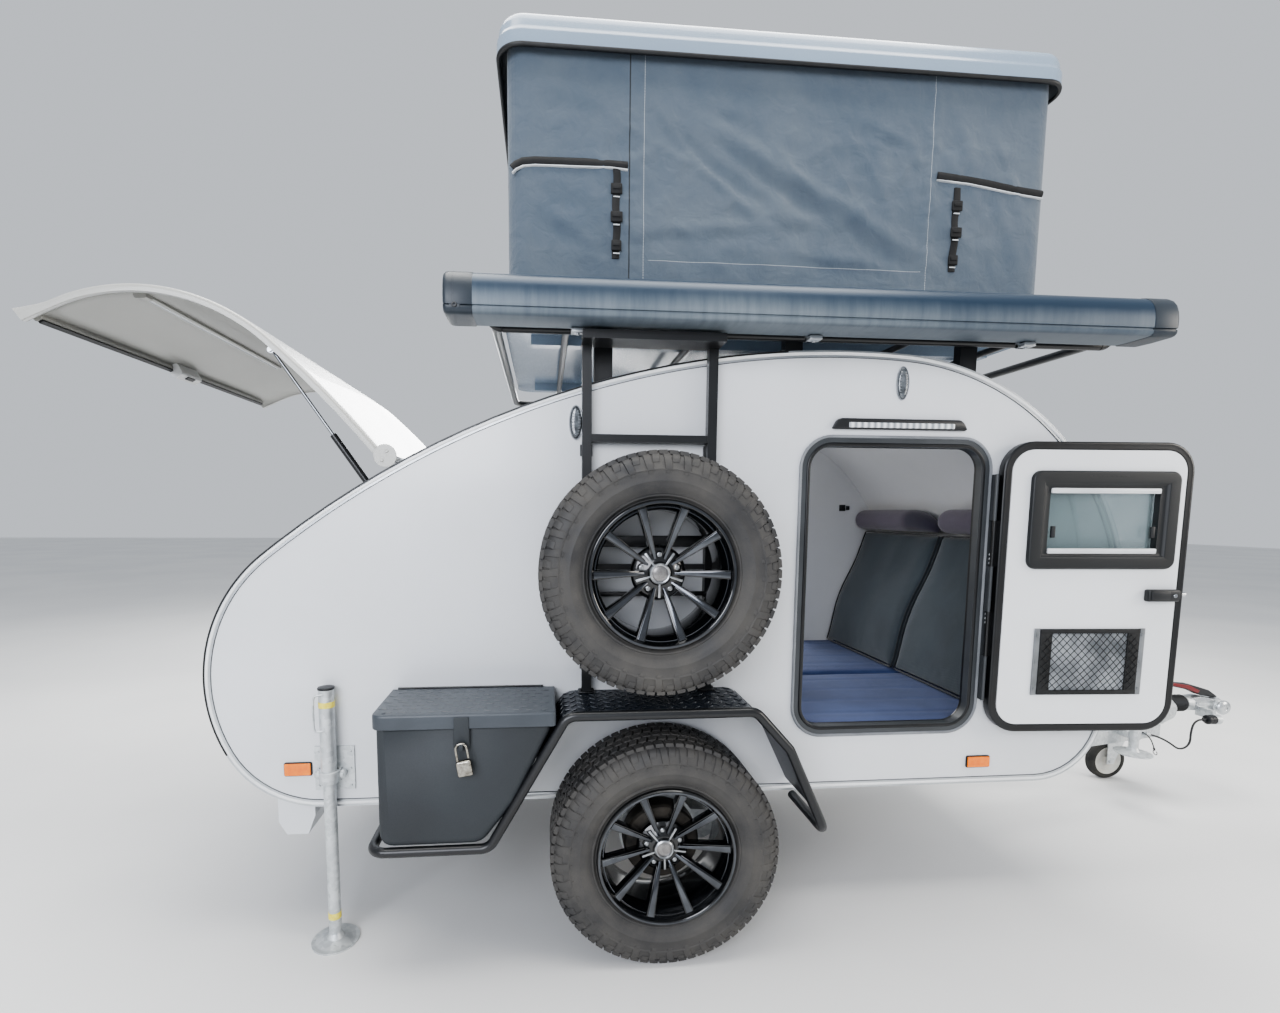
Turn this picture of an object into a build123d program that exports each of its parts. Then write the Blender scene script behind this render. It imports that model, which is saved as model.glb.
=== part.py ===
# A teardrop travel trailer with one axle, a pop-up roof tent and a rear galley under a hatch.
# Millimetres. +X runs forward to the hitch, +Y to the left, +Z up.
# Everything is laid out from the axle line and the ground. The last step of each piece
# moves it so that the origin lies at the centre of the coupling's ball socket.
import os
from math import atan2, cos, degrees, hypot, radians, sin, tan

from build123d import *

os.makedirs("parts", exist_ok=True)

# Whole trailer
HITCH_REACH = 3060         # axle line to ball
BALL_HEIGHT = 445
HALF_WIDTH = 780           # outer face of a side wall
WALL = 30
FLOOR_Z = 452              # underside of the floor
FLOOR_FRONT_X = 1407       # where the floor turns up into the front
SEAT = 0.3                 # gap between pieces that rest on each other
RUN = 5                    # gap between pieces that move past each other

# Side profile from the floor's front end, anticlockwise: each arc's radius, and the heading
# where it ends. The tail's arc closes it on the floor line.
PROFILE_RADII = [250, 3508, 917, 3008, 528]
PROFILE_HEADINGS = [81, 86, 176.2, 219, 297.1]
FRONT_HEADING = 150        # headings of the skin at the joints between panels
HINGE_HEADING = 209.6
LIP_HEADING = 297

# Edge trim
TRIM_FACE = 22
TRIM_THICK = 3

# Doors, one each side
DOOR_X = 820               # centre of the opening
DOOR_Z = 1160
DOOR_FRAME_W = 684         # over the frame
DOOR_FRAME_H = 1040
DOOR_CORNER = 110
FRAME_LIP = 25             # frame lying on the wall
FRAME_SLEEVE = 12
FRAME_THICK = 4
LEAF_W = DOOR_FRAME_W - 16
LEAF_H = DOOR_FRAME_H - 30
LEAF_THICK = 32
SEAL_THICK = 4
SEAL_FACE = 28
SEAL_DEPTH = 8
DOOR_OPEN = 177            # degrees, as it stands
HINGE_OFF = 12             # leaf's edge to hinge pin
HINGE_PIN_R = 6
KNUCKLES = 5
WINDOW_SIDE = -20          # window's centre from the leaf's
WINDOW_UP = 240
WINDOW_W = 521
WINDOW_H = 335
GLASS_W = 386
GLASS_H = 233
GLASS_THICK = 5
WINDOW_PROUD = 14
POCKET_SIDE = -8
POCKET_DOWN = 253
POCKET_W = 396
POCKET_H = 237
POCKET_BAND = 20
LATCH_W = 112
LATCH_H = 42
LATCH_PROUD = 26
LATCH_DOWN = 18

# Hatch
HATCH_Y = HALF_WIDTH + 5   # half its width
HATCH_PROUD = 28           # its skin above the walls' edge
HATCH_SIDE = 15            # spigot to side wall
HATCH_SPIGOT = 30
HATCH_RIM = 35
HATCH_SKIN = 6
HATCH_OPEN = 81            # degrees, as it stands
HATCH_GAP = 0.6            # degrees of skin left free at each end
HINGE_RISE = 30            # hinge pin above the skin
HATCH_PIN_R = 7
LAMP_HEADING = 262
LAMP_W = 520
LATCH_STRIP_W = 1000
LATCH_BOX_W = 110
STRUT_Y = HALF_WIDTH - 100
STRUT_FOOT = (-870, 1385)  # pin on the side wall
STRUT_HEADING = 220        # where the skin carries the upper stud
STRUT_INSET = 5
STRUT_R = 11
STRUT_ROD_R = 5
STRUT_PIN_R = 6
STRUT_EYE = 26
STRUT_BARREL = 340

# Chassis
RAIL_Y = 480
RAIL_W = 50
RAIL_H = 80
RAIL_REAR_X = -1140
RAIL_FRONT_X = 1400
CROSS_X = [-1110, -420, 420, 1330]
BAR_H = 62                 # drawbar rail
BAR_W = 60
BAR_REAR_X = 620
BAR_APEX_X = HITCH_REACH - 360
BAR_APEX_Y = 34
SHAFT_R = 25
FOLDS = 6
FOLD_LOW = 33
FOLD_HIGH = 43
BALL_R = 25.2              # socket for a 50 mm ball
SOCKET_R = 43
SOCKET_SKIRT = 24          # socket's straight wall below the ball's middle
PAD_Y = 62
SLEEVE_BACK = 175          # coupling's sleeve, behind the ball
HANDLE = [(-308, 115), (-300, 129), (-160, 117), (-50, 85), (6, 44), (-20, 41.5), (-100, 55), (-160, 83)]
HANDLE_W = 44              # the handle is drawn from the ball, forward and up

# Axle and wheels
TYRE_R = 360.5
TYRE_W = 235
BEAD_R = 205
RIM_W = 224
RIM_LIP_R = 220
FLANGE = 16
WHEEL_Y = HALF_WIDTH + 138
HUB_FACE = 52              # hub's front face outboard of the wheel's middle
HUB_MOUNT = 15
HUB_R = 78
SPOKES = 10
BOLTS = 5
BOLT_CIRCLE = 56
DRUM_R = 122
DRUM_DEPTH = 70
SPINDLE = 40
SPINDLE_R = 18
CAP_R = 30
BEAM_X = 170
BEAM_Z = 330
BEAM = 78
ARM_THICK = 30

# Fenders and toolboxes
TUBE_R = 15
SKIRT_Y = HALF_WIDTH + 260 # outer tube's centre line
TRAY_Z = 425
FENDER_Z = 822
SKIRT_LINE = [(-885, TRAY_Z), (-540, TRAY_Z), (-309, FENDER_Z), (262, FENDER_Z), (372, 700), (495, 430)]
PLATE_LINE = [(-400, 665), (-309, FENDER_Z), (262, FENDER_Z), (372, 700), (470, 494)]
SKIRT_BEND = 45
PLATE_BEND = 60
FENDER_PLATE = 4
BOX_REAR_X = -857
BOX_FRONT_X = -375
BOX_KNEE_X = -580          # where its floor ends and its front rises
BOX_SLOPE = [(-484, 565), (BOX_FRONT_X, 790)]
BOX_TOP = 838
BOX_WALL = 4
BOX_LID_H = 44
LID_FRONT_X = -352
HASP_X = -614
BOX_HINGE_R = 3.5
BOX_KNUCKLES = 5
HASP_H = 87
LOCK_Z = (680, 724)        # padlock's body
SHACKLE_TOP = 762

# Spare wheel and its carrier
SPARE_X = -32
SPARE_Z = 1239
SPARE_Y = HALF_WIDTH + 168
POST = 30
POST_Y = HALF_WIDTH + 25
POST_X = [-238, 167]
POST_TOP = 1940
CROSSBAR_Z = 1655
POST_PADS = [900, 1320, 1600]
POST_PAD_H = 36
HOOD_REACH = 95            # hood's front edge from the posts' line
HOOD_H = 26

# Prop stands: place of the tube, its lower and upper end, and the legs
REAR_STAND = (-1070, HALF_WIDTH + 32)
FRONT_STAND = (HITCH_REACH - 620, -182)
STAND_R = 24
LEG_R = 19.5
FOOT_R = 75
REAR_TUBE = (545, 854)
FRONT_TUBE = (352, 765)
FRONT_FOOT_Z = 278
REAR_LEG_LIFT = 240        # how far each rear leg can be drawn up
WALL_PLATE_X = (-54, 72)    # the rear stand's plate on the wall, from the tube's axis
WALL_PLATE_Z = (-37, 110)  # and from the clamp's foot
REAR_CLAMP_H = 40
FRONT_CLAMP_H = 30

# Jockey wheel
JOCKEY_X = HITCH_REACH - 360
JOCKEY_Y = 160
JOCKEY_R = 100
JOCKEY_W = 50
JOCKEY_TRAIL = 55
JOCKEY_TUBE = (318, 660)

# Roof rack and awning
RACK_REAR_X = -528
RACK_FRONT_X = 1560
RACK_Y = HALF_WIDTH - 45
RACK_Z = 2018
RACK_R = 15
RACK_BARS = [-300, 150, 517, 900, 1262]
RACK_FEET = [-180, 460, 1080]
AWNING_ARMS = [-272, 517, 1273]
AWNING_REAR_X = -655
AWNING_FRONT_X = 1600
AWNING_Y = HALF_WIDTH + 138
AWNING_Z = 2040
AWNING_DEPTH = 130
AWNING_H = 130
AWNING_CAP = 82

# Roof tent
TENT_REAR_X = -510
TENT_FRONT_X = 1450
TENT_Y = 645
TENT_FLOOR_Z = 2066
TENT_BASE_H = 92
TENT_SKIN = 6
LID_EAVE = 15
TENT_LIFT = 740            # the lid's travel
TENT_SHUT = 12             # between tray and lid when shut
LID_H = 120
TENT_LEDGE = 30            # frames that the canvas is fixed to

# Cabin and galley
BULKHEAD_X = -620
BOARD = 18
BED_Z = 560
BED_FRONT_X = 1540
MATTRESS = 100
BACK_TOP = 1322
BACK_LOW_X = (1300, 1390)  # rear and front of the seat backs at the mattress
BACK_TOP_X = (1520, 1598)
BACK_SIDE = 50             # seat back to wall
BOLSTER_R = 60
BOLSTER_X = 1522
GALLEY_REAR_X = -1150
WORKTOP_Z = 940
WORKTOP_LAP = 40           # worktop's edge beyond the unit
SHELF_X = -840
SHELF_Z = 1220

# Lamps: rear x, front x, low z and high z of each marker; oval lamps by their middles
MARKERS = [(-1221, -1135, 558, 601), (1140, 1227, 509, 550)]
LED_W = 471
LED_H = 30
LED_RISE = 38              # its middle above the door's frame
OVALS = [(-271, 1706), (824, 1854)]
OVAL_W = 46
OVAL_H = 112
LAMP_BOARD = [(-1265, 378), (-1265, 520), (-1146, 520), (-1146, 400), (-1170, 335), (-1240, 335)]
LAMP_BOARD_SIDE = 40       # its ends in from the walls
TAIL_LAMPS = [(220, 150), (380, 120)]  # distance in from the wall, and width
TAIL_LAMP_Z = (385, 435)

# Plug lead and breakaway cable, from their glands. Their points are measured from the ball.
LEAD_R = 4.5
LEAD = [(-459, -106, -107), (-424, -108, -116), (-387, -111, -131), (-348, -114, -153), (-315, -116, -177),
        (-294, -117, -182), (-272, -118, -177), (-255, -118, -164), (-244, -117, -144), (-243, -115, -108),
        (-235, -112, -75), (-225, -109, -59), (-211, -107, -47), (-193, -106, -40), (-176, -106, -40)]
CABLE_R = 2.5
CABLE = [(-500, -106, -93), (-488, -118, -101), (-472, -124, -119), (-458, -126, -143), (-448, -126, -169)]


def keep(node, shape):
    """Move a piece to the coupling's frame and write it."""
    export_step(Pos(-HITCH_REACH, 0, -BALL_HEIGHT) * shape, f"parts/{node}.step")


def box(x0, x1, y0, y1, z0, z1):
    """A block between two corners."""
    block = Box(abs(x1 - x0), abs(y1 - y0), abs(z1 - z0))
    return Pos((x0 + x1) / 2, (y0 + y1) / 2, (z0 + z1) / 2) * block


def slab(face, y0, y1):
    """A face drawn in X and Z, thick from y0 to y1."""
    return extrude(Plane.XZ.offset(-y0) * face, y1 - y0, dir=(0, 1, 0))


def rod(start, end, radius):
    """A round bar between two points."""
    run = Vector(end) - Vector(start)
    align = (Align.CENTER, Align.CENTER, Align.MIN)
    return Plane(origin=Vector(start), z_dir=run) * Cylinder(radius, run.length, align=align)


def bar(start, end, width, height):
    """A square bar between two points, its width level."""
    run = Vector(end) - Vector(start)
    level = Vector(0, 0, 1).cross(run)
    if level.length < 1e-6:
        level = Vector(0, 1, 0)
    align = (Align.CENTER, Align.CENTER, Align.MIN)
    return Plane(origin=Vector(start), x_dir=level, z_dir=run) * Box(width, height, run.length, align=align)


def both(piece):
    """A piece and its mirror image on the other side."""
    return piece + mirror(piece, Plane.XZ)


def frame_arcs():
    """Centre, radius, first heading and turn of each arc of the side profile."""
    x, z, heading, arcs = FLOOR_FRONT_X, FLOOR_Z, 0, []
    rise = 0
    for radius, last in zip(PROFILE_RADII, PROFILE_HEADINGS):
        rise += radius * (cos(radians(heading)) - cos(radians(last)))
        heading = last
    tail_radius = rise / (1 - cos(radians(heading)))
    heading = 0
    for radius, last in zip(PROFILE_RADII + [tail_radius], PROFILE_HEADINGS + [360]):
        cx = x - radius * sin(radians(heading))
        cz = z + radius * cos(radians(heading))
        arcs.append((cx, cz, radius, heading, last - heading))
        heading = last
        x = cx + radius * sin(radians(heading))
        z = cz - radius * cos(radians(heading))
    return arcs


ARCS = frame_arcs()


def skin(heading, inset=0):
    """The point of the profile where the skin runs in this direction."""
    for cx, cz, radius, first, turn in ARCS:
        if first <= heading <= first + turn:
            return cx + (radius - inset) * sin(radians(heading)), cz - (radius - inset) * cos(radians(heading))


def skin_arcs(first_heading, last_heading, inset):
    """The profile's arcs between two headings."""
    edges = []
    for cx, cz, radius, first, turn in ARCS:
        start = max(first, first_heading)
        stop = min(first + turn, last_heading)
        if stop - start > 0.01:
            edges.append(CenterArc((cx, cz), radius - inset, start - 90, stop - start))
    return edges


def outline(inset=0):
    """The whole side profile, drawn in by an inset."""
    edges = skin_arcs(0, 360, inset)
    return make_face(edges + [Line(edges[-1] @ 1, edges[0] @ 0)])


def strip(first_heading, last_heading, outer, inner):
    """The shell between two insets and two headings."""
    edges = skin_arcs(first_heading, last_heading, outer)
    inside = skin_arcs(first_heading, last_heading, inner)
    ends = [Line(edges[0] @ 0, inside[0] @ 0), Line(edges[-1] @ 1, inside[-1] @ 1)]
    return make_face(edges + inside + ends)


def roof_z(x, inset=0):
    """Height of the roof's skin over a place."""
    best = 0
    for cx, cz, radius, first, turn in ARCS:
        if abs(x - cx) < radius - inset:
            z = cz + ((radius - inset) ** 2 - (x - cx) ** 2) ** 0.5
            heading = degrees(atan2(cx - x, z - cz)) + 180
            if first - 1e-6 <= heading <= first + turn + 1e-6:
                best = max(best, z)
    return best


# Side walls, with a door opening in each
inner_y = HALF_WIDTH - WALL
wall_hole_w = DOOR_FRAME_W - 2 * FRAME_LIP
wall_hole_h = DOOR_FRAME_H - 2 * FRAME_LIP
door_place = Pos(DOOR_X, DOOR_Z)
wall_face = outline() - door_place * RectangleRounded(wall_hole_w, wall_hole_h, DOOR_CORNER - FRAME_LIP)
keep("side_walls", both(slab(wall_face, -HALF_WIDTH, -inner_y)))

# Bright edge trim round each wall
trim_face = outline(-TRIM_THICK) - outline(TRIM_FACE - TRIM_THICK)
trim_lip = outline(-TRIM_THICK) - outline()
trim = slab(trim_face, -HALF_WIDTH - TRIM_THICK, -HALF_WIDTH) + slab(trim_lip, -HALF_WIDTH, -inner_y)
keep("edge_trims", both(trim))

# Shell panels between the walls
front_face = strip(0, FRONT_HEADING, 0, WALL)
keep("front_panel", slab(front_face, -inner_y, inner_y))
roof_face = strip(FRONT_HEADING, HINGE_HEADING, 0, WALL)
keep("roof_panel", slab(roof_face, -inner_y, inner_y))
tail_face = strip(LIP_HEADING + HATCH_GAP, 360, 0, WALL)
tail = slab(tail_face, -inner_y, inner_y)
tail_x = skin(360)[0]
keep("floor", box(tail_x, FLOOR_FRONT_X, -inner_y, inner_y, FLOOR_Z, FLOOR_Z + WALL))

# Door frames and the body half of the hinges
clear_w = wall_hole_w - 2 * FRAME_SLEEVE
clear_h = wall_hole_h - 2 * FRAME_SLEEVE
clear_r = DOOR_CORNER - FRAME_LIP - FRAME_SLEEVE
clear_face = door_place * RectangleRounded(clear_w, clear_h, clear_r)
lip_face = door_place * RectangleRounded(DOOR_FRAME_W, DOOR_FRAME_H, DOOR_CORNER) - clear_face
sleeve_face = door_place * RectangleRounded(wall_hole_w, wall_hole_h, DOOR_CORNER - FRAME_LIP) - clear_face
frame_y = HALF_WIDTH + FRAME_THICK
door_frame = slab(lip_face, -frame_y, -HALF_WIDTH) + slab(sleeve_face, -HALF_WIDTH, -inner_y + FRAME_THICK)
leaf_in_y = frame_y + RUN
leaf_out_y = leaf_in_y + LEAF_THICK
leaf_edge_x = DOOR_X + LEAF_W / 2
pin_x = leaf_edge_x + HINGE_OFF
pin_y = leaf_in_y + LEAF_THICK / 2 + 2
hinge_h = LEAF_H - 2 * DOOR_CORNER
knuckle_h = hinge_h / KNUCKLES
hinge_low = DOOR_Z - hinge_h / 2
strip_x = DOOR_X + DOOR_FRAME_W / 2
body_hinge = box(strip_x, strip_x + 24, -HALF_WIDTH - 3, -HALF_WIDTH, hinge_low, hinge_low + hinge_h)
leaf_hinge = Part()
for index in range(KNUCKLES):
    low = hinge_low + index * knuckle_h + SEAT / 2
    high = low + knuckle_h - SEAT
    knuckle = rod((pin_x, -pin_y, low), (pin_x, -pin_y, high), HINGE_PIN_R)
    if index % 2 == 0:
        body_hinge += knuckle + box(pin_x - 2, pin_x + 2, -pin_y, -HALF_WIDTH - 3, low, high)
    else:
        leaf_hinge += knuckle + box(leaf_edge_x, pin_x, -pin_y - 2, -pin_y + 2, low, high)
keep("door_frames", both(door_frame + body_hinge))


def leaf_block(width, height, corner, y0, y1, side=0, up=0):
    """A rounded block on the closed leaf, from y0 to y1 outboard."""
    face = Pos(DOOR_X + side, DOOR_Z + up) * RectangleRounded(width, height, corner)
    return slab(face, -y1, -y0)


# Door leaf: white panel with a raised inner pan, rubber round its edge
seal_in_y = leaf_in_y
panel_in_y = leaf_in_y + SEAL_DEPTH
panel_w = LEAF_W - 2 * SEAL_THICK
panel_h = LEAF_H - 2 * SEAL_THICK
pan_w = LEAF_W - 2 * SEAL_FACE
pan_h = LEAF_H - 2 * SEAL_FACE
leaf = leaf_block(panel_w, panel_h, DOOR_CORNER - 12, panel_in_y, leaf_out_y)
leaf += leaf_block(pan_w, pan_h, DOOR_CORNER - 36, seal_in_y, panel_in_y)
sleeve_w = GLASS_W + 24
sleeve_h = GLASS_H + 24
leaf -= leaf_block(sleeve_w, sleeve_h, 27, 0, 2000, WINDOW_SIDE, WINDOW_UP)
leaf += leaf_hinge
seal = leaf_block(LEAF_W, LEAF_H, DOOR_CORNER - 8, seal_in_y, leaf_out_y)
seal -= leaf_block(panel_w, panel_h, DOOR_CORNER - 12, panel_in_y, 2000)
seal -= leaf_block(pan_w, pan_h, DOOR_CORNER - 36, 0, 2000)
for index in range(1, KNUCKLES, 2):
    low = hinge_low + index * knuckle_h + SEAT / 2
    notch_x = leaf_edge_x - SEAL_THICK
    notch = box(notch_x, leaf_edge_x, -pin_y - 2, -pin_y + 2, low, low + knuckle_h - SEAT)
    seal -= notch
    leaf += notch

# Window in the door: frame inside and out, pane in its sleeve
window = leaf_block(WINDOW_W, WINDOW_H, 32, seal_in_y - WINDOW_PROUD, seal_in_y, WINDOW_SIDE, WINDOW_UP)
window += leaf_block(sleeve_w, sleeve_h, 27, seal_in_y, leaf_out_y, WINDOW_SIDE, WINDOW_UP)
window += leaf_block(sleeve_w + 30, sleeve_h + 30, 40, leaf_out_y, leaf_out_y + 4, WINDOW_SIDE, WINDOW_UP)
window -= leaf_block(GLASS_W, GLASS_H, 15, 0, 2000, WINDOW_SIDE, WINDOW_UP)
pane_y = leaf_in_y + LEAF_THICK / 2
pane = leaf_block(GLASS_W, GLASS_H, 15, pane_y, pane_y + GLASS_THICK, WINDOW_SIDE, WINDOW_UP)

# Latch with its bolt, outer handle, and the frame of the net pocket
latch_z = DOOR_Z - LATCH_DOWN
free_x = DOOR_X - LEAF_W / 2
latch_x = free_x + SEAL_FACE + 4
latch_low = latch_z - LATCH_H / 2
latch = box(latch_x, latch_x + LATCH_W, -seal_in_y, -seal_in_y + LATCH_PROUD, latch_low, latch_low + LATCH_H)
latch = fillet(latch.edges().filter_by(Axis.Y), 8)
bolt = rod((free_x - 22, -pane_y, latch_z), (free_x + SEAL_THICK, -pane_y, latch_z), 7)
seal -= rod((free_x - 22, -pane_y, latch_z), (free_x + SEAL_THICK, -pane_y, latch_z), 7 + SEAT)
handle = box(latch_x, latch_x + 130, -leaf_out_y - 12, -leaf_out_y, latch_z - 30, latch_z + 30)
handle = fillet(handle.edges().filter_by(Axis.Y), 12)
pocket = leaf_block(POCKET_W, POCKET_H, 4, seal_in_y - 8, seal_in_y, POCKET_SIDE, -POCKET_DOWN)
net_w = POCKET_W - 2 * POCKET_BAND
net_h = POCKET_H - 2 * POCKET_BAND
pocket -= leaf_block(net_w, net_h, 4, 0, 2000, POCKET_SIDE, -POCKET_DOWN)
fittings = latch + bolt + handle + pocket

# The leaves stand open on their hinge pins
pin = Axis((pin_x, -pin_y, 0), (0, 0, 1))
for name, piece in [("leaf", leaf), ("seal", seal + window), ("glass", pane), ("fittings", fittings)]:
    open_piece = piece.rotate(pin, DOOR_OPEN)
    keep(f"door_{name}_right", open_piece)
    keep(f"door_{name}_left", mirror(open_piece, Plane.XZ))

# Hatch: a moulded lid whose rim lies over the walls' edges, with a spigot between them,
# open on its hinge
hatch_first = HINGE_HEADING + HATCH_GAP
hatch_last = LIP_HEADING
spigot_y = inner_y - HATCH_SIDE
rim_face = strip(hatch_first, hatch_last, -HATCH_PROUD, -TRIM_THICK - RUN)
hatch = slab(rim_face, -HATCH_Y, HATCH_Y)
spigot_face = strip(hatch_first + 0.6, hatch_last - 1.2, -TRIM_THICK - RUN, HATCH_SPIGOT)
hatch += slab(spigot_face, -spigot_y, spigot_y)
hollow = strip(hatch_first + 1.4, hatch_last - 3.4, HATCH_SKIN - HATCH_PROUD, HATCH_SPIGOT + 20)
hatch -= slab(hollow, HATCH_RIM - spigot_y, spigot_y - HATCH_RIM)
hinge_skin = skin(HINGE_HEADING)
hinge_x = hinge_skin[0] + HINGE_RISE * sin(radians(HINGE_HEADING))
hinge_z = hinge_skin[1] - HINGE_RISE * cos(radians(HINGE_HEADING))
hatch_pin = Axis((hinge_x, 0, hinge_z), (0, 1, 0))
hinge_y = inner_y - 2
knuckle_y = 2 * hinge_y / KNUCKLES
roof_foot = skin(HINGE_HEADING - 1.2, -SEAT)
roof_toe = skin(HINGE_HEADING - 0.6, -SEAT)
rim_foot = skin(hatch_first + 0.1, -HATCH_PROUD)
rim_toe = skin(hatch_first + 0.1, -HATCH_PROUD + 8)
roof_web = Polygon((hinge_x + 5, hinge_z), (hinge_x - 3, hinge_z - 2), roof_toe, roof_foot, align=None)
rim_web = Polygon((hinge_x, hinge_z - 3), (hinge_x, hinge_z + 3), rim_foot, rim_toe, align=None)
hatch_hinge = Part()
for index in range(KNUCKLES):
    y0 = index * knuckle_y - hinge_y + SEAT / 2
    y1 = y0 + knuckle_y - SEAT
    knuckle = rod((hinge_x, y0, hinge_z), (hinge_x, y1, hinge_z), HATCH_PIN_R)
    if index % 2 == 0:
        hatch_hinge += knuckle + slab(roof_web, y0, y1)
    else:
        hatch += knuckle + slab(rim_web, y0, y1)
keep("hatch_shell", hatch.rotate(hatch_pin, HATCH_OPEN))

# Hatch fittings: light strip across the inside, latch box on the lip
lamp_face = strip(LAMP_HEADING, LAMP_HEADING + 3, HATCH_SKIN - HATCH_PROUD, 20 - HATCH_PROUD)
lamp = slab(lamp_face, -LAMP_W / 2, LAMP_W / 2)
latch_strip_face = strip(hatch_last - 3.2, hatch_last - 1.4, HATCH_SPIGOT, HATCH_SPIGOT + 5)
latch_strip = slab(latch_strip_face, -LATCH_STRIP_W / 2, LATCH_STRIP_W / 2)
latch_box_face = strip(hatch_last - 6, hatch_last - 1.4, HATCH_SPIGOT + 5, HATCH_SPIGOT + 30)
latch_box = slab(latch_box_face, -LATCH_BOX_W / 2, LATCH_BOX_W / 2)
hatch_fittings = lamp + latch_strip + latch_box
keep("hatch_fittings", hatch_fittings.rotate(hatch_pin, HATCH_OPEN))

# Gas struts: cylinder on a pin in the wall, rod on a stud in the hatch
closed_head = skin(STRUT_HEADING, STRUT_INSET)
reach = hypot(closed_head[0] - hinge_x, closed_head[1] - hinge_z)
lean = atan2(closed_head[1] - hinge_z, closed_head[0] - hinge_x) - radians(HATCH_OPEN)
head = Vector(hinge_x + reach * cos(lean), -STRUT_Y, hinge_z + reach * sin(lean))
foot = Vector(STRUT_FOOT[0], -STRUT_Y, STRUT_FOOT[1])
open_length = (head - foot).length
closed_length = hypot(closed_head[0] - foot.X, closed_head[1] - foot.Z)
aim = (head - foot).normalized()
barrel_end = foot + aim * STRUT_BARREL
rod_start = foot + aim * (open_length - closed_length + STRUT_EYE + 2 * RUN)
along_y = Vector(0, 1, 0)
pin_start = foot - along_y * (inner_y - STRUT_Y)
eye_end = foot + along_y * STRUT_EYE / 2
barrel = rod(foot, barrel_end, STRUT_R) + rod(foot - along_y * STRUT_EYE / 2, eye_end, STRUT_EYE / 2)
barrel -= rod(foot + aim * STRUT_EYE, barrel_end + aim * RUN, STRUT_ROD_R + SEAT)
barrel -= rod(pin_start, eye_end + along_y * RUN, STRUT_PIN_R + SEAT)
piston = rod(rod_start, head, STRUT_ROD_R) + rod(head - along_y * 19.7, head + along_y * 10, STRUT_EYE / 2.4)
keep("hatch_hinge", hatch_hinge + both(rod(pin_start, eye_end + along_y * 4, STRUT_PIN_R)))
keep("strut_cylinders", both(barrel))
keep("strut_rods", both(piston))

# Chassis: two long rails, cross members and two drawbar rails that meet at the hitch
rail_low = FLOOR_Z - RAIL_H
chassis = Part()
for side in (-1, 1):
    rail_y = side * RAIL_Y
    chassis += box(RAIL_REAR_X, RAIL_FRONT_X, rail_y - RAIL_W / 2, rail_y + RAIL_W / 2, rail_low, FLOOR_Z)
for cross_x in CROSS_X:
    chassis += box(cross_x - 25, cross_x + 25, -RAIL_Y, RAIL_Y, FLOOR_Z - 60, FLOOR_Z)
keep("chassis_frame", chassis)
tube_z = BALL_HEIGHT + 14
housing_x = BAR_APEX_X - 230
bar_z = rail_low - BAR_H / 2


def drawbar_rail(side, grow=0):
    """One slanted rail of the drawbar."""
    start = (BAR_REAR_X, side * RAIL_Y, bar_z)
    end = (BAR_APEX_X, side * BAR_APEX_Y, bar_z)
    return bar(start, end, BAR_W + 2 * grow, BAR_H + 2 * grow)


drawbar = drawbar_rail(-1) + drawbar_rail(1)
drawbar += box(housing_x, BAR_APEX_X + 40, -48, 48, rail_low - 4, rail_low + 30)
drawbar += rod((housing_x + 20, 0, tube_z), (BAR_APEX_X + 60, 0, tube_z), 42)
drawbar += box(housing_x + 20, BAR_APEX_X + 40, -30, 30, rail_low + 20, tube_z)

# Overrun shaft in its bellows, coupling head round the ball socket, and its handle
tube_end = BAR_APEX_X + 60
head_back = HITCH_REACH - SLEEVE_BACK
drawbar += rod((tube_end, 0, tube_z), (head_back, 0, tube_z), SHAFT_R)
fold = (head_back - tube_end) / FOLDS
bellows_line = []
for index in range(FOLDS):
    x0 = tube_end + index * fold
    bellows_line += [(x0, FOLD_LOW), (x0 + fold / 2, FOLD_HIGH)]
bellows_line += [(head_back, FOLD_LOW), (head_back, SHAFT_R + SEAT), (tube_end, SHAFT_R + SEAT)]
bellows = revolve(make_face(Polyline(bellows_line, close=True)), Axis.X)
keep("bellows", Pos(0, 0, tube_z) * bellows)
ball = Vector(HITCH_REACH, 0, BALL_HEIGHT)
coupling = Pos(ball) * Sphere(SOCKET_R)
coupling += rod((head_back + 12, 0, tube_z), (HITCH_REACH - 10, 0, BALL_HEIGHT + 6), 31)
coupling += rod((head_back, 0, tube_z), (head_back + 34, 0, tube_z), 38)
coupling += rod((HITCH_REACH, -PAD_Y, BALL_HEIGHT), (HITCH_REACH, PAD_Y, BALL_HEIGHT), 26)
coupling -= box(HITCH_REACH - 60, HITCH_REACH + 60, -60, 60, BALL_HEIGHT - 60, BALL_HEIGHT - SOCKET_SKIRT)
coupling -= Pos(ball) * Sphere(BALL_R)
coupling -= rod((HITCH_REACH, 0, BALL_HEIGHT - 70), ball, BALL_R)
lead_points = [(HITCH_REACH + x, y, BALL_HEIGHT + z) for x, y, z in LEAD]
cable_points = [(HITCH_REACH + x, y, BALL_HEIGHT + z) for x, y, z in CABLE]
plug_at = Vector(lead_points[-1])
plug_end = plug_at + Vector(80 + SEAT, 0, 0)
coupling += rod(plug_end - Vector(20, 0, 0), plug_end + Vector(6, 0, 0), 24)
coupling += box(plug_end.X - 14, plug_end.X + 6, plug_at.Y + 12, -12, plug_at.Z - 6, tube_z - 14)
coupling -= rod(plug_end - Vector(40, 0, 0), plug_end, 19 + SEAT)
keep("coupling_head", coupling)
handle_face = Polygon([(HITCH_REACH + x, BALL_HEIGHT + z) for x, z in HANDLE], align=None)
keep("coupling_handle", slab(handle_face, -HANDLE_W / 2, HANDLE_W / 2))

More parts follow.
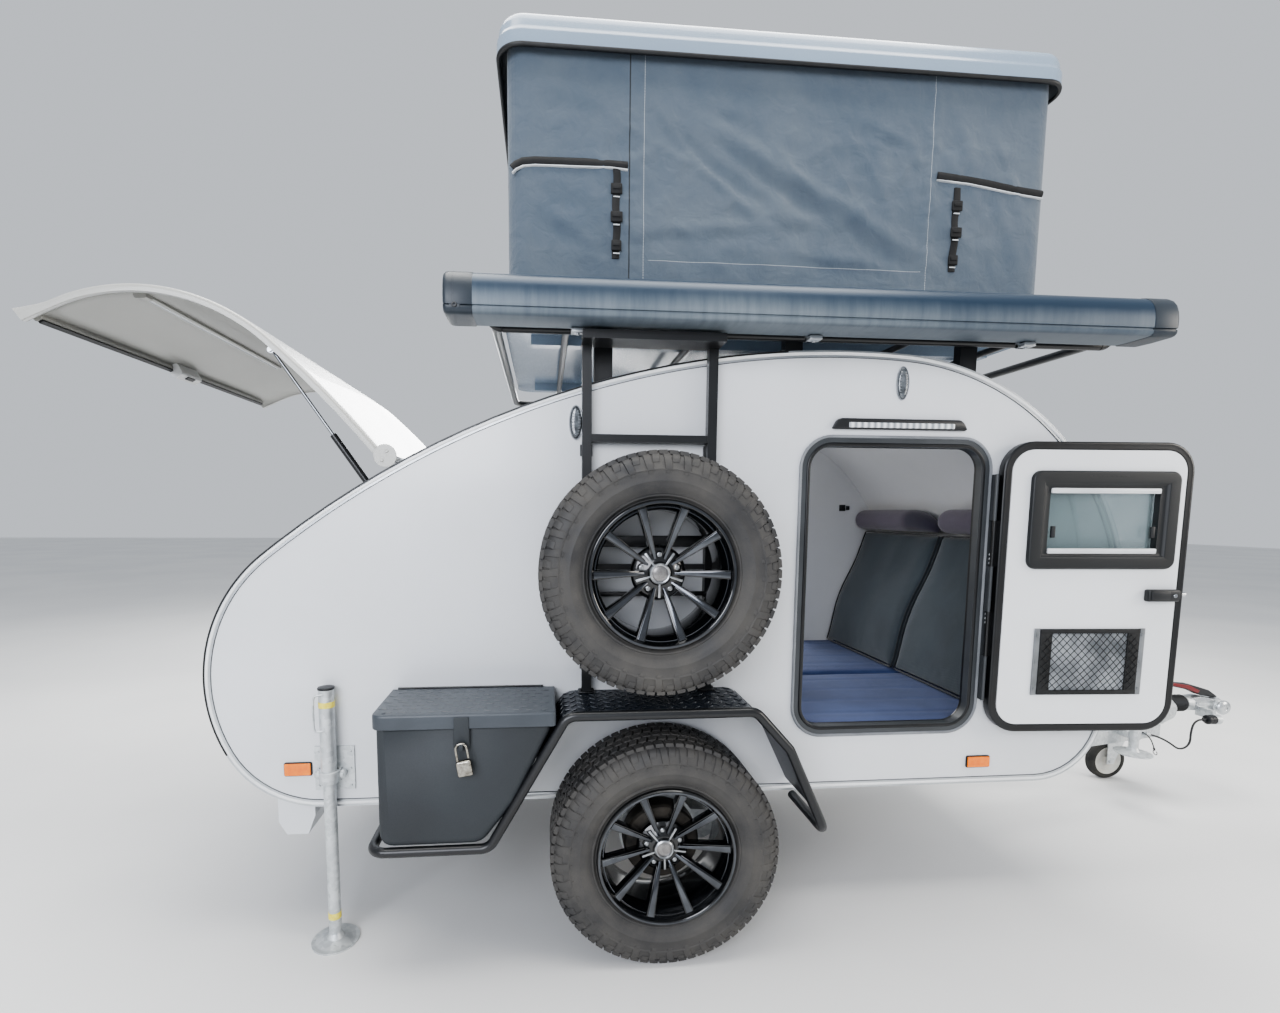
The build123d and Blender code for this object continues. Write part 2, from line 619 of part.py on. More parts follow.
# Axle beam with its trailing arms, stub axles and brake backplates
arm_y = HALF_WIDTH - ARM_THICK - 10
stub_y = WHEEL_Y - DRUM_DEPTH + HUB_MOUNT
axle = box(BEAM_X - BEAM / 2, BEAM_X + BEAM / 2, -arm_y, arm_y, BEAM_Z - BEAM / 2, BEAM_Z + BEAM / 2)
for side in (-1, 1):
    hanger_y = side * RAIL_Y
    axle += box(BEAM_X - 70, BEAM_X + 70, hanger_y - 30, hanger_y + 30, BEAM_Z, rail_low)
arm_face = make_hull(CenterArc((BEAM_X, BEAM_Z), 52, 0, 360).edges() + CenterArc((0, TYRE_R), 38, 0, 360).edges())
arm = slab(arm_face, -arm_y - ARM_THICK, -arm_y)
arm += rod((0, -arm_y, TYRE_R), (0, RUN - stub_y, TYRE_R), 24)
arm += rod((0, RUN + 8 - stub_y, TYRE_R), (0, RUN - stub_y, TYRE_R), DRUM_R + 8)
arm += rod((0, RUN - stub_y, TYRE_R), (0, -stub_y - SPINDLE, TYRE_R), SPINDLE_R)
keep("axle", axle + both(arm))


def tyre():
    """A tyre about the Y axis."""
    half = TYRE_W / 2
    bead = RIM_W / 2 - FLANGE - SEAT
    side = [(BEAD_R, bead), (RIM_LIP_R + 2, bead), (RIM_LIP_R + 14, half - 8), (BEAD_R + 62, half), (TYRE_R - 46, half - 3)]
    side += [(TYRE_R - 14, half - 14), (TYRE_R, half - 36)]
    inner = [(TYRE_R - 22, half - 40), (BEAD_R + 50, half - 12), (BEAD_R, bead - 14)]
    ring = side + [(r, -y) for r, y in reversed(side)]
    ring += [(r, -y) for r, y in reversed(inner)] + inner
    return revolve(make_face(Polyline(ring, close=True)), Axis.Y)


def rim():
    """A ten-spoke alloy rim about the Y axis, its face towards +Y."""
    half = RIM_W / 2
    seat = BEAD_R - SEAT
    barrel = [(RIM_LIP_R, half - 2), (RIM_LIP_R - 6, half + 3), (RIM_LIP_R - 16, half), (seat - 16, half - 40)]
    barrel += [(seat - 20, -half), (RIM_LIP_R, -half), (RIM_LIP_R, FLANGE - 2 - half), (seat, FLANGE - half)]
    barrel += [(seat, 30 - half), (seat - 10, 60 - half), (seat - 10, half - 60), (seat, half - 30)]
    barrel += [(seat, half - FLANGE), (RIM_LIP_R, half - FLANGE + 2)]
    body = revolve(make_face(Polyline(barrel, close=True)), Axis.Y)
    hub = [(0, HUB_MOUNT), (HUB_R, HUB_MOUNT), (HUB_R + 6, HUB_MOUNT + 14), (HUB_R - 4, HUB_FACE)]
    hub += [(CAP_R + 4, HUB_FACE), (CAP_R, HUB_FACE + 12), (0, HUB_FACE + 14)]
    body += revolve(make_face(Polyline(hub, close=True)), Axis.Y)
    root = HUB_R - 14
    tip = seat - 1
    side_face = Polygon((root, HUB_FACE - 26), (seat - 6, half - 38), (tip, half - 12), (root, HUB_FACE), align=None)
    plan_face = Plane.XZ * Polygon((root, -8), (tip, -15), (tip, 15), (root, 8), align=None)
    spoke = extrude(side_face, 22, both=True) & extrude(plan_face, 200, both=True)
    for index in range(SPOKES):
        body += spoke.rotate(Axis.Y, index * 360 / SPOKES)
    for index in range(BOLTS):
        turn = radians(90 + index * 360 / BOLTS)
        at = (BOLT_CIRCLE * cos(turn), HUB_FACE - 20, BOLT_CIRCLE * sin(turn))
        body -= rod(at, (at[0], HUB_FACE + 1, at[2]), 13)
        body += rod(at, (at[0], HUB_FACE - 4, at[2]), 9)
    return body


tyre_shape = tyre()
rim_shape = rim()
drum = rod((0, HUB_MOUNT - DRUM_DEPTH, 0), (0, HUB_MOUNT, 0), DRUM_R)
drum -= rod((0, HUB_MOUNT - DRUM_DEPTH, 0), (0, HUB_MOUNT - DRUM_DEPTH + SPINDLE + RUN, 0), SPINDLE_R + 0.5)
for name, piece in [("tyre", tyre_shape), ("rim", rim_shape + drum)]:
    wheel_piece = Pos(0, WHEEL_Y, TYRE_R) * piece
    keep(f"{name}_left", wheel_piece)
    keep(f"{name}_right", mirror(wheel_piece, Plane.XZ))
for name, piece in [("tyre_spare", tyre_shape), ("rim_spare", rim_shape)]:
    keep(name, mirror(Pos(SPARE_X, SPARE_Y, SPARE_Z) * piece, Plane.XZ))

# Fenders: a plate over the wheel inside a tube that runs on under the toolbox
skirt_y = SEAT + HALF_WIDTH
tube_points = [(SKIRT_LINE[0][0], skirt_y, SKIRT_LINE[0][1])] + [(x, SKIRT_Y, z) for x, z in SKIRT_LINE]
tube_points += [(SKIRT_LINE[-1][0], skirt_y, SKIRT_LINE[-1][1])]
tube_line = FilletPolyline(tube_points, radius=SKIRT_BEND)
tube = sweep(Plane(origin=tube_line @ 0, z_dir=tube_line % 0) * Circle(TUBE_R), path=tube_line)
keep("fender_tubes", both(tube))
plate_y0 = HALF_WIDTH + SEAT
plate_y1 = SKIRT_Y - TUBE_R - SEAT
plate_mid = (plate_y0 + plate_y1) / 2
plate_line = FilletPolyline([(x, plate_mid, z) for x, z in PLATE_LINE], radius=PLATE_BEND)
plate_plane = Plane(origin=plate_line @ 0, x_dir=(0, 1, 0), z_dir=plate_line % 0)
plate = sweep(plate_plane * Rectangle(plate_y1 - plate_y0, FENDER_PLATE), path=plate_line)
keep("fender_plates", both(plate))

# Toolboxes: sloping at the fender, with a tray lid hinged at the wall, hasp and padlock
box_y0 = HALF_WIDTH + TRIM_THICK + SEAT
box_y1 = SKIRT_Y + 8
box_low = TRAY_Z + TUBE_R + SEAT
slope = [(BOX_KNEE_X, box_low)] + BOX_SLOPE
box_face = Polygon([(BOX_REAR_X, box_low)] + slope + [(BOX_FRONT_X, BOX_TOP), (BOX_REAR_X, BOX_TOP)], align=None)
room_slope = [(x - BOX_WALL - 2, z) for x, z in slope[1:]]
room_low = box_low + BOX_WALL
room = [(BOX_REAR_X + BOX_WALL, room_low), (BOX_KNEE_X - BOX_WALL, room_low)] + room_slope
room += [(BOX_FRONT_X - BOX_WALL - 2, BOX_TOP + 9), (BOX_REAR_X + BOX_WALL, BOX_TOP + 9)]
toolbox = slab(box_face, box_y0, box_y1) - slab(Polygon(room, align=None), box_y0 + BOX_WALL, box_y1 - BOX_WALL)
lid_y0 = box_y0 + 2
lid_y1 = box_y1 + RUN + BOX_WALL
lid_x0 = BOX_REAR_X - RUN - BOX_WALL
lid_top = BOX_TOP + SEAT + BOX_WALL
lid = box(lid_x0, LID_FRONT_X, lid_y0, lid_y1, lid_top - BOX_LID_H, lid_top)
lid -= box(lid_x0 + BOX_WALL, LID_FRONT_X - BOX_WALL, lid_y0 - 1, lid_y1 - BOX_WALL, 0, lid_top - BOX_WALL)
lid_pin_y = box_y0 + 1
lid_pin_z = lid_top + 1
lid_knuckle = (BOX_FRONT_X - BOX_REAR_X) / BOX_KNUCKLES
for index in range(BOX_KNUCKLES):
    low = BOX_REAR_X + index * lid_knuckle + SEAT / 2
    high = low + lid_knuckle - SEAT
    knuckle = rod((low, lid_pin_y, lid_pin_z), (high, lid_pin_y, lid_pin_z), BOX_HINGE_R)
    if index % 2 == 0:
        toolbox += knuckle + box(low, high, box_y0, lid_y0 - SEAT, BOX_TOP - 8, lid_pin_z)
        lid -= box(low - SEAT, high + SEAT, 0, lid_pin_y + BOX_HINGE_R + SEAT, lid_top - BOX_WALL - 1, lid_top + 1)
    else:
        lid += knuckle
keep("toolboxes", both(toolbox))
hasp = box(HASP_X - 16, HASP_X + 16, lid_y1, lid_y1 + 4, lid_top - 8 - HASP_H, lid_top - 8)
lock = box(HASP_X - 22, HASP_X + 22, lid_y1 + 4, lid_y1 + 24, *LOCK_Z)
lock = fillet(lock.edges().filter_by(Axis.Y), 9)
lock_y = lid_y1 + 14
shackle_line = FilletPolyline([(HASP_X - 13, lock_y, LOCK_Z[1]), (HASP_X - 13, lock_y, SHACKLE_TOP),
                               (HASP_X + 13, lock_y, SHACKLE_TOP), (HASP_X + 13, lock_y, LOCK_Z[1])], radius=12)
shackle = sweep(Plane(origin=shackle_line @ 0, z_dir=shackle_line % 0) * Circle(4), path=shackle_line)
staple = box(HASP_X - 6, HASP_X + 6, lid_y1 + 4, lid_y1 + 20, SHACKLE_TOP - 17, SHACKLE_TOP - 5)
lid += hasp + lock + shackle + staple
keep("toolbox_lid_left", lid)
keep("toolbox_lid_right", mirror(lid, Plane.XZ))

# Spare wheel carrier: two posts from the fender to the awning, crossbars and a boss
carrier = Part()
post_low = FENDER_Z + FENDER_PLATE / 2 + SEAT
for post_x in POST_X:
    carrier += box(post_x - POST / 2, post_x + POST / 2, -POST_Y - POST / 2, -POST_Y + POST / 2, post_low, POST_TOP)
    for pad_z in POST_PADS:
        carrier += box(post_x - 20, post_x + 20, -POST_Y + POST / 2, -HALF_WIDTH - SEAT, pad_z, pad_z + POST_PAD_H)
for rung_z in (SPARE_Z, CROSSBAR_Z):
    carrier += box(POST_X[0], POST_X[1], -POST_Y - 12, -POST_Y + 12, rung_z - 12, rung_z + 12)
carrier += rod((SPARE_X, -POST_Y, SPARE_Z), (SPARE_X, -SPARE_Y - HUB_MOUNT + SEAT, SPARE_Z), 60)
hood_x0 = POST_X[0] - 18
hood_x1 = POST_X[1] + 18
hood_y = -POST_Y - HOOD_REACH
hood = box(hood_x0, hood_x1, hood_y, -POST_Y + POST / 2, POST_TOP, POST_TOP + HOOD_H)
hood -= box(hood_x0 - 1, hood_x1 + 1, hood_y + 4, -POST_Y + POST / 2 + 1, POST_TOP + 4, POST_TOP + HOOD_H - 4)
keep("spare_carrier", carrier + hood)

# Prop stands: outer tubes held at the wall and the drawbar, and the legs that slide in them
foot_line = [(0, 0), (FOOT_R, 0), (FOOT_R, 5), (FOOT_R - 12, 5), (LEG_R + 8, 14), (LEG_R, 30), (0, 30)]
foot_disc = revolve(Plane.XZ * make_face(Polyline(foot_line, close=True)), Axis.Z)


def outer_tube(low, high):
    tube_body = rod((0, 0, low), (0, 0, high), STAND_R) + rod((0, 0, high), (0, 0, high + 6), STAND_R + 1.5)
    return tube_body - rod((0, 0, low - 1), (0, 0, high - 3), LEG_R + 0.5)


def leg(low, high):
    return Pos(0, 0, low) * foot_disc + rod((0, 0, low + 20), (0, 0, high), LEG_R)


stand_x, stand_y = REAR_STAND
rear_tube = Pos(stand_x, -stand_y, 0) * outer_tube(*REAR_TUBE)
clamp_low = REAR_TUBE[0]
plate_x = [stand_x + along for along in WALL_PLATE_X]
plate_z = [clamp_low + up for up in WALL_PLATE_Z]
clamp = box(stand_x - 32, stand_x + 32, 6 - stand_y, -HALF_WIDTH - 6, clamp_low, clamp_low + REAR_CLAMP_H)
clamp += box(*plate_x, -HALF_WIDTH - 6, -HALF_WIDTH - SEAT, *plate_z)
clamp -= rod((stand_x, -stand_y, 0), (stand_x, -stand_y, POST_TOP), STAND_R - 1)
front_x, front_y = FRONT_STAND
front_tube = Pos(front_x, front_y, 0) * outer_tube(*FRONT_TUBE)
bar_y = RAIL_Y - (RAIL_Y - BAR_APEX_Y) * (front_x - BAR_REAR_X) / (BAR_APEX_X - BAR_REAR_X)
front_clamp = box(front_x - 28, front_x + 28, front_y + 6, -bar_y, FRONT_TUBE[0], FRONT_TUBE[0] + FRONT_CLAMP_H)
front_clamp -= drawbar_rail(-1, SEAT)
front_clamp -= rod((front_x, front_y, 0), (front_x, front_y, POST_TOP), STAND_R - 1)
keep("stand_tubes", both(rear_tube + clamp) + front_tube + front_clamp)
rear_leg = Pos(stand_x, -stand_y, 0) * leg(0, REAR_TUBE[1] - 14 - REAR_LEG_LIFT)
keep("rear_leg_right", rear_leg)
keep("rear_leg_left", mirror(rear_leg, Plane.XZ))
keep("front_leg", Pos(front_x, front_y, 0) * leg(FRONT_FOOT_Z, FRONT_TUBE[1] - 15))

# Jockey wheel: clamped tube with a crank, swivelling fork, wheel
jockey_low, jockey_high = JOCKEY_TUBE
mast = rod((0, 0, jockey_low), (0, 0, jockey_high), STAND_R) + rod((0, 0, jockey_high), (0, 0, jockey_high + 22), 14)
mast -= rod((0, 0, jockey_low - 1), (0, 0, jockey_high - 12), LEG_R + 0.5)
mast += rod((0, 0, jockey_high + 16), (70, 0, jockey_high + 34), 5) + rod((68, 0, jockey_high + 20), (68, 0, jockey_high + 90), 9)
mast = Pos(JOCKEY_X, JOCKEY_Y, 0) * mast
mast_clamp = box(JOCKEY_X - 26, JOCKEY_X + 26, BAR_APEX_Y + BAR_W / 2 - 4, JOCKEY_Y - 6, jockey_low, rail_low)
mast_clamp -= drawbar_rail(1, SEAT)
mast_clamp -= rod((JOCKEY_X, JOCKEY_Y, 0), (JOCKEY_X, JOCKEY_Y, POST_TOP), STAND_R - 1)
keep("jockey_tube", mast + mast_clamp)
wheel_x = JOCKEY_X - JOCKEY_TRAIL
cheek_y = JOCKEY_W / 2 + RUN
fork_top = 2 * JOCKEY_R + 22
fork = rod((JOCKEY_X, JOCKEY_Y, fork_top), (JOCKEY_X, JOCKEY_Y, jockey_high - 60), LEG_R)
fork += box(wheel_x - 20, JOCKEY_X + 24, JOCKEY_Y - cheek_y - 5, JOCKEY_Y + cheek_y + 5, fork_top - 8, fork_top)
cheek_face = Polygon((wheel_x - 20, fork_top), (JOCKEY_X + 24, fork_top), (wheel_x + 18, JOCKEY_R - 14),
                     (wheel_x - 18, JOCKEY_R - 14), align=None)
for side in (-1, 1):
    near_y = JOCKEY_Y + side * cheek_y
    fork += slab(cheek_face, min(near_y, near_y + 5 * side), max(near_y, near_y + 5 * side))
fork += rod((wheel_x, JOCKEY_Y - cheek_y - 10, JOCKEY_R), (wheel_x, JOCKEY_Y + cheek_y + 10, JOCKEY_R), 8)
keep("jockey_fork", fork)
half_w = JOCKEY_W / 2
tread = [(JOCKEY_R - 30, -half_w), (JOCKEY_R - 12, -half_w), (JOCKEY_R, 14 - half_w), (JOCKEY_R, half_w - 14)]
tread += [(JOCKEY_R - 12, half_w), (JOCKEY_R - 30, half_w), (JOCKEY_R - 38, half_w - 10), (30, half_w - 16)]
tread += [(24, half_w), (8.5, half_w), (8.5, -half_w), (24, -half_w), (30, 16 - half_w), (JOCKEY_R - 38, 10 - half_w)]
jockey_wheel = revolve(make_face(Polyline(tread, close=True)), Axis.Y)
keep("jockey_wheel", Pos(wheel_x, JOCKEY_Y, JOCKEY_R) * jockey_wheel)

# Roof rack: a ring of tube on feet, with crossbars and the awning's arms
ring_points = [(RACK_REAR_X, 0, RACK_Z), (RACK_REAR_X, -RACK_Y, RACK_Z), (RACK_FRONT_X, -RACK_Y, RACK_Z),
               (RACK_FRONT_X, 0, RACK_Z)]
half_ring = FilletPolyline(ring_points, radius=60)
rack = both(sweep(Plane(origin=half_ring @ 0, z_dir=half_ring % 0) * Circle(RACK_R), path=half_ring))
for bar_x in RACK_BARS:
    rack += rod((bar_x, -RACK_Y, RACK_Z), (bar_x, RACK_Y, RACK_Z), RACK_R - 3)
feet = Part()
for foot_at in RACK_FEET:
    for side in (-1, 1):
        side_y = side * (inner_y - 25)
        feet += box(foot_at - 30, foot_at + 30, side_y - 18, side_y + 18, roof_z(foot_at) - 60, RACK_Z)
rack += feet - slab(outline(-SEAT), -HALF_WIDTH, HALF_WIDTH)
awning_back = AWNING_Y - AWNING_DEPTH / 2
for arm_x in AWNING_ARMS:
    rack += box(arm_x - 20, arm_x + 20, SEAT - awning_back, -RACK_Y, RACK_Z - 12, RACK_Z + 12)
keep("roof_rack", rack)

# Awning cassette with its end caps


def awning_bar(grow, x0, x1):
    """A length of the cassette's section, grown by a little for the caps."""
    front = AWNING_Y + AWNING_DEPTH / 2 + grow
    low = AWNING_Z - AWNING_H / 2 - grow
    high = AWNING_Z + AWNING_H / 2 + grow
    points = [(-awning_back, low), (-awning_back, high), (-awning_back - 40, high), (12 - front, high - 28),
              (-front, high - 58), (4 - front, low + 8), (18 - front, low)]
    return extrude(Plane.YZ.offset(x0) * Polygon(points, align=None), x1 - x0, dir=(1, 0, 0))


casing = awning_bar(0, AWNING_REAR_X + AWNING_CAP, AWNING_FRONT_X - AWNING_CAP)
caps = awning_bar(2, AWNING_REAR_X, AWNING_REAR_X + AWNING_CAP)
caps += awning_bar(2, AWNING_FRONT_X - AWNING_CAP, AWNING_FRONT_X)
keep("awning_cassette", Compound([casing, *caps.solids()]))


def plan(width_x, width_y, corner, low, high):
    """A rounded block over the tent's middle."""
    middle_x = (TENT_REAR_X + TENT_FRONT_X) / 2
    return extrude(Pos(middle_x, 0, low) * RectangleRounded(width_x, width_y, corner), high - low)


# Roof tent: tray on two skids, canvas wall and hard lid standing open
tent_l = TENT_FRONT_X - TENT_REAR_X
tent_w = 2 * TENT_Y
tray = plan(tent_l, tent_w, 80, TENT_FLOOR_Z, TENT_FLOOR_Z + TENT_BASE_H)
tray_top = TENT_FLOOR_Z + TENT_BASE_H
tray -= plan(tent_l - 2 * TENT_SKIN, tent_w - 2 * TENT_SKIN, 80 - TENT_SKIN, TENT_FLOOR_Z + 20, tray_top - TENT_SKIN)
tray -= plan(tent_l - 2 * TENT_LEDGE, tent_w - 2 * TENT_LEDGE, 50, TENT_FLOOR_Z + 20, tray_top + 9)
for side in (-1, 1):
    skid_y = side * 430
    tray += box(TENT_REAR_X + 90, TENT_FRONT_X - 90, skid_y - 25, skid_y + 25, RACK_Z + RACK_R - 3 + SEAT, TENT_FLOOR_Z)
keep("tent_base", tray)
rim_z = tray_top + TENT_SHUT + TENT_LIFT
crown_z = rim_z + LID_H
lid_l = tent_l + 2 * LID_EAVE
lid_w = tent_w + 2 * LID_EAVE
room_l = lid_l - 2 * TENT_SKIN
room_w = lid_w - 2 * TENT_SKIN
lid_shell = plan(lid_l, lid_w, 90, rim_z, crown_z)
lid_shell = fillet(lid_shell.faces().sort_by(Axis.Z)[-1].edges(), 55)
lid_room = plan(room_l, room_w, 90 - TENT_SKIN, rim_z - 9, crown_z - TENT_SKIN)
lid_room = fillet(lid_room.faces().sort_by(Axis.Z)[-1].edges(), 55 - TENT_SKIN)
ledge_z = rim_z + 30
ledge = plan(room_l + 2, room_w + 2, 90 - TENT_SKIN, ledge_z, ledge_z + TENT_SKIN)
ledge -= plan(tent_l - 2 * TENT_LEDGE, tent_w - 2 * TENT_LEDGE, 50, ledge_z - 1, ledge_z + TENT_SKIN + 1)
keep("tent_lid", lid_shell - lid_room + ledge)
canvas_low = tray_top + SEAT
canvas_high = ledge_z - SEAT
canvas = plan(tent_l - 40, tent_w - 40, 60, canvas_low, canvas_high)
canvas -= plan(tent_l - 48, tent_w - 48, 56, canvas_low - 1, canvas_high + 1)
keep("tent_canvas", canvas)

# Cabin: bed board, mattresses, seat backs and bolsters; galley behind the bulkhead
room_y = inner_y - SEAT
inside = outline(WALL + SEAT)
board = box(BULKHEAD_X + BOARD, BED_FRONT_X, -room_y, room_y, BED_Z - BOARD, BED_Z)
for batten_y in (-room_y + 20, 0, room_y - 20):
    board += box(BULKHEAD_X + BOARD, BED_FRONT_X - 160, batten_y - 20, batten_y + 20, FLOOR_Z + WALL + SEAT, BED_Z - BOARD)
bulkhead_strip = Pos(BULKHEAD_X + BOARD / 2, TENT_FLOOR_Z / 2) * Rectangle(BOARD, TENT_FLOOR_Z)
bulkhead = slab(inside & bulkhead_strip, -room_y, room_y)
furniture = bulkhead + board
unit_low = FLOOR_Z + WALL + 8
unit = box(GALLEY_REAR_X, BULKHEAD_X, -room_y, room_y, unit_low, WORKTOP_Z - 28)
bay_w = (2 * room_y - 4 * BOARD) / 3
for index in range(3):
    y0 = -room_y + BOARD + index * (bay_w + BOARD)
    unit -= box(GALLEY_REAR_X - 1, BULKHEAD_X - BOARD, y0, y0 + bay_w, unit_low + BOARD, WORKTOP_Z - 28 - BOARD)
unit += box(GALLEY_REAR_X - WORKTOP_LAP, BULKHEAD_X, -room_y, room_y, WORKTOP_Z - 28, WORKTOP_Z)
unit += box(SHELF_X, BULKHEAD_X, -room_y, room_y, SHELF_Z, SHELF_Z + BOARD)
keep("furniture", furniture + unit)
pad_top = BED_Z + SEAT + MATTRESS
mattress = box(BULKHEAD_X + BOARD + 4, BED_FRONT_X, -room_y + 4, -3, BED_Z + SEAT, pad_top)
keep("mattresses", both(fillet(mattress.edges(), 18)))
back_low = pad_top + SEAT
back_face = Polygon((BACK_LOW_X[0], back_low), (BACK_TOP_X[0], BACK_TOP), (BACK_TOP_X[1], BACK_TOP),
                    (BACK_LOW_X[1], back_low), align=None)
seat_back = slab(back_face, BACK_SIDE - inner_y, -3)
keep("seat_backs", both(fillet(seat_back.edges(), 14)))
bolster_z = BACK_TOP + SEAT + BOLSTER_R
bolster = rod((BOLSTER_X, BACK_SIDE + 10 - inner_y, bolster_z), (BOLSTER_X, -4, bolster_z), BOLSTER_R)
keep("bolsters", both(fillet(bolster.edges(), 20)))

# Lamps
amber = Part()
for x0, x1, z0, z1 in MARKERS:
    amber += fillet(box(x0, x1, -HALF_WIDTH - 10, -HALF_WIDTH - SEAT, z0, z1).edges().filter_by(Axis.Y), 4)
keep("marker_lamps", both(amber))
led_z = DOOR_Z + DOOR_FRAME_H / 2 + LED_RISE
led_face = Pos(DOOR_X, led_z) * SlotOverall(LED_W, LED_H)
led = slab(led_face, -HALF_WIDTH - 20, -HALF_WIDTH - SEAT)
for oval_x, oval_z in OVALS:
    oval_face = Pos(oval_x, oval_z) * Ellipse(OVAL_W / 2, OVAL_H / 2)
    led += slab(oval_face, -HALF_WIDTH - 9, -HALF_WIDTH - SEAT)
keep("white_lamps", both(led))
board_face = Polygon(LAMP_BOARD, align=None)
board_y = HALF_WIDTH - LAMP_BOARD_SIDE
rear_board = slab(board_face - outline(-SEAT), -board_y, board_y)
keep("tail_panel", tail + rear_board)
tail_lamps = Part()
for side in (-1, 1):
    for from_wall, wide in TAIL_LAMPS:
        y0 = side * (HALF_WIDTH - from_wall)
        lamp_back = LAMP_BOARD[0][0] - SEAT
        tail_lamps += box(lamp_back - 12 + SEAT, lamp_back, y0, y0 + side * wide, *TAIL_LAMP_Z)
keep("tail_lamps", tail_lamps)

# Plug lead, hanging in a loop from its gland to the parked plug, and the breakaway cable


def cord(points, radius):
    """A tube along straight runs, with arcs as large as the runs allow."""
    places = [Vector(point) for point in points]
    runs = [b - a for a, b in zip(places, places[1:])]
    bends = []
    for before, after in zip(runs, runs[1:]):
        turn = radians(before.get_angle(after))
        bends.append(0.45 * min(before.length, after.length) / tan(turn / 2))
    print("bends", [round(bend) for bend in bends])
    path = FilletPolyline(points, radius=bends)
    return sweep(Plane(origin=path @ 0, z_dir=path % 0) * Circle(radius), path=path), path


def facing(at, toward):
    """A plane at a point, looking along a run."""
    return Plane(origin=Vector(at), z_dir=Vector(toward) - Vector(at))


lead, lead_line = cord(lead_points, LEAD_R)
keep("plug_lead", lead)
cable, cable_line = cord(cable_points, CABLE_R)
keep("breakaway_cable", cable)
print("lead length", round(lead_line.length), "cable length", round(cable_line.length))
on_base = (Align.CENTER, Align.CENTER, Align.MIN)
plug_plane = facing(plug_at, plug_at * 2 - Vector(lead_points[-2]))
plug = plug_plane * Cylinder(9, 18, align=on_base) + plug_plane * Pos(0, 0, 18) * Cylinder(19, 62, align=on_base)
clip_at = Vector(cable_points[-1])
clip_plane = facing(clip_at, clip_at * 2 - Vector(cable_points[-2]))
clip = clip_plane * Cylinder(5, 14, align=on_base) + clip_plane * Pos(0, 0, 26) * Box(16, 5, 26)
keep("cord_ends", plug + clip)

# Glands of the two cords on the drawbar's right rail
for place, heading, radius in [(*lead_points[:2], 9), (*cable_points[:2], 6)]:
    drawbar += facing(place, heading) * Pos(0, 0, -20) * Cylinder(radius, 20, align=on_base)
    lug_z = sorted((place[2] - 7, place[2] + 9, bar_z))
    drawbar += box(place[0] - 18, place[0] - 4, place[1] + 3, place[1] + 50, lug_z[0], lug_z[-1])
keep("drawbar", drawbar)
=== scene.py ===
# A teardrop travel trailer with one axle: a light grey shell with bright edges, open doors and
# hatch, a pop-up roof tent, an awning in its case, a spare wheel on a carrier, and its running gear.
from math import acos, atan2, ceil, cos, hypot, pi, radians, sin, sqrt, tan

import bmesh
import bpy
from mathutils import Matrix, Vector, noise


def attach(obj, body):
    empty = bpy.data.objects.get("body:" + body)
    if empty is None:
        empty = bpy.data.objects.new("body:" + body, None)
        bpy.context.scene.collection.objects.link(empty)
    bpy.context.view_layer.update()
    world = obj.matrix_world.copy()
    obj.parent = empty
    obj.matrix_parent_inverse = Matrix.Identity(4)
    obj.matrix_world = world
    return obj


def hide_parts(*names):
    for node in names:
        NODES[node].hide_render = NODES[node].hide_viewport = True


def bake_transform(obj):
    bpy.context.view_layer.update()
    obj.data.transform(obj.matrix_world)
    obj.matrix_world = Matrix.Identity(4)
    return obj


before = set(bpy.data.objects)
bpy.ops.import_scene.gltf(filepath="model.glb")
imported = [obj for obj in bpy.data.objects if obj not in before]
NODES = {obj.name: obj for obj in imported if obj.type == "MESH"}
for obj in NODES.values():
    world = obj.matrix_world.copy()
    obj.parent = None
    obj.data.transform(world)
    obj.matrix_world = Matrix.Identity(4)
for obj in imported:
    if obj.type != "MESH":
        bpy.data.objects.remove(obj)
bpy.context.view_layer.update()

# Studio. The camera has the photo's own view, close by and level with the top of the door, with a
# wide lens. The floor is a pale sweep; the light is a big overhead softbox and a broad front fill.


def spot(x, y, z):
    """A place in millimetres from the axle's middle and the ground, in the frame's metres."""
    return Vector(((x - 3060) / 1000, y / 1000, (z - 445) / 1000))


def linear(code):
    """An sRGB hex value as linear red, green, blue and alpha."""
    shares = [int(code[at:at + 2], 16) / 255 for at in (0, 2, 4)]
    return [share / 12.92 if share <= 0.04045 else ((share + 0.055) / 1.055) ** 2.4
            for share in shares] + [1.0]


def feed(made, inputs):
    """Fill a node's inputs, or link them to a socket or to the first output of another node."""
    for name, value in inputs.items():
        if isinstance(value, bpy.types.Node):
            value = value.outputs[0]
        if isinstance(value, bpy.types.NodeSocket):
            made.id_data.links.new(value, made.inputs[name])
        else:
            made.inputs[name].default_value = value


def node(tree, kind, inputs=None, **settings):
    """Add a shader node, give it its settings, and fill or link its inputs."""
    made = tree.nodes.new("ShaderNode" + kind)
    for name, value in settings.items():
        setattr(made, name, value)
    feed(made, inputs or {})
    return made


def new_material(name):
    """An empty node material: its tree, principled shader and object coordinates."""
    material = bpy.data.materials.new(name)
    material.use_nodes = True
    tree = material.node_tree
    shader = tree.nodes["Principled BSDF"]
    place = node(tree, "TexCoord").outputs["Object"]
    return material, tree, shader, place


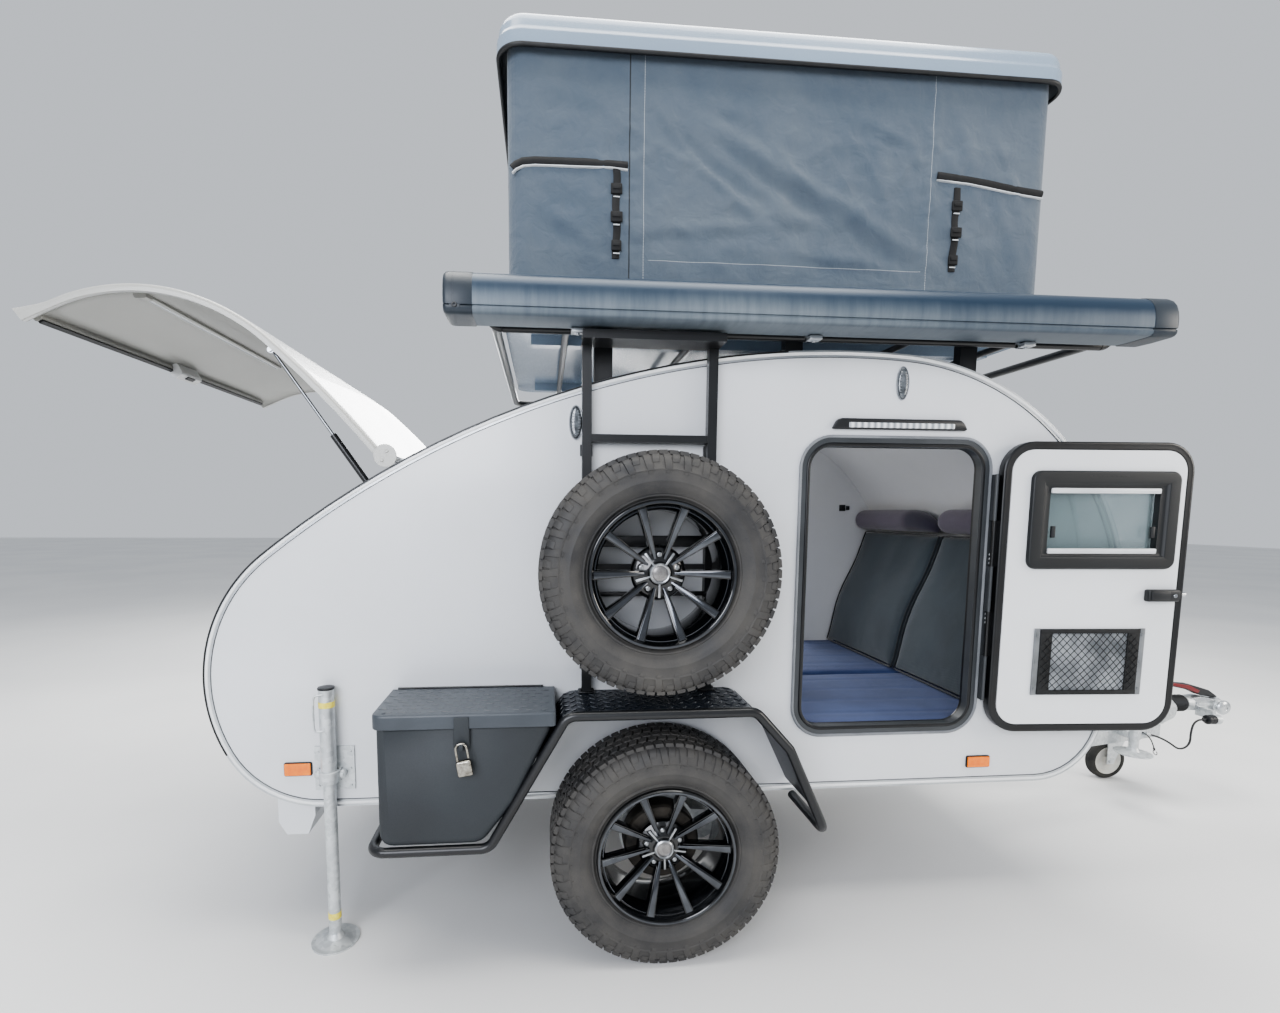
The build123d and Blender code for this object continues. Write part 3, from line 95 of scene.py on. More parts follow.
def surface(name, light, dark, patch_mm, grain_mm, rough, bump_mm=0.05, metallic=0.0, rough_spread=0.08,
            stretch=(1, 1, 1), coat=0.0):
    """A finish with slow colour drift over patches and a fine grain in its gloss and relief."""
    material, tree, shader, place = new_material(name)
    laid = node(tree, "Mapping", {"Vector": place, "Scale": stretch})
    patches = node(tree, "TexNoise", {"Vector": place, "Scale": 1000 / patch_mm, "Detail": 4.0})
    share = node(tree, "MapRange", {"Value": patches, "From Min": 0.35, "From Max": 0.68})
    tone = node(tree, "MixRGB", {"Fac": share, "Color1": linear(light), "Color2": linear(dark)})
    grain = node(tree, "TexNoise", {"Vector": laid, "Scale": 1000 / grain_mm, "Detail": 3.0})
    gloss = node(tree, "MapRange", {"Value": grain, "From Min": 0.3, "From Max": 0.7,
                                    "To Min": rough - rough_spread, "To Max": rough + rough_spread})
    relief = node(tree, "Bump", {"Height": grain, "Distance": bump_mm / 1000, "Strength": 0.6})
    feed(shader, {"Base Color": tone, "Roughness": gloss, "Normal": relief, "Metallic": metallic,
                  "Coat Weight": coat, "Coat Roughness": 0.08})
    return material


def paint_node(name, material):
    """Give a carried-over CAD piece its finish."""
    slots = NODES[name].data.materials
    slots.clear()
    slots.append(material)


MIRROR = Matrix.Diagonal((1, -1, 1, 1))
PHOTO_WIDE, PHOTO_HIGH = 1280, 1013
FOCAL_PX = 613
OPTICAL_CENTRE_PX = (600, 573)
SENSOR_MM = 36
CAMERA_PLACE = (-3.431, -2.791, 0.977)
CAMERA_YAW = radians(5.12)
CAMERA_PITCH = radians(-5.73)
CAMERA_ROLL = radians(0.28)
forward = Vector((sin(CAMERA_YAW) * cos(CAMERA_PITCH), cos(CAMERA_YAW) * cos(CAMERA_PITCH),
                  sin(CAMERA_PITCH)))
right = Vector((cos(CAMERA_YAW), -sin(CAMERA_YAW), 0))
upward = right.cross(forward)
rolled_right = cos(CAMERA_ROLL) * right + sin(CAMERA_ROLL) * upward
rolled_up = cos(CAMERA_ROLL) * upward - sin(CAMERA_ROLL) * right
camera_data = bpy.data.cameras.new("photo_view")
camera_data.sensor_width = SENSOR_MM
camera_data.lens = FOCAL_PX / PHOTO_WIDE * SENSOR_MM
camera_data.shift_x = (PHOTO_WIDE / 2 - OPTICAL_CENTRE_PX[0]) / PHOTO_WIDE
camera_data.shift_y = (OPTICAL_CENTRE_PX[1] - PHOTO_HIGH / 2) / PHOTO_WIDE
camera_data.clip_start = 0.05
camera_data.clip_end = 200
camera = bpy.data.objects.new("photo_view", camera_data)
bpy.context.scene.collection.objects.link(camera)
turn = Matrix((rolled_right, rolled_up, -forward)).transposed().to_4x4()
camera.matrix_world = Matrix.Translation(CAMERA_PLACE) @ turn
bpy.context.scene.camera = camera

GROUND = -0.445
bpy.ops.object.select_all(action="DESELECT")
bpy.ops.mesh.primitive_plane_add(size=60, location=(-2.5, 0, GROUND - 0.0005))
floor = bpy.context.object
floor.name = "studio_floor"
floor.data.materials.append(surface("studio_floor_vinyl", "DCDCDB", "D3D3D3", 1800, 4, 0.62, 0.02))
sky = bpy.data.worlds.new("studio_air")
sky.use_nodes = True
feed(sky.node_tree.nodes["Background"], {"Color": linear("E6EBF2"), "Strength": 0.72})
bpy.context.scene.world = sky
bpy.context.scene.view_settings.look = "AgX - Medium High Contrast"
SOFTBOXES = [  # name, place, aimed at, width, height, watts, colour
    ("softbox_top", (-2.9, -0.3, 6.2), (-2.9, 0.0, 0.6), 6.0, 5.0, 620, "FFFDF8"),
    ("softbox_front", (-5.6, -6.0, 2.8), (-2.9, 0.0, 0.5), 4.0, 3.0, 330, "F4F7FF"),
    ("softbox_nose", (3.4, -3.6, 2.6), (-1.6, 0.0, 0.6), 2.6, 2.6, 190, "FFF8EE"),
    ("cabin_bounce", (-3.35, 0.1, 1.12), (-1.6, 0.0, 0.75), 0.9, 0.5, 7, "FFFBF4"),
    ("softbox_back", (-3.0, 6.0, 3.4), (-2.9, 0.0, 0.8), 5.0, 2.6, 420, "FFFFFF"),
]
for name, place, aim, width, height, watts, colour in SOFTBOXES:
    lamp = bpy.data.lights.new(name, "AREA")
    lamp.shape = "RECTANGLE"
    lamp.size = width
    lamp.size_y = height
    lamp.energy = watts
    lamp.color = linear(colour)[:3]
    stand = bpy.data.objects.new(name, lamp)
    stand.location = place
    stand.rotation_euler = (Vector(aim) - Vector(place)).to_track_quat("-Z", "Y").to_euler()
    bpy.context.scene.collection.objects.link(stand)

# Plug lead and breakaway cable: a rubber-sheathed lead hangs in a narrow loop from its gland on
# the drawbar to the parked plug, and a thin plastic-coated wire falls to its clip.
LEAD_LINE = [(2601, -106, 338), (2636, -108, 329), (2673, -111, 314), (2712, -114, 292), (2745, -116, 268),
             (2766, -117, 263), (2788, -118, 268), (2805, -118, 281), (2816, -117, 301), (2817, -115, 337),
             (2825, -112, 370), (2835, -109, 386), (2849, -107, 398), (2867, -106, 405), (2884, -106, 405)]
CABLE_LINE = [(2560, -106, 352), (2572, -118, 344), (2588, -124, 326), (2602, -126, 302), (2612, -126, 276)]


def hung_cord(name, line, diameter):
    """A smooth round cord along its route's points in millimetres; the diameter is in metres."""
    curve = bpy.data.curves.new(name, "CURVE")
    curve.dimensions = "3D"
    curve.bevel_depth = diameter / 2
    curve.bevel_resolution = 4
    curve.use_fill_caps = True
    spline = curve.splines.new("NURBS")
    spline.points.add(len(line) - 1)
    for point, place in zip(spline.points, line):
        point.co = (*spot(*place), 1)
    spline.order_u = 3
    spline.use_endpoint_u = True
    spline.resolution_u = 12
    piece = bpy.data.objects.new(name, curve)
    bpy.context.scene.collection.objects.link(piece)
    return piece


def finished(piece, finish):
    """Give a part its finish."""
    piece.data.materials.clear()
    piece.data.materials.append(finish)
    return piece


def start_mesh(name):
    """A new mesh of one point at the origin, open in edit mode with the point selected."""
    bpy.ops.object.select_all(action="DESELECT")
    bpy.ops.mesh.primitive_plane_add(size=0.01)
    bpy.context.object.name = name
    bpy.ops.object.mode_set(mode="EDIT")
    bpy.ops.mesh.select_all(action="SELECT")
    bpy.ops.mesh.merge(type="CENTER")
    return bpy.context.object


def draw_line(start, points):
    """Move the selected point to the start and extrude it through the points."""
    bpy.ops.transform.translate(value=start)
    last = Vector(start)
    for point in points:
        bpy.ops.mesh.extrude_region_move(TRANSFORM_OT_translate={"value": Vector(point) - last})
        last = Vector(point)


def turned(name, profile, centre, axis, steps=48, angle=2 * pi):
    """A piece turned on a lathe: profile of (radius, run) in millimetres about an axis through a place."""
    along = Vector(axis).normalized()
    side = along.orthogonal().normalized()
    places = [centre + (side * radius + along * run) / 1000 for radius, run in profile]
    piece = start_mesh(name)
    draw_line(places[0], places[1:])
    bpy.ops.mesh.select_all(action="SELECT")
    bpy.ops.mesh.spin(steps=steps, angle=angle, center=centre, axis=along)
    bpy.ops.mesh.select_all(action="SELECT")
    bpy.ops.mesh.remove_doubles(threshold=0.00002)
    bpy.ops.mesh.normals_make_consistent(inside=False)
    bpy.ops.object.mode_set(mode="OBJECT")
    return settle(piece)


def settle(piece, smooth=32):
    """Put a finished piece's place into its mesh and shade it."""
    bpy.ops.object.select_all(action="DESELECT")
    piece.select_set(True)
    bpy.context.view_layer.objects.active = piece
    bpy.ops.object.transform_apply(location=True, rotation=True, scale=True)
    bpy.ops.object.shade_smooth_by_angle(angle=radians(smooth))
    return piece


def block(name, low, high, edge=0.0, segments=3):
    """A block between two corners in millimetres, its edges rounded."""
    a, b = spot(*low), spot(*high)
    bpy.ops.object.select_all(action="DESELECT")
    bpy.ops.mesh.primitive_cube_add(size=1, location=(a + b) / 2, scale=[abs(v) for v in b - a])
    piece = bpy.context.object
    piece.name = name
    bpy.ops.object.transform_apply(location=True, rotation=True, scale=True)
    if edge:
        bpy.ops.object.mode_set(mode="EDIT")
        bpy.ops.mesh.select_all(action="SELECT")
        bpy.ops.mesh.bevel(offset=edge / 1000, segments=segments, affect="EDGES")
        bpy.ops.object.mode_set(mode="OBJECT")
    return settle(piece)


def stick(name, start, end, radius, steps=20, taper=1.0):
    """A round bar between two places in millimetres, its ends softened."""
    a, b = spot(*start), spot(*end)
    length = (b - a).length * 1000
    soft = min(radius, radius * taper, length / 2) * 0.25
    profile = [(0, 0), (radius - soft, 0), (radius, soft), (radius * taper, length - soft),
               (radius * taper - soft, length), (0, length)]
    return turned(name, profile, a, b - a, steps)


def joined(name, parts):
    """Several parts of one piece made a single mesh."""
    bpy.ops.object.select_all(action="DESELECT")
    for part in parts:
        part.select_set(True)
    bpy.context.view_layer.objects.active = parts[0]
    if len(parts) > 1:
        bpy.ops.object.join()
    bpy.context.object.name = name
    return bpy.context.object


def fit(piece, body, finish=None, instead=()):
    """Give a piece its finish, body, slot and the CAD nodes that it stands for."""
    if finish:
        finished(piece, finish)
    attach(piece, body)
    if instead:
        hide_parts(*instead)
    return piece


def cord_mesh(name, line, diameter):
    """A bent round rod: a cord turned into a mesh that can be joined to other parts."""
    piece = hung_cord(name, line, diameter)
    bpy.ops.object.select_all(action="DESELECT")
    piece.select_set(True)
    bpy.context.view_layer.objects.active = piece
    bpy.ops.object.convert(target="MESH")
    return piece


# Moulded PVC and rubber: nearly black, a little dusty, with a dull sheen
cord_rubber = surface("lead_sheath_rubber", "1B1C1E", "27282A", 60, 1.2, 0.55, 0.05)
black_abs = surface("moulded_black_abs", "15171A", "1E2023", 90, 0.9, 0.42, 0.06)
wire_black = surface("coated_wire_black", "1A1B1C", "2A2B2C", 30, 0.8, 0.4, 0.05)
LEAD_THICK, CABLE_THICK = 0.009, 0.005
plug_lead = finished(hung_cord("visual_plug_lead", LEAD_LINE, LEAD_THICK), cord_rubber)
breakaway = finished(hung_cord("visual_breakaway_cable", CABLE_LINE, CABLE_THICK), wire_black)

# Plug: ribbed grip behind a wide shell; clip: a bent wire hook in a moulded sleeve
plug_end = spot(*LEAD_LINE[-1])
plug_profile = [(0, 0), (6, 0), (8.5, 3), (8.5, 7), (7.4, 8), (7.4, 10), (9, 11), (9, 14), (8, 15), (8, 18),
                (18, 20), (22.4, 24), (22.4, 36), (21.2, 37), (21.2, 39), (22.4, 40), (22.4, 66),
                (23.5, 68), (23.5, 79), (21, 80), (0, 80)]
plug = turned("lead_plug", plug_profile, plug_end, (1, 0, 0), 40)
GRIP_RIBS, GRIP_RADIUS, GRIP_LONG = 12, 22.2, Vector((40, 0, 0))
grips = []
for step in range(GRIP_RIBS):
    turn_by = step * 2 * pi / GRIP_RIBS
    low = Vector((2909, -106 + GRIP_RADIUS * cos(turn_by), 405 + GRIP_RADIUS * sin(turn_by)))
    grips.append(stick("grip", low, low + GRIP_LONG, 0.7, 6))
plug = fit(joined("lead_plug", [plug] + grips), "trailer", black_abs, ["cord_ends"])
clip_from = Vector(CABLE_LINE[-1])
clip_run = (clip_from - Vector(CABLE_LINE[-2])).normalized()
sleeve = stick("clip", clip_from, clip_from + clip_run * 14, 4.6, 16, 0.8)
hook_side = Vector((0.7, -0.7, 0))
hook_line = [clip_from + clip_run * along + hook_side * across for along, across in
             ((10, 0), (17, -7), (30, -7), (38, -2), (38, 3), (30, 7), (19, 6))]
hook = cord_mesh("clip_hook", hook_line, 0.0032)
clip = fit(joined("breakaway_clip", [sleeve, hook]), "trailer", black_abs)
for piece, old in ((plug_lead, "plug_lead"), (breakaway, "breakaway_cable")):
    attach(piece, "trailer")
    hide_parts(old)

# All-terrain tyres, two on the road and one spare: a moulded radial carcass with five rows of
# cut tread blocks and shoulder lugs that lap over the sidewall. Dusty brown-grey from use.
WHEELS = [("road_right", (0, -918, 360.5), -1, "wheel_right", "right"),
          ("road_left", (0, 918, 360.5), 1, "wheel_left", "left"),
          ("spare", (-32, -948, 1239), -1, "trailer", "spare")]
TREAD_PAIRS = 36
TREAD_STEP = 2 * pi / TREAD_PAIRS
TREAD_RADIUS = 353
BLOCK_FOOT, BLOCK_TOP, BLOCK_EDGE = 0.347, 0.360, 0.0012
SPOKES, BOLTS, BOLT_CIRCLE = 10, 5, 0.056
ORIGIN, AXLE_WAY, UP_WAY = Vector((0, 0, 0)), (0, 1, 0), (0, 0, 1)
TREAD_ROWS = [  # across the tread: middle, width, length round the wheel, stagger in pairs, skew in degrees
    (0, 32, 27, 0.0, 14), (-38, 34, 26, 0.22, -18), (38, 34, 26, 0.28, -18),
    (-77, 34, 26.5, 0.05, 6), (77, 34, 26.5, 0.45, 6)]
CARCASS = [(205, 95.7), (222, 97), (226, 100), (229, 104), (233, 104.5), (236, 101.5), (242, 104),
           (250, 110), (262, 114.6), (268, 115.6), (270, 116.8), (273, 116.8), (275, 115.9), (290, 116.6),
           (300, 116), (302, 117.2), (305, 117.2), (307, 115.4), (320, 112), (334, 105.5), (344, 96),
           (349.5, 84), (351, 60), (351.6, 0)]


def pick_all(piece):
    """Open a piece in edit mode with everything selected."""
    bpy.ops.object.select_all(action="DESELECT")
    piece.select_set(True)
    bpy.context.view_layer.objects.active = piece
    bpy.ops.object.mode_set(mode="EDIT")
    bpy.ops.mesh.select_all(action="SELECT")


def wheel_block(name, across, width, along, low, high, edge, skew, taper=0.84):
    """A block in metres at the top of a wheel at the origin, wider at its foot."""
    bpy.ops.object.select_all(action="DESELECT")
    bpy.ops.mesh.primitive_cube_add(size=1)
    piece = bpy.context.object
    piece.name = name
    piece.data.transform(Matrix.Diagonal((along, width, high - low, 1)))
    for vertex in piece.data.vertices:
        if vertex.co.z > 0:
            vertex.co.x *= taper
            vertex.co.y *= taper
        vertex.co.x += vertex.co.y * tan(radians(skew))
    pick_all(piece)
    bpy.ops.mesh.bevel(offset=edge, segments=1, affect="EDGES")
    bpy.ops.object.mode_set(mode="OBJECT")
    piece.data.transform(Matrix.Translation((0, across, (low + high) / 2)))
    return piece


def lofted(name, rings, cap_first=False, cap_last=False, smooth=40):
    """A skin drawn through closed rings of places in millimetres, all with the same count."""
    bpy.ops.object.select_all(action="DESELECT")
    bpy.ops.mesh.primitive_circle_add(vertices=len(rings[0]))
    piece = bpy.context.object
    piece.name = name
    for vertex, place in zip(piece.data.vertices, rings[0]):
        vertex.co = spot(*place)
    pick_all(piece)
    if cap_first:
        bpy.ops.mesh.edge_face_add()
        bpy.ops.mesh.select_mode(type="EDGE")
    for before, after in zip(rings, rings[1:]):
        mesh = bmesh.from_edit_mesh(piece.data)
        if cap_first and before is rings[0]:
            bpy.ops.mesh.select_all(action="SELECT")
            bmesh.ops.delete(mesh, geom=list(mesh.faces), context="FACES_ONLY")
        bpy.ops.mesh.extrude_edges_indiv()
        mesh = bmesh.from_edit_mesh(piece.data)
        where = {tuple(round(v, 6) for v in spot(*place)): spot(*target)
                 for place, target in zip(before, after)}
        for vertex in mesh.verts:
            if vertex.select:
                vertex.co = where[tuple(round(v, 6) for v in vertex.co)]
        bmesh.update_edit_mesh(piece.data)
    if cap_last:
        bpy.ops.mesh.edge_face_add()
    bpy.ops.mesh.select_mode(type="VERT")
    if cap_first:
        bpy.ops.mesh.select_all(action="DESELECT")
        mesh = bmesh.from_edit_mesh(piece.data)
        mesh.verts.ensure_lookup_table()
        for vertex in mesh.verts[:len(rings[0])]:
            vertex.select = True
        mesh.select_flush(True)
        bpy.ops.mesh.edge_face_add()
    bpy.ops.mesh.select_all(action="SELECT")
    bpy.ops.mesh.normals_make_consistent(inside=False)
    bpy.ops.object.mode_set(mode="OBJECT")
    return settle(piece, smooth)


def copied(piece, name, matrix):
    """A copy with its own mesh, moved by a matrix; a mirrored one has its faces turned back."""
    twin = bpy.data.objects.new(name, piece.data.copy())
    bpy.context.scene.collection.objects.link(twin)
    twin.data.transform(matrix)
    if matrix.to_3x3().determinant() < 0:
        twin.data.flip_normals()
    return twin


def round_wheel(parts, count, name):
    """Repeat the joined parts round the wheel's axle."""
    piece = joined(name, parts)
    pick_all(piece)
    bpy.ops.mesh.spin(steps=count - 1, dupli=True, angle=2 * pi * (count - 1) / count, center=ORIGIN,
                      axis=AXLE_WAY)
    bpy.ops.object.mode_set(mode="OBJECT")
    return piece


# Tread rubber: black stock under grey road dust in drifting patches, with fine scuffing
tyre_rubber, tree, shader, place = new_material("dusty_tread_rubber")
drift = node(tree, "TexNoise", {"Vector": place, "Scale": 7.0, "Detail": 5.0, "Roughness": 0.6})
scuff = node(tree, "TexNoise", {"Vector": place, "Scale": 420.0, "Detail": 3.0})
fine = node(tree, "Math", {0: scuff, 1: 0.35}, operation="MULTIPLY")
mixed = node(tree, "Math", {0: drift, 1: fine}, operation="ADD")
dust = node(tree, "MapRange", {"Value": mixed, "From Min": 0.50, "From Max": 0.86})
tone = node(tree, "MixRGB", {"Fac": dust, "Color1": linear("2B2B2C"), "Color2": linear("4B4946")})
feed(shader, {"Base Color": tone,
              "Roughness": node(tree, "MapRange", {"Value": dust, "To Min": 0.52, "To Max": 0.8}),
              "Normal": node(tree, "Bump", {"Height": scuff, "Distance": 0.0002, "Strength": 0.5})})


def shoulder_lug(profile, along, lean, rise):
    """A lug lapping the shoulder at the wheel's top: its profile in (radius, run), length and lean."""
    rings = []
    for share in (-0.5, -0.42, 0.42, 0.5):
        lift = rise if abs(share) < 0.5 else rise - 3
        outer, inner = [], []
        for index, (radius, run) in enumerate(profile):
            near = Vector(profile[max(0, index - 1)])
            far = Vector(profile[min(len(profile) - 1, index + 1)])
            out = Vector((-(far - near).y, (far - near).x)).normalized()
            lower = lift if index else lift - 2.5
            shift = share * along + (TREAD_RADIUS - radius) * tan(radians(lean))
            outer.append((shift, run + out.y * lower, radius + out.x * lower))
            inner.append((shift, run - out.y * 4, radius - out.x * 4))
        rings.append(outer + inner[::-1])
    lug = lofted("shoulder_lug", rings, True, True, 30)
    lug.data.transform(Matrix.Translation(-spot(0, 0, 0)))
    return lug


carcass_line = CARCASS + [(radius, -run) for radius, run in reversed(CARCASS[:-1])]
carcass_line += [(205, -84), (258, -104), (330, -74), (336, 0), (330, 74), (258, 104), (205, 84),
                 CARCASS[0]]
carcass = turned("tyre_carcass", carcass_line, ORIGIN, AXLE_WAY, 112)
blocks = []
for middle, width, along, stagger, skew in TREAD_ROWS:
    block_piece = wheel_block("tread_block", middle / 1000, width / 1000, along / 1000, BLOCK_FOOT,
                              BLOCK_TOP, BLOCK_EDGE, skew, 0.92)
    block_piece.data.transform(Matrix.Rotation(stagger * TREAD_STEP, 4, "Y"))
    second = copied(block_piece, "tread_block", Matrix.Rotation(TREAD_STEP / 2, 4, "Y"))
    blocks += [block_piece, second]
LUG_LONG = [(301, 116), (312, 114.5), (323, 110.8), (334, 104.8), (343, 96.5), (350, 84), (353, 72)]
LUG_SHORT = [(324, 110.4), (331, 106.8), (338, 101.6), (343, 96.5), (348, 88), (352, 78), (353, 72)]
SIDE_RIB = [(288, 116.6), (294, 116.4), (299, 116.2)]
LUGS = [  # profile, length round the wheel, stagger in pairs, lean in degrees, rise
    (LUG_LONG, 23, 0.1, 7, 3.4), (LUG_SHORT, 24, 0.6, -7, 3.4), (SIDE_RIB, 15, 0.6, -20, 1.6)]
for profile, along, stagger, lean, rise in LUGS:
    lug = shoulder_lug(profile, along, lean, rise)
    lug.data.transform(Matrix.Rotation(stagger * TREAD_STEP, 4, "Y"))
    twin = copied(lug, "shoulder_lug", Matrix.Rotation(0.2 * TREAD_STEP, 4, "Y") @ MIRROR)
    blocks += [lug, twin]
tread = settle(round_wheel(blocks, TREAD_PAIRS, "tyre_tread"), 40)
tyre_master = joined("tyre_master", [carcass, tread])

# Alloy rims: cast, painted gloss black and then machined, so the ten spokes' faces and two fine
# rings at the lip show bright metal. Five bolts sit in pockets round a plain ringed cap.
RIM_BARREL = [(205, 96), (219.5, 98), (220, 103), (219, 110), (216, 113.5), (211, 114.5), (207, 112),
              (204.5, 106), (201, 99), (198, 84), (190, 72), (187.5, 40), (186.5, -40), (196, -100),
              (206, -112), (220, -112), (220, -98), (205, -96), (203, -60), (194.7, -52), (194.7, 44),
              (204, 74), (205, 96)]
gloss_black = surface("rim_gloss_black_lacquer", "060709", "0B0D10", 120, 0.5, 0.16, 0.01, 0.0, 0.05,
                      coat=0.5)
smoked = surface("rim_smoked_lacquer_on_metal", "5A5D62", "45484D", 60, 0.8, 0.17, 0.01, 0.95, 0.05,
                 coat=0.4)
machined, tree, shader, place = new_material("rim_machined_aluminium")
rings = node(tree, "TexWave", {"Vector": place, "Scale": 420.0, "Distortion": 1.5, "Detail": 2.0},
             wave_type="RINGS", rings_direction="Y").outputs["Fac"]
tone = node(tree, "MixRGB", {"Fac": rings, "Color1": linear("8E9195"), "Color2": linear("BCBEC0")})
feed(shader, {"Base Color": tone,
              "Roughness": node(tree, "MapRange", {"Value": rings, "To Min": 0.24, "To Max": 0.36}),
              "Metallic": 1.0})
barrel = finished(turned("rim_barrel", RIM_BARREL, ORIGIN, AXLE_WAY, 96), gloss_black)
HUB_LINE = [(0, 15), (78, 15), (84, 24), (80, 34), (70, 41), (52, 46), (44, 52), (36, 53), (34, 50),
            (0, 50)]
hub = finished(turned("rim_hub", HUB_LINE, ORIGIN, AXLE_WAY, 60), gloss_black)
black_parts = [barrel, hub]
bright_parts = []


def spoke_bar(name, root, tip, root_half, tip_half, top, depth):
    """A tapering spoke on the X axis: radii, half widths, (height at root and tip), depth."""
    piece = wheel_block(name, 0, 1, 1, 0, 1, 0.0, 0, 1.0)
    for vertex in piece.data.vertices:
        outer = vertex.co.x > 0
        reach = tip if outer else root
        half = tip_half if outer else root_half
        crown = top[1] if outer else top[0]
        down = depth if vertex.co.z < 0.5 else 0
        side = 1 if vertex.co.y > 0 else -1
        spread = 1.0 if down == 0 else 1.12
        vertex.co = Vector((reach, crown - down, side * half * spread)) / 1000
    pick_all(piece)
    bpy.ops.mesh.normals_make_consistent(inside=False)
    bpy.ops.mesh.bevel(offset=0.0012, segments=2, affect="EDGES")
    bpy.ops.object.mode_set(mode="OBJECT")
    return settle(piece)


blade = spoke_bar("spoke_blade", 62, 203, 7.5, 13.5, (51, 101), 30)
blades = finished(settle(round_wheel([blade], SPOKES, "spoke_blades")), gloss_black)
face = spoke_bar("spoke_face", 44, 201, 3.4, 9.6, (52.5, 102.2), 2.4)
faces = finished(settle(round_wheel([face], SPOKES, "spoke_faces")), smoked)
for radius, run, width in ((211.5, 114.2, 2.6), (197.5, 91, 1.2)):
    near, far = radius - width, radius + width
    lip_line = [(near, run + 0.3), (near, run + 0.9), (far, run + 0.9), (far, run + 0.3), (near, run + 0.3)]
    bright_parts.append(finished(turned("lip_line", lip_line, ORIGIN, AXLE_WAY, 96), smoked))
POCKET_LINE = [(0, 30), (10, 30), (11, 44), (12.5, 47.5), (13.5, 47.5), (13.5, 30)]
BOLT_LINE = [(0, 48.5), (4.5, 48.5), (5.5, 47.5), (8, 46.5), (8.5, 45), (8.5, 31)]
for index in range(BOLTS):
    turn_by = radians(90 + 360 / BOLTS * index)
    middle = Vector((BOLT_CIRCLE * cos(turn_by), 0, BOLT_CIRCLE * sin(turn_by)))
    black_parts.append(finished(turned("bolt_pocket", POCKET_LINE, middle, AXLE_WAY, 24), gloss_black))
    bolt = turned("wheel_bolt", BOLT_LINE, middle, AXLE_WAY, 6)
    web = spoke_bar("hub_web", 30, 74, 2.6, 3.8, (54, 50), 6)
    web.data.transform(Matrix.Rotation(radians(-126 - 360 / BOLTS * index), 4, "Y"))
    bright_parts += [finished(bolt, machined), finished(web, machined)]
CAP_RING_LINE = [(25, 50), (30, 50), (32, 56), (31, 62), (27, 65), (24.5, 64), (23.5, 61), (23.5, 52)]
CAP_DISC_LINE = [(0, 62.5), (10, 62), (18, 60.8), (23.5, 59), (23.5, 52)]
cap_silver = surface("cap_silver_lacquer", "8F8D8C", "7B7978", 16, 0.4, 0.28, 0.01, 0.7)
bright_parts.append(finished(turned("cap_ring", CAP_RING_LINE, ORIGIN, AXLE_WAY, 48), machined))
cap_disc = finished(turned("cap_disc", CAP_DISC_LINE, ORIGIN, AXLE_WAY, 48), cap_silver)
rim_master = joined("rim_master", black_parts + [blades, faces] + bright_parts + [cap_disc])

brake_iron = surface("brake_cast_iron", "3A3937", "55504A", 40, 2.5, 0.6, 0.2, 0.8)
DRUM_LINE = [(0, -55), (112, -55), (122, -50), (122, 4), (116, 12), (98, 14.5), (60, 14.5), (0, 14.5)]
for name, place_mm, side, body, end in WHEELS:
    spare = name == "spare"
    put_on = Matrix.Translation(spot(*place_mm)) @ Matrix.Diagonal((1, side, 1, 1))
    turn_to = Matrix.Rotation(radians(0 if spare else -4), 4, "Y")
    tyre = copied(tyre_master, f"tyre_{name}", put_on @ turn_to)
    rim = copied(rim_master, f"rim_{name}", put_on @ turn_to)
    fit(tyre, body, tyre_rubber, [f"tyre_{end}"])
    fit(rim, body, None, [f"rim_{end}"])
    if not spare:
        drum = turned(f"brake_drum_{name}", DRUM_LINE, ORIGIN, AXLE_WAY, 60)
        drum.data.transform(put_on)
        if side < 0:
            drum.data.flip_normals()
        fit(drum, body, brake_iron)
for master in (tyre_master, rim_master):
    bpy.data.objects.remove(master)

# Roof tent: a moulded hard lid on four arms over a tray, joined by a coated canvas wall that is
# clamped to a frame at each end. The wall creases where it was folded and puckers at its seams.
TENT_X = (-490, 1430)
TENT_HALF_Y = 625
TENT_CORNER = 60
TENT_MIDDLE_X = 470
EDGE_FADE = 90
GLUE_LINE = 1.5
CANVAS_Z = (2158.3, 2939.7)
SEAMS = (-73, 979)
SEAM_BANDS = ((-86, -28), (960, 1002))
FOLDS = [  # start and end on a long wall as (x, height), depth, half width
    ((145, 2743), (954, 2326), 15, 32), ((39, 2749), (480, 2461), 10, 28), ((-8, 2376), (481, 2416), 7, 22),
    ((485, 2320), (856, 2282), 7, 20), ((723, 2776), (919, 2686), 8, 24), ((329, 2888), (938, 2839), 6, 20),
    ((259, 2476), (621, 2416), 6, 24), ((197, 2795), (319, 2753), 6, 18),
    ((-463, 2849), (-196, 2771), 6, 24),
    ((-430, 2470), (-210, 2330), 6, 26), ((1060, 2860), (1130, 2640), 5, 22),
    ((1240, 2520), (1330, 2300), 6, 24)]
CREASE_SETS = [  # lean in radians, seed, depth
    (0.62, 2.0, 7.0), (-0.8, 9.0, 5.0), (0.15, 5.0, 5.0), (1.05, 14.0, 6.0)]


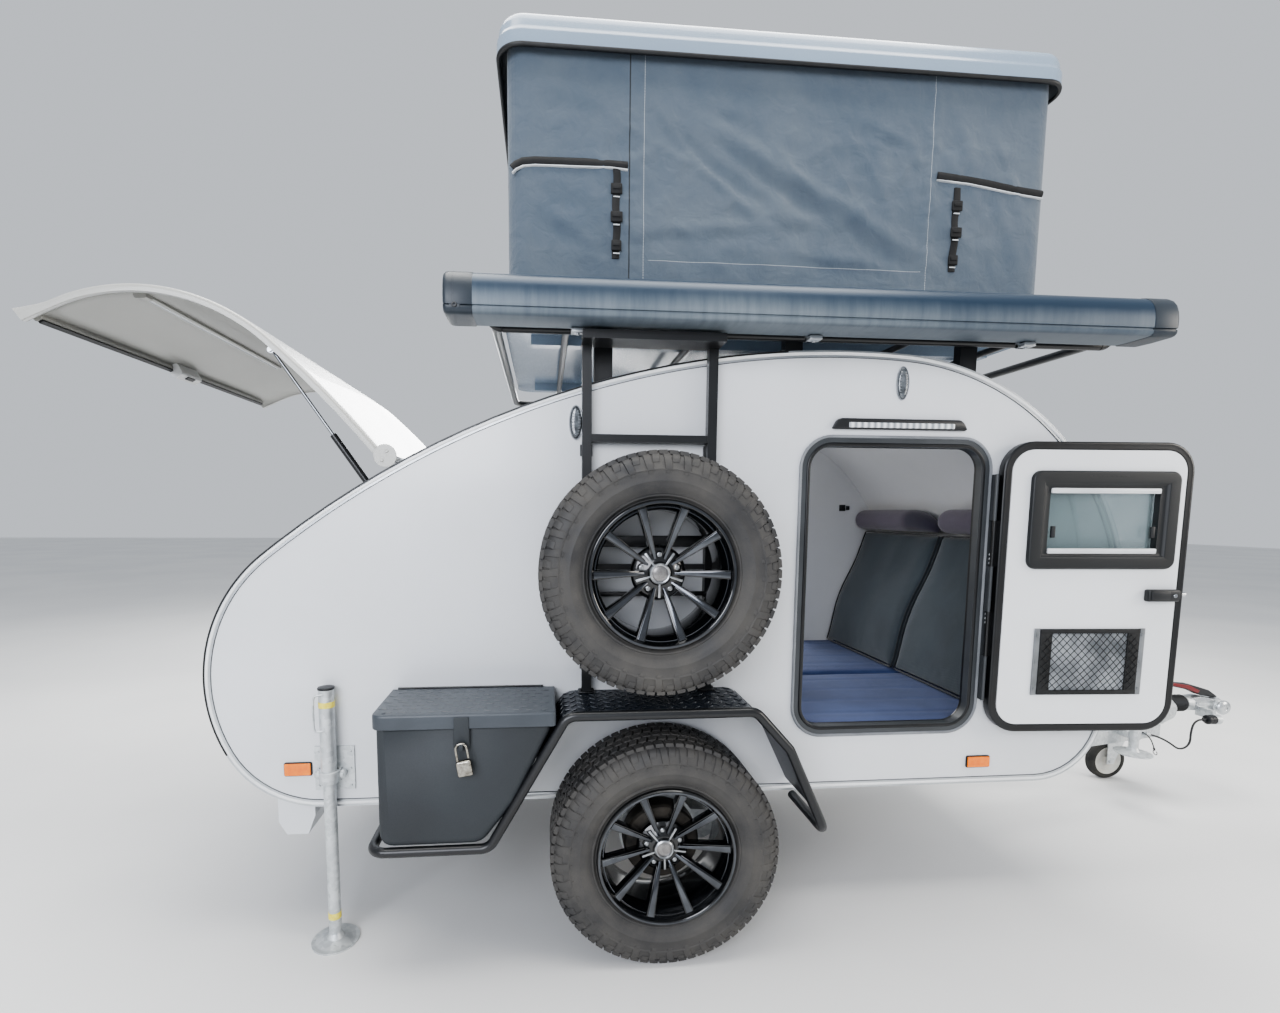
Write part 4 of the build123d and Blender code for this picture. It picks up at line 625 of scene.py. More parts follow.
def rounded_loop(x0, x1, half_y, corner, height, step, arc_steps=8):
    """Points of a level rounded rectangle, in millimetres, with the same count for any inset."""
    points = []
    corners = [(x1 - corner, -half_y + corner, -90), (x1 - corner, half_y - corner, 0),
               (x0 + corner, half_y - corner, 90), (x0 + corner, -half_y + corner, 180)]
    sides = [step[0], step[1], step[0], step[1]]
    for index, (cx, cy, first) in enumerate(corners):
        last = points[-1] if points else (x0 + corner, -half_y)
        start = (cx + corner * cos(radians(first)), cy + corner * sin(radians(first)))
        for part in range(sides[index]):
            share = part / sides[index]
            points.append((last[0] + (start[0] - last[0]) * share, last[1] + (start[1] - last[1]) * share))
        for part in range(arc_steps + 1):
            angle = radians(first + 90 * part / arc_steps)
            points.append((cx + corner * cos(angle), cy + corner * sin(angle)))
        if index == 3:
            points.pop()
    if len(points) > 1 and hypot(points[0][0] - points[1][0], points[0][1] - points[1][1]) < 1e-6:
        points.pop(0)
    return [(x, y, height) for x, y in points]


def wobble(x, y, z):
    """Smooth noise at a place, about -1 to 1."""
    return noise.noise(Vector((x, y, z)))


def canvas_push(along, height, wall):
    """How far the canvas stands out from its frame's plane, in millimetres; walls 0 and 2 are long."""
    rise = min(1, max(0, (height - CANVAS_Z[0]) / (CANVAS_Z[1] - CANVAS_Z[0])))
    free = sin(pi * rise) ** 0.55
    billow = 8 * wobble(along / 430 + wall * 7, height / 300, wall * 3.1)
    creases = 0
    if wall in (0, 2):
        for (x0, z0), (x1, z1), depth, half_width in FOLDS:
            run = Vector((x1 - x0, z1 - z0))
            away = Vector((along - x0, height - z0))
            share = away.dot(run) / run.length_squared
            if -0.15 < share < 1.15:
                gap = (away.x * run.y - away.y * run.x) / run.length
                gap += 7 * wobble(along / 90, height / 90, 3)
                reach = sin(pi * min(1, max(0, (share + 0.15) / 1.3))) ** 0.6
                ridge = 2.7 ** -(gap / half_width) ** 2
                hollow = 2.7 ** -((gap - 1.7 * half_width) / half_width / 1.3) ** 2
                creases += depth * reach * (ridge - 0.6 * hollow)
    for lean, seed, depth in CREASE_SETS:
        across = along * cos(lean) + height * sin(lean)
        down = height * cos(lean) - along * sin(lean)
        wave = wobble(across / 210, down / 620, seed + wall)
        strength = 0.55 + wobble(across / 300, down / 260, seed - wall)
        creases += depth * max(0, 1 - abs(wave) * 6) ** 2 * strength
    crumple = 3.4 * wobble(along / 70, height / 62, 5 + wall)
    crumple += 1.3 * wobble(along / 26, height / 30, 8 + wall)
    pucker = 0
    if wall in (0, 2):
        for seam in SEAMS:
            pucker += 1.6 * sin(height / 7 + wall) * max(0, 1 - abs(along - seam) / 60) ** 2
        pucker += sum(3.2 for low, high in SEAM_BANDS if low < along < high)
    skirt = 1.2 if height < CANVAS_Z[0] + 48 else 0
    return free * (billow + creases + crumple - 6) + pucker * min(1, free * 2) + skirt


def wall_push(along, height, wall):
    """The push on a wall, faded out towards its rounded corners."""
    edge = min(along - TENT_X[0], TENT_X[1] - along) if wall in (0, 2) else TENT_HALF_Y - abs(along)
    return canvas_push(along, height, wall) * min(1, max(0, (edge - TENT_CORNER) / EDGE_FADE)) + GLUE_LINE


def canvas_place(x, y, height):
    """A place on the canvas, pushed out from the frame's rounded rectangle."""
    front, left = x > TENT_MIDDLE_X, y > 0
    flat_x, flat_y = (TENT_X[0] + TENT_CORNER, TENT_X[1] - TENT_CORNER), TENT_HALF_Y - TENT_CORNER
    if abs(y) > flat_y and flat_x[0] < x < flat_x[1]:
        out = Vector((0, 1 if left else -1))
        push = wall_push(x, height, 2 if left else 0)
    elif abs(y) < flat_y:
        out = Vector((1 if front else -1, 0))
        push = wall_push(y, height, 1 if front else 3)
    else:
        out = Vector((x - flat_x[front], y - (flat_y if left else -flat_y))).normalized()
        push = GLUE_LINE
    return (x + out.x * push, y + out.y * push, height)


def sheet_of(piece, thickness):
    """Give an open skin the thickness of its sheet, in metres, laid inwards."""
    bpy.context.view_layer.objects.active = piece
    sheet = piece.modifiers.new("sheet", "SOLIDIFY")
    sheet.thickness = thickness
    sheet.offset = -1
    bpy.ops.object.modifier_apply(modifier="sheet")
    return piece


CANVAS_ROWS = 64
canvas_rings = []
for row in range(CANVAS_ROWS + 1):
    height = CANVAS_Z[0] + (CANVAS_Z[1] - CANVAS_Z[0]) * row / CANVAS_ROWS
    loop = rounded_loop(*TENT_X, TENT_HALF_Y, TENT_CORNER, height, (146, 82), 6)
    canvas_rings.append([canvas_place(*place) for place in loop])
canvas = sheet_of(lofted("tent_canvas_wall", canvas_rings, smooth=80), 0.0012)

# Polycotton canvas: plain weave drawn at 2.4 mm so that it shows, creases in its relief, pale thread
tent_cloth, tree, shader, place = new_material("tent_polycotton_grey")
axes = node(tree, "SeparateXYZ", {"Vector": place})
clouds = node(tree, "TexNoise", {"Vector": place, "Scale": 3.2, "Detail": 7.0, "Roughness": 0.62})
share = node(tree, "MapRange", {"Value": clouds, "From Min": 0.32, "From Max": 0.7})
tone = node(tree, "MixRGB", {"Fac": share, "Color1": linear("475462"), "Color2": linear("59636D")})
threads = []
for axis, size in (("X", 2.6), ("Y", 2.6), ("Z", 2.4)):
    turns = node(tree, "Math", {0: axes.outputs[axis], 1: 2 * pi * 1000 / size}, operation="MULTIPLY")
    threads.append(node(tree, "Math", {0: turns}, operation="SINE"))
weft = node(tree, "Math", {0: threads[0], 1: threads[1]}, operation="ADD")
weave = node(tree, "Math", {0: weft, 1: threads[2]}, operation="MULTIPLY")
speck = node(tree, "MapRange",
             {"Value": weave, "From Min": -1.0, "From Max": 1.0, "To Min": 0.90, "To Max": 1.06})
tone = node(tree, "VectorMath", {0: tone, "Scale": speck}, operation="SCALE")

# Its sewing: two seams on each long side and a hem, and a painted shadow line beside the first seam where
# its tuck steps out
thread_mask = None
for seam_x in (-35, 980):
    gap = node(tree, "Math", {0: axes.outputs["X"], 1: spot(seam_x, 0, 0).x}, operation="SUBTRACT")
    far = node(tree, "Math", {0: gap}, operation="ABSOLUTE")
    line = node(tree, "Math", {0: far, 1: 0.0008}, operation="LESS_THAN")
    if thread_mask is not None:
        line = node(tree, "Math", {0: thread_mask, 1: line}, operation="MAXIMUM")
    thread_mask = line
side_reach = node(tree, "Math", {0: axes.outputs["Y"]}, operation="ABSOLUTE")
on_side = node(tree, "Math", {0: side_reach, 1: 0.6}, operation="GREATER_THAN")
thread_mask = node(tree, "Math", {0: thread_mask, 1: on_side}, operation="MULTIPLY")
hem = node(tree, "Math", {0: axes.outputs["Z"], 1: spot(0, 0, 2276).z, 2: 0.0008}, operation="COMPARE")
middle = node(tree, "Math", {0: axes.outputs["X"], 1: spot(472, 0, 0).x, 2: 0.49}, operation="COMPARE")
hem_line = node(tree, "Math", {0: hem, 1: middle}, operation="MULTIPLY")
thread_mask = node(tree, "Math", {0: thread_mask, 1: hem_line}, operation="MAXIMUM")
run = node(tree, "Math", {0: axes.outputs["Z"], 1: axes.outputs["X"]}, operation="ADD")
turns = node(tree, "Math", {0: run, 1: 2 * pi / 0.0085}, operation="MULTIPLY")
dash = node(tree, "Math", {0: node(tree, "Math", {0: turns}, operation="SINE"), 1: -0.5},
            operation="GREATER_THAN")
thread_mask = node(tree, "Math", {0: thread_mask, 1: dash}, operation="MULTIPLY")
tone = node(tree, "MixRGB", {"Fac": thread_mask, "Color1": tone, "Color2": linear("B4B8BA")})
# Painted shadow: a thin dark line down the long sides where the tuck beside the first seam would shade the
# canvas
tuck_shadow_mask = node(tree, "Math", {0: axes.outputs["X"], 1: spot(-84, 0, 0).x, 2: 0.0022}, operation="COMPARE")
tuck_painted_shadow = node(tree, "Math", {0: tuck_shadow_mask, 1: on_side}, operation="MULTIPLY")
tone = node(tree, "MixRGB", {"Fac": tuck_painted_shadow, "Color1": tone, "Color2": linear("24282C")})
crease = node(tree, "TexNoise", {"Vector": place, "Scale": 17.0, "Detail": 6.0, "Distortion": 0.7})
relief = node(tree, "Bump", {"Height": crease, "Distance": 0.010, "Strength": 0.62})
relief = node(tree, "Bump", {"Height": weave, "Distance": 0.0003, "Strength": 0.5, "Normal": relief})
feed(shader, {"Base Color": tone, "Normal": relief, "Roughness": 0.86, "Sheen Weight": 0.2})
finished(canvas, tent_cloth)


def on_canvas(x, height, side, lift=0.0):
    """The canvas's outer face at a place on a long side, lifted off it."""
    return (x, side * (TENT_HALF_Y + wall_push(x, height, 2 if side > 0 else 0) + lift), height)


def band(name, line, width, lift, side, thick=1.2):
    """A flat strip sewn along a line of (x, height) on a long side of the canvas."""
    rings = []
    for index, (x, height) in enumerate(line):
        before = line[max(0, index - 1)]
        after = line[min(len(line) - 1, index + 1)]
        run = Vector((after[0] - before[0], after[1] - before[1])).normalized()
        across = Vector((-run.y, run.x)) * width / 2
        rings.append([on_canvas(x + across.x * way, height + across.y * way, side, lift + out)
                      for way, out in ((-1, -5), (-1, 0), (-0.4, thick), (0.4, thick), (1, 0), (1, -5))])
    return lofted(name, rings, True, True, 50)


# Zips under black storm flaps with a white piping, and webbing straps with ladder buckles
ZIPS = [[(-474, 2548), (-462, 2560), (-440, 2571), (-400, 2577), (-330, 2580), (-240, 2580), (-150, 2579),
         (-90, 2578)],
        [(1002, 2600), (1060, 2594), (1120, 2590), (1190, 2583), (1260, 2573), (1330, 2564), (1400, 2556)]]
STRAPS = [(-128, 2562, 2275), (1078, 2560, 2279)]
webbing = surface("tent_webbing_black", "08090B", "111215", 30, 1.2, 0.7, 0.15)
piping = surface("tent_piping_white", "CFD2D4", "B9BDC0", 30, 1.0, 0.5, 0.05)
BUCKLES = [(0.22, 38), (0.54, 40), (0.86, 34)]  # share of the strap's fall, width
trims = []
for side in (-1, 1):
    for line in ZIPS:
        trims.append(finished(band("zip_flap", line, 24, 2.5, side, 5), webbing))
        lower = [(x, height - 15.5) for x, height in line]
        trims.append(finished(band("zip_piping", lower, 7, 2.5, side, 4), piping))
    for x, top, low in STRAPS:
        fall = [(x + 2.5 * sin(step), top + (low - top) * step / 12) for step in range(13)]
        trims.append(finished(band("canvas_strap", fall, 25, 3, side, 2.2), webbing))
        for share, wide in BUCKLES:
            height = top + (low - top) * share
            out = abs(on_canvas(x, height, side, 4)[1])
            for name, half, near, far, z0, z1, edge, segments, finish in (
                    ("strap_bar", 11, 0, 4, -27, -23, 0.8, 1, piping),
                    ("ladder_buckle", wide / 2, 0, 7, -17, 17, 3, 3, webbing),
                    ("ladder_slot", wide / 2 - 5, 7, 10, -3, 9, 1.4, 3, webbing)):
                low_corner = (x - half, side * (out + near), height + z0)
                high_corner = (x + half, side * (out + far), height + z1)
                trims.append(finished(block(name, low_corner, high_corner, edge, segments), finish))
ARCH_STEPS, ARCH_REACH, ARCH_FOOT, ARCH_RISE, CORD_RADIUS = 40, 430, 2215, 640, 6
for end in (-1, 1):
    rings = []
    for step in range(ARCH_STEPS + 1):
        angle = pi * step / ARCH_STEPS
        y, height = -ARCH_REACH * cos(angle), ARCH_FOOT + ARCH_RISE * sin(angle) ** 0.35
        face_x = canvas_place(TENT_X[1] if end > 0 else TENT_X[0], y, height)[0]
        tilt = atan2(height - 2450, y)
        ring = []
        for spin in [radians(60 * k) for k in range(6)]:
            reach = CORD_RADIUS * sin(spin)
            ring.append((face_x + end * (1 + 3 * max(0, cos(spin))), y + reach * cos(tilt),
                         height + reach * sin(tilt)))
        rings.append(ring)
    trims.append(finished(lofted("end_door_zip", rings, True, True, 60), webbing))
tent_trims = joined("tent_canvas_trims", trims)
for piece in (canvas, tent_trims):
    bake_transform(piece)
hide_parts("tent_canvas")

# Hard lid: gel-coated moulding with a turned-down rim, a step round the shoulder and a shallow crown
gelcoat = surface("tent_gelcoat_light_grey", "8797A8", "7F8E9E", 700, 3.0, 0.24, 0.02, 0.0, 0.05, coat=0.25)
LID_RINGS = [  # inset from the CAD outline, height, corner radius
    (6, 2935, 84), (6, 2911, 84), (0, 2910, 90), (0, 2952, 90), (1, 2958, 89), (4, 2962, 87),
    (6, 2970, 86), (8, 2988, 84), (12, 3002, 82), (20, 3013, 76), (33, 3021, 66), (54, 3026, 52),
    (100, 3028.5, 34), (220, 3029.5, 26), (380, 3030, 22), (560, 3030, 18)]
LINING_RINGS = [(6.2, 2912, 84), (6.2, 2965, 84), (20, 3000, 70), (60, 3016, 50), (200, 3020, 30),
                (400, 3022, 20)]
LID_X, LID_HALF_Y = (-525, 1465), 660


def lid_skin(name, table):
    """A skin over the lid's outline from a table of (inset, height, corner radius)."""
    rings = []
    for inset, height, corner in table:
        x0, x1, half_y = LID_X[0] + inset, LID_X[1] - inset, LID_HALF_Y - inset
        rings.append(rounded_loop(x0, x1, half_y, corner, height, (24, 16), 10))
    return lofted(name, rings, False, True, 50)


fit(lid_skin("tent_lid_moulding", LID_RINGS), "tent_top", gelcoat)
lining = lid_skin("tent_lid_lining", LINING_RINGS)
lining.data.flip_normals()
quilting = surface("lid_quilted_lining", "8C9093", "7B8083", 160, 6, 0.9, 0.6)
fit(lining, "tent_top", quilting, ["tent_lid"])
seal_loop = rounded_loop(-523, 1463, 658, 88, 2912, (40, 30), 12)
SEAL_SECTION = [(3, 4), (4, 0), (3.2, -5), (-1, -8), (-7, -7), (-9, -2), (-6, 4)]  # out, up
seal_rings = []
for index, (x, y, height) in enumerate(seal_loop):
    run = Vector(seal_loop[(index + 1) % len(seal_loop)]) - Vector(seal_loop[index - 1])
    out = Vector((run.y, -run.x, 0)).normalized()
    seal_rings.append([(x + out.x * reach, y + out.y * reach, height + rise)
                       for reach, rise in SEAL_SECTION])
lid_seal = lofted("tent_lid_seal", seal_rings + [seal_rings[0]], False, False, 60)
fit(lid_seal, "tent_top", surface("lid_seal_epdm", "141517", "1E1F21", 60, 1.0, 0.5, 0.05))
paint_node("tent_base", gelcoat)

# Body shell: flat side walls of sandwich board and curved roof, front and tail panels, sprayed a
# warm light grey enamel, with an aluminium edge trim that holds a pale vinyl insert.
PROFILE_RADII = [250, 3508, 917, 3008, 528]
PROFILE_HEADINGS = [81, 86, 176.2, 219, 297.1]
PROFILE_START = (1407, 452)
HALF_WIDTH = 780


def profile_arcs():
    """Centre, radius, first and last heading of each arc of the body's side profile."""
    rise, heading = 0, 0
    for radius, last in zip(PROFILE_RADII, PROFILE_HEADINGS):
        rise += radius * (cos(radians(heading)) - cos(radians(last)))
        heading = last
    tail_radius = rise / (1 - cos(radians(heading)))
    (x, z), heading, arcs = PROFILE_START, 0, []
    for radius, last in zip(PROFILE_RADII + [tail_radius], PROFILE_HEADINGS + [360]):
        cx = x - radius * sin(radians(heading))
        cz = z + radius * cos(radians(heading))
        arcs.append((cx, cz, radius, heading, last))
        heading = last
        x = cx + radius * sin(radians(heading))
        z = cz - radius * cos(radians(heading))
    return arcs


def skin_point(heading, inset=0):
    """The point of the profile where its skin runs in this direction, and drawn in by an inset."""
    for cx, cz, radius, first, last in profile_arcs():
        if first <= heading <= last + 1e-6:
            away, heading = radius - inset, radians(heading)
            return cx + away * sin(heading), cz - away * cos(heading)


def skin_steps(spacing):
    """Headings round the profile, closer together where it bends, with the floor's flat run."""
    headings = []
    for cx, cz, radius, first, last in profile_arcs():
        count = max(4, ceil(radians(last - first) * radius / spacing))
        headings += [first + (last - first) * step / count for step in range(count)]
    return headings + [360]


def skin_bead(name, section, side, spacing=40):
    """A strip round one wall's edge: a section of (inset, distance out from the wall)."""
    rings = []
    for heading in skin_steps(spacing):
        ring = []
        for inset, out in section:
            x, z = skin_point(heading, inset)
            ring.append((x, side * (HALF_WIDTH + out), z))
        rings.append(ring)
    rings.append(rings[0])
    return lofted(name, rings, smooth=50)


# Two-pack enamel: smooth with a faint orange peel, light grey, soft film patches, and darker low down as a
# painted shade
enamel, tree, shader, place = new_material("body_enamel_light_grey")
height = node(tree, "SeparateXYZ", {"Vector": place}).outputs["Z"]
# Painted shade: the wall is drawn darker, and a little rougher, towards the bottom
low_painted_shade = node(tree, "MapRange",
                {"Value": height, "From Min": 0.02, "From Max": 0.42, "To Min": 0.16, "To Max": 0.0})
film = node(tree, "TexNoise", {"Vector": place, "Scale": 2.4, "Detail": 6.0, "Roughness": 0.6})
film = node(tree, "MapRange",
            {"Value": film, "From Min": 0.4, "From Max": 0.75, "To Min": 0.0, "To Max": 0.35})
# The painted shade is added to the film patches, and with them sets the colour and the roughness
film = node(tree, "Math", {0: film, 1: low_painted_shade}, operation="ADD")
tone = node(tree, "MixRGB", {"Fac": film, "Color1": linear("D3D5D8"), "Color2": linear("C2C4C5")})
peel = node(tree, "TexNoise", {"Vector": place, "Scale": 1000 / 5, "Detail": 2.0})
feed(shader, {"Base Color": tone,
              "Roughness": node(tree, "MapRange", {"Value": film, "To Min": 0.28, "To Max": 0.46}),
              "Normal": node(tree, "Bump", {"Height": peel, "Distance": 0.00006, "Strength": 0.5}),
              "Coat Weight": 0.35, "Coat Roughness": 0.12})
for name in ("side_walls", "front_panel", "roof_panel", "tail_panel"):
    paint_node(name, enamel)
anodised = surface("trim_anodised_aluminium", "C3C6C9", "AEB2B6", 200, 1.5, 0.34, 0.02, 0.9, 0.06,
                   (1, 1, 1))
vinyl_insert = surface("trim_vinyl_insert", "E8E9E9", "D5D7D8", 300, 1.2, 0.4, 0.02)
joint_sealant = surface("edge_joint_sealant", "4E5154", "6A6D70", 200, 2.0, 0.6, 0.05)
paint_node("edge_trims", anodised)
for side, end in ((-1, "right"), (1, "left")):
    insert = skin_bead(f"trim_insert_{end}",
                       [(3, 2.9), (3.6, 4.6), (6, 5.6), (9.5, 5.6), (12, 4.6), (12.6, 2.9)], side)
    fit(insert, "trailer", vinyl_insert)
    joint = skin_bead(f"trim_joint_{end}",
                      [(18.8, -0.5), (18.8, 2.2), (19.6, 3.1), (21, 1.2), (21.4, -0.5)], side)
    fit(joint, "trailer", joint_sealant)
paint_node("floor", surface("floor_phenolic_black", "26231F", "34302B", 200, 3, 0.6, 0.2))


def rounded_face(cx, cz, width, height, corner, grow=0, arc_steps=8):
    """Points round an upright rounded rectangle, with the same count for any growth."""
    half_w, half_h, corner = width / 2 + grow, height / 2 + grow, max(0.5, corner + grow)
    points = []
    for sx, sz, first in ((1, -1, -90), (1, 1, 0), (-1, 1, 90), (-1, -1, 180)):
        for step in range(arc_steps + 1):
            angle = radians(first + 90 * step / arc_steps)
            points.append((cx + sx * (half_w - corner) + corner * cos(angle),
                           cz + sz * (half_h - corner) + corner * sin(angle)))
    return points


def oval_face(cx, cz, width, height, grow=0, steps=40):
    """Points round an upright ellipse."""
    return [(cx + (width / 2 + grow) * cos(2 * pi * step / steps),
             cz + (height / 2 + grow) * sin(2 * pi * step / steps)) for step in range(steps)]


def layered(face, layers):
    """Rings of an upright outline: face(grow) at each layer's (grow, y)."""
    return [[(x, y, z) for x, z in face(grow)] for grow, y in layers]


def stacked(name, face, layers, smooth=40):
    """A closed piece built of layers of an upright outline."""
    return lofted(name, layered(face, layers), True, True, smooth)


def hoop(name, face, section, smooth=40):
    """A frame round an upright outline: face(grow) drawn at each (grow, y) of a closed section."""
    rings = layered(face, section)
    return lofted(name, rings + [rings[0]], False, False, smooth)


def sided(side, layers, start=0):
    """Layers of (grow, distance out from a start) on the right (-1) or the left (1)."""
    return [(grow, side * (start + out)) for grow, out in layers]


# Awning lamp over the door: a black round-ended housing with a clear ribbed lens over its diodes
DOOR_X, DOOR_Z, LED_Z = 820, 1160, 1718
clear_lens, tree, shader, place = new_material("lamp_clear_polycarbonate")
ribs = node(tree, "TexWave", {"Vector": place, "Scale": 14.0}, bands_direction="X").outputs["Fac"]
tone = node(tree, "MixRGB", {"Fac": ribs, "Color1": linear("8D9296"), "Color2": linear("E9ECEE")})
feed(shader, {"Base Color": tone,
              "Normal": node(tree, "Bump", {"Height": ribs, "Distance": 0.001, "Strength": 0.6}),
              "Roughness": 0.12, "Coat Weight": 0.6})
chrome = surface("lamp_bezel_chrome", "C9CCCF", "B4B7BB", 40, 0.8, 0.12, 0.01, 1.0, 0.04)
amber_lens = surface("lamp_amber_polycarbonate", "E26E04", "F08410", 24, 1.6, 0.22, 0.1, 0.0, 0.08,
                     coat=0.5)
red_lens = surface("lamp_red_polycarbonate", "A80F12", "C41B1C", 30, 2.0, 0.2, 0.2, 0.0, 0.06, coat=0.5)
oval_lens = surface("lamp_smoked_reflector", "43474B", "777C81", 14, 3.0, 0.14, 0.2, 0.4, 0.05, coat=0.8)


def lamp_face(grow):
    """The lamp housing's outline: a flat foot and ends that slope in to the top."""
    reach, low, high = 235.5 + grow, LED_Z - 17.5 - grow, LED_Z + 17.5 + grow
    right_end = [(reach - 4, low), (reach, low + 3), (reach - 5, low + 13), (reach - 13, high - 8),
                 (reach - 21, high - 2), (reach - 30, high)]
    return [(DOOR_X + x, z) for x, z in right_end] + [(DOOR_X - x, z) for x, z in reversed(right_end)]


HOUSING_LAYERS = [(0, 0.4), (0, 12), (-1.5, 15.5), (-4.5, 17)]
LENS_LAYERS = [(0, 14), (0, 17.6), (-1.5, 19.3), (-4, 19.8)]
BEZEL_SECTION = [(0, 0.4), (0, 3.5), (-1.4, 5.2), (-4.2, 5.2), (-5.5, 3), (-5.5, 0.4)]
OVAL_LAYERS = [(0, 0.6), (0, 5), (-2, 7.4), (-6, 8.6), (-12, 9)]
OVAL_RIBS, OVAL_RIB_PITCH = 9, 9
lamp_parts = []
for side in (-1, 1):
    housing = stacked("awning_lamp_housing", lamp_face, sided(side, HOUSING_LAYERS, HALF_WIDTH))
    lens = stacked("awning_lamp_lens",
                   lambda grow: rounded_face(DOOR_X + 2, LED_Z - 5, 372, 17, 3, grow, 8),
                   sided(side, LENS_LAYERS, HALF_WIDTH))
    lamp_parts += [finished(housing, black_abs), finished(lens, clear_lens)]
    for ox, oz in ((-271, 1706), (824, 1854)):
        bezel = hoop("oval_bezel", lambda grow: oval_face(ox, oz, 46, 112, grow),
                     sided(side, BEZEL_SECTION, HALF_WIDTH))
        oval = stacked("oval_lens", lambda grow: oval_face(ox, oz, 34, 100, grow),
                       sided(side, OVAL_LAYERS, HALF_WIDTH))
        lamp_parts += [finished(bezel, chrome), finished(oval, oval_lens)]
        for rib in range(OVAL_RIBS):
            up = (rib - OVAL_RIBS // 2) * OVAL_RIB_PITCH
            reach = 15 * (1 - (up / 50) ** 2) ** 0.5
            bar_piece = block("oval_rib", (ox - reach, side * (HALF_WIDTH + 7.0), oz + up - 1.1),
                              (ox + reach, side * (HALF_WIDTH + 8.9), oz + up + 1.1), 0.5, 1)
            lamp_parts.append(finished(bar_piece, chrome))
fit(joined("wall_lamps", lamp_parts), "trailer", None, ["white_lamps"])
marker_parts = []
for side in (-1, 1):
    for x0, x1, z0, z1 in ((-1221, -1135, 558, 601), (1140, 1227, 509, 550)):
        for low, high, wider, finish in ((-0.5, 6, 1.5, black_abs), (5, 10, -1.5, amber_lens)):
            layers = [(wider, low + 0.8), (wider, high - 1.5), (wider - 1.2, high), (wider - 5, high + 0.3)]
            face = lambda grow: rounded_face((x0 + x1) / 2, (z0 + z1) / 2, x1 - x0, z1 - z0, 5, grow, 5)
            lens = stacked("marker_lens", face, sided(side, layers, HALF_WIDTH))
            marker_parts.append(finished(lens, finish))
fit(joined("side_marker_lamps", marker_parts), "trailer", None, ["marker_lamps"])
TAIL_RIBS = 7
tail_parts = []
for side in (-1, 1):
    for from_wall, wide, finish in ((220, 150, red_lens), (380, 120, amber_lens)):
        y0 = side * (HALF_WIDTH - from_wall)
        low_y, high_y = sorted((y0, y0 + side * wide))
        base = block("tail_lamp_base", (-1271, low_y, 385), (-1265.4, high_y, 435), 3)
        lens = block("tail_lamp_lens", (-1277, low_y + 3, 388), (-1270, high_y - 3, 432), 3.4)
        tail_parts += [finished(base, black_abs), finished(lens, finish)]
        for rib in range(TAIL_RIBS):
            y = low_y + 12 + rib * (wide - 24) / (TAIL_RIBS - 1)
            bar = block("tail_lamp_rib", (-1278, y - 1.2, 394), (-1276, y + 1.2, 426), 0.6, 1)
            tail_parts.append(finished(bar, finish))
fit(joined("tail_lamp_set", tail_parts), "trailer", None, ["tail_lamps"])

# Doors: a sandwich leaf in a black rubber edge, hung on a long hinge and standing open. Inside it
# has a hinged window with blind cassettes, a push latch with its bolt, and a net pocket.
PIN_X, PIN_Y = 1166, 807
HINGE_ZONE = 0.024
DOOR_OPEN = 177
WINDOW_X, WINDOW_Z = DOOR_X - 20, DOOR_Z + 240
LATCH_X, LATCH_Z = DOOR_X - 302, DOOR_Z - 18
POCKET_X, POCKET_Z = DOOR_X - 8, DOOR_Z - 253
door_rubber = surface("door_seal_epdm", "0A0B0D", "131518", 120, 1.5, 0.36, 0.06)
opening_rubber = surface("opening_frame_rubber", "36393C", "424548", 160, 1.5, 0.36, 0.06)
frame_plastic = surface("window_frame_dark_abs", "16191C", "121517", 200, 0.9, 0.45, 0.05)
blind_white = surface("blind_cassette_powder_coat", "D9DBDC", "CACCCE", 100, 1.0, 0.4, 0.02)
leaf_enamel, tree, shader, place = new_material("door_enamel_and_hinge_black")
axes = node(tree, "SeparateXYZ", {"Vector": place})
off_middle = node(tree, "Math", {0: axes.outputs["Y"]}, operation="ABSOLUTE")
side_way = node(tree, "Math", {0: off_middle, 1: PIN_Y / 1000}, operation="SUBTRACT")
long_way = node(tree, "Math", {0: axes.outputs["X"], 1: spot(PIN_X, 0, 0).x}, operation="SUBTRACT")
squares = [node(tree, "Math", {0: way, 1: 2.0}, operation="POWER") for way in (side_way, long_way)]
from_pin = node(tree, "Math", {0: squares[0], 1: squares[1]}, operation="ADD")
on_hinge = node(tree, "Math", {0: from_pin, 1: HINGE_ZONE ** 2}, operation="LESS_THAN")
film = node(tree, "TexNoise", {"Vector": place, "Scale": 2.4, "Detail": 6.0, "Roughness": 0.6})
film = node(tree, "MapRange",
            {"Value": film, "From Min": 0.4, "From Max": 0.75, "To Min": 0.0, "To Max": 0.4})
tone = node(tree, "MixRGB", {"Fac": film, "Color1": linear("DEE0E2"), "Color2": linear("CDCFD0")})
tone = node(tree, "MixRGB", {"Fac": on_hinge, "Color1": tone, "Color2": linear("0B0C0E")})
peel = node(tree, "TexNoise", {"Vector": place, "Scale": 1000 / 5, "Detail": 2.0})
feed(shader, {"Base Color": tone,
              "Roughness": node(tree, "MapRange", {"Value": film, "To Min": 0.3, "To Max": 0.46}),
              "Normal": node(tree, "Bump", {"Height": peel, "Distance": 0.00006, "Strength": 0.5}),
              "Coat Weight": 0.3})
for end in ("right", "left"):
    paint_node(f"door_leaf_{end}", leaf_enamel)
paint_node("door_frames", opening_rubber)


def leaf_face(width, height, corner, side=0, up=0):
    """An outline on the closed leaf as a function of its growth."""
    return lambda grow: rounded_face(DOOR_X + side, DOOR_Z + up, width, height, corner, grow)


def about(place, turn):
    """A turn about a place instead of the origin."""
    return Matrix.Translation(place) @ turn @ Matrix.Translation(-place)


door_swing = about(spot(PIN_X, -PIN_Y, 0), Matrix.Rotation(radians(DOOR_OPEN), 4, "Z"))


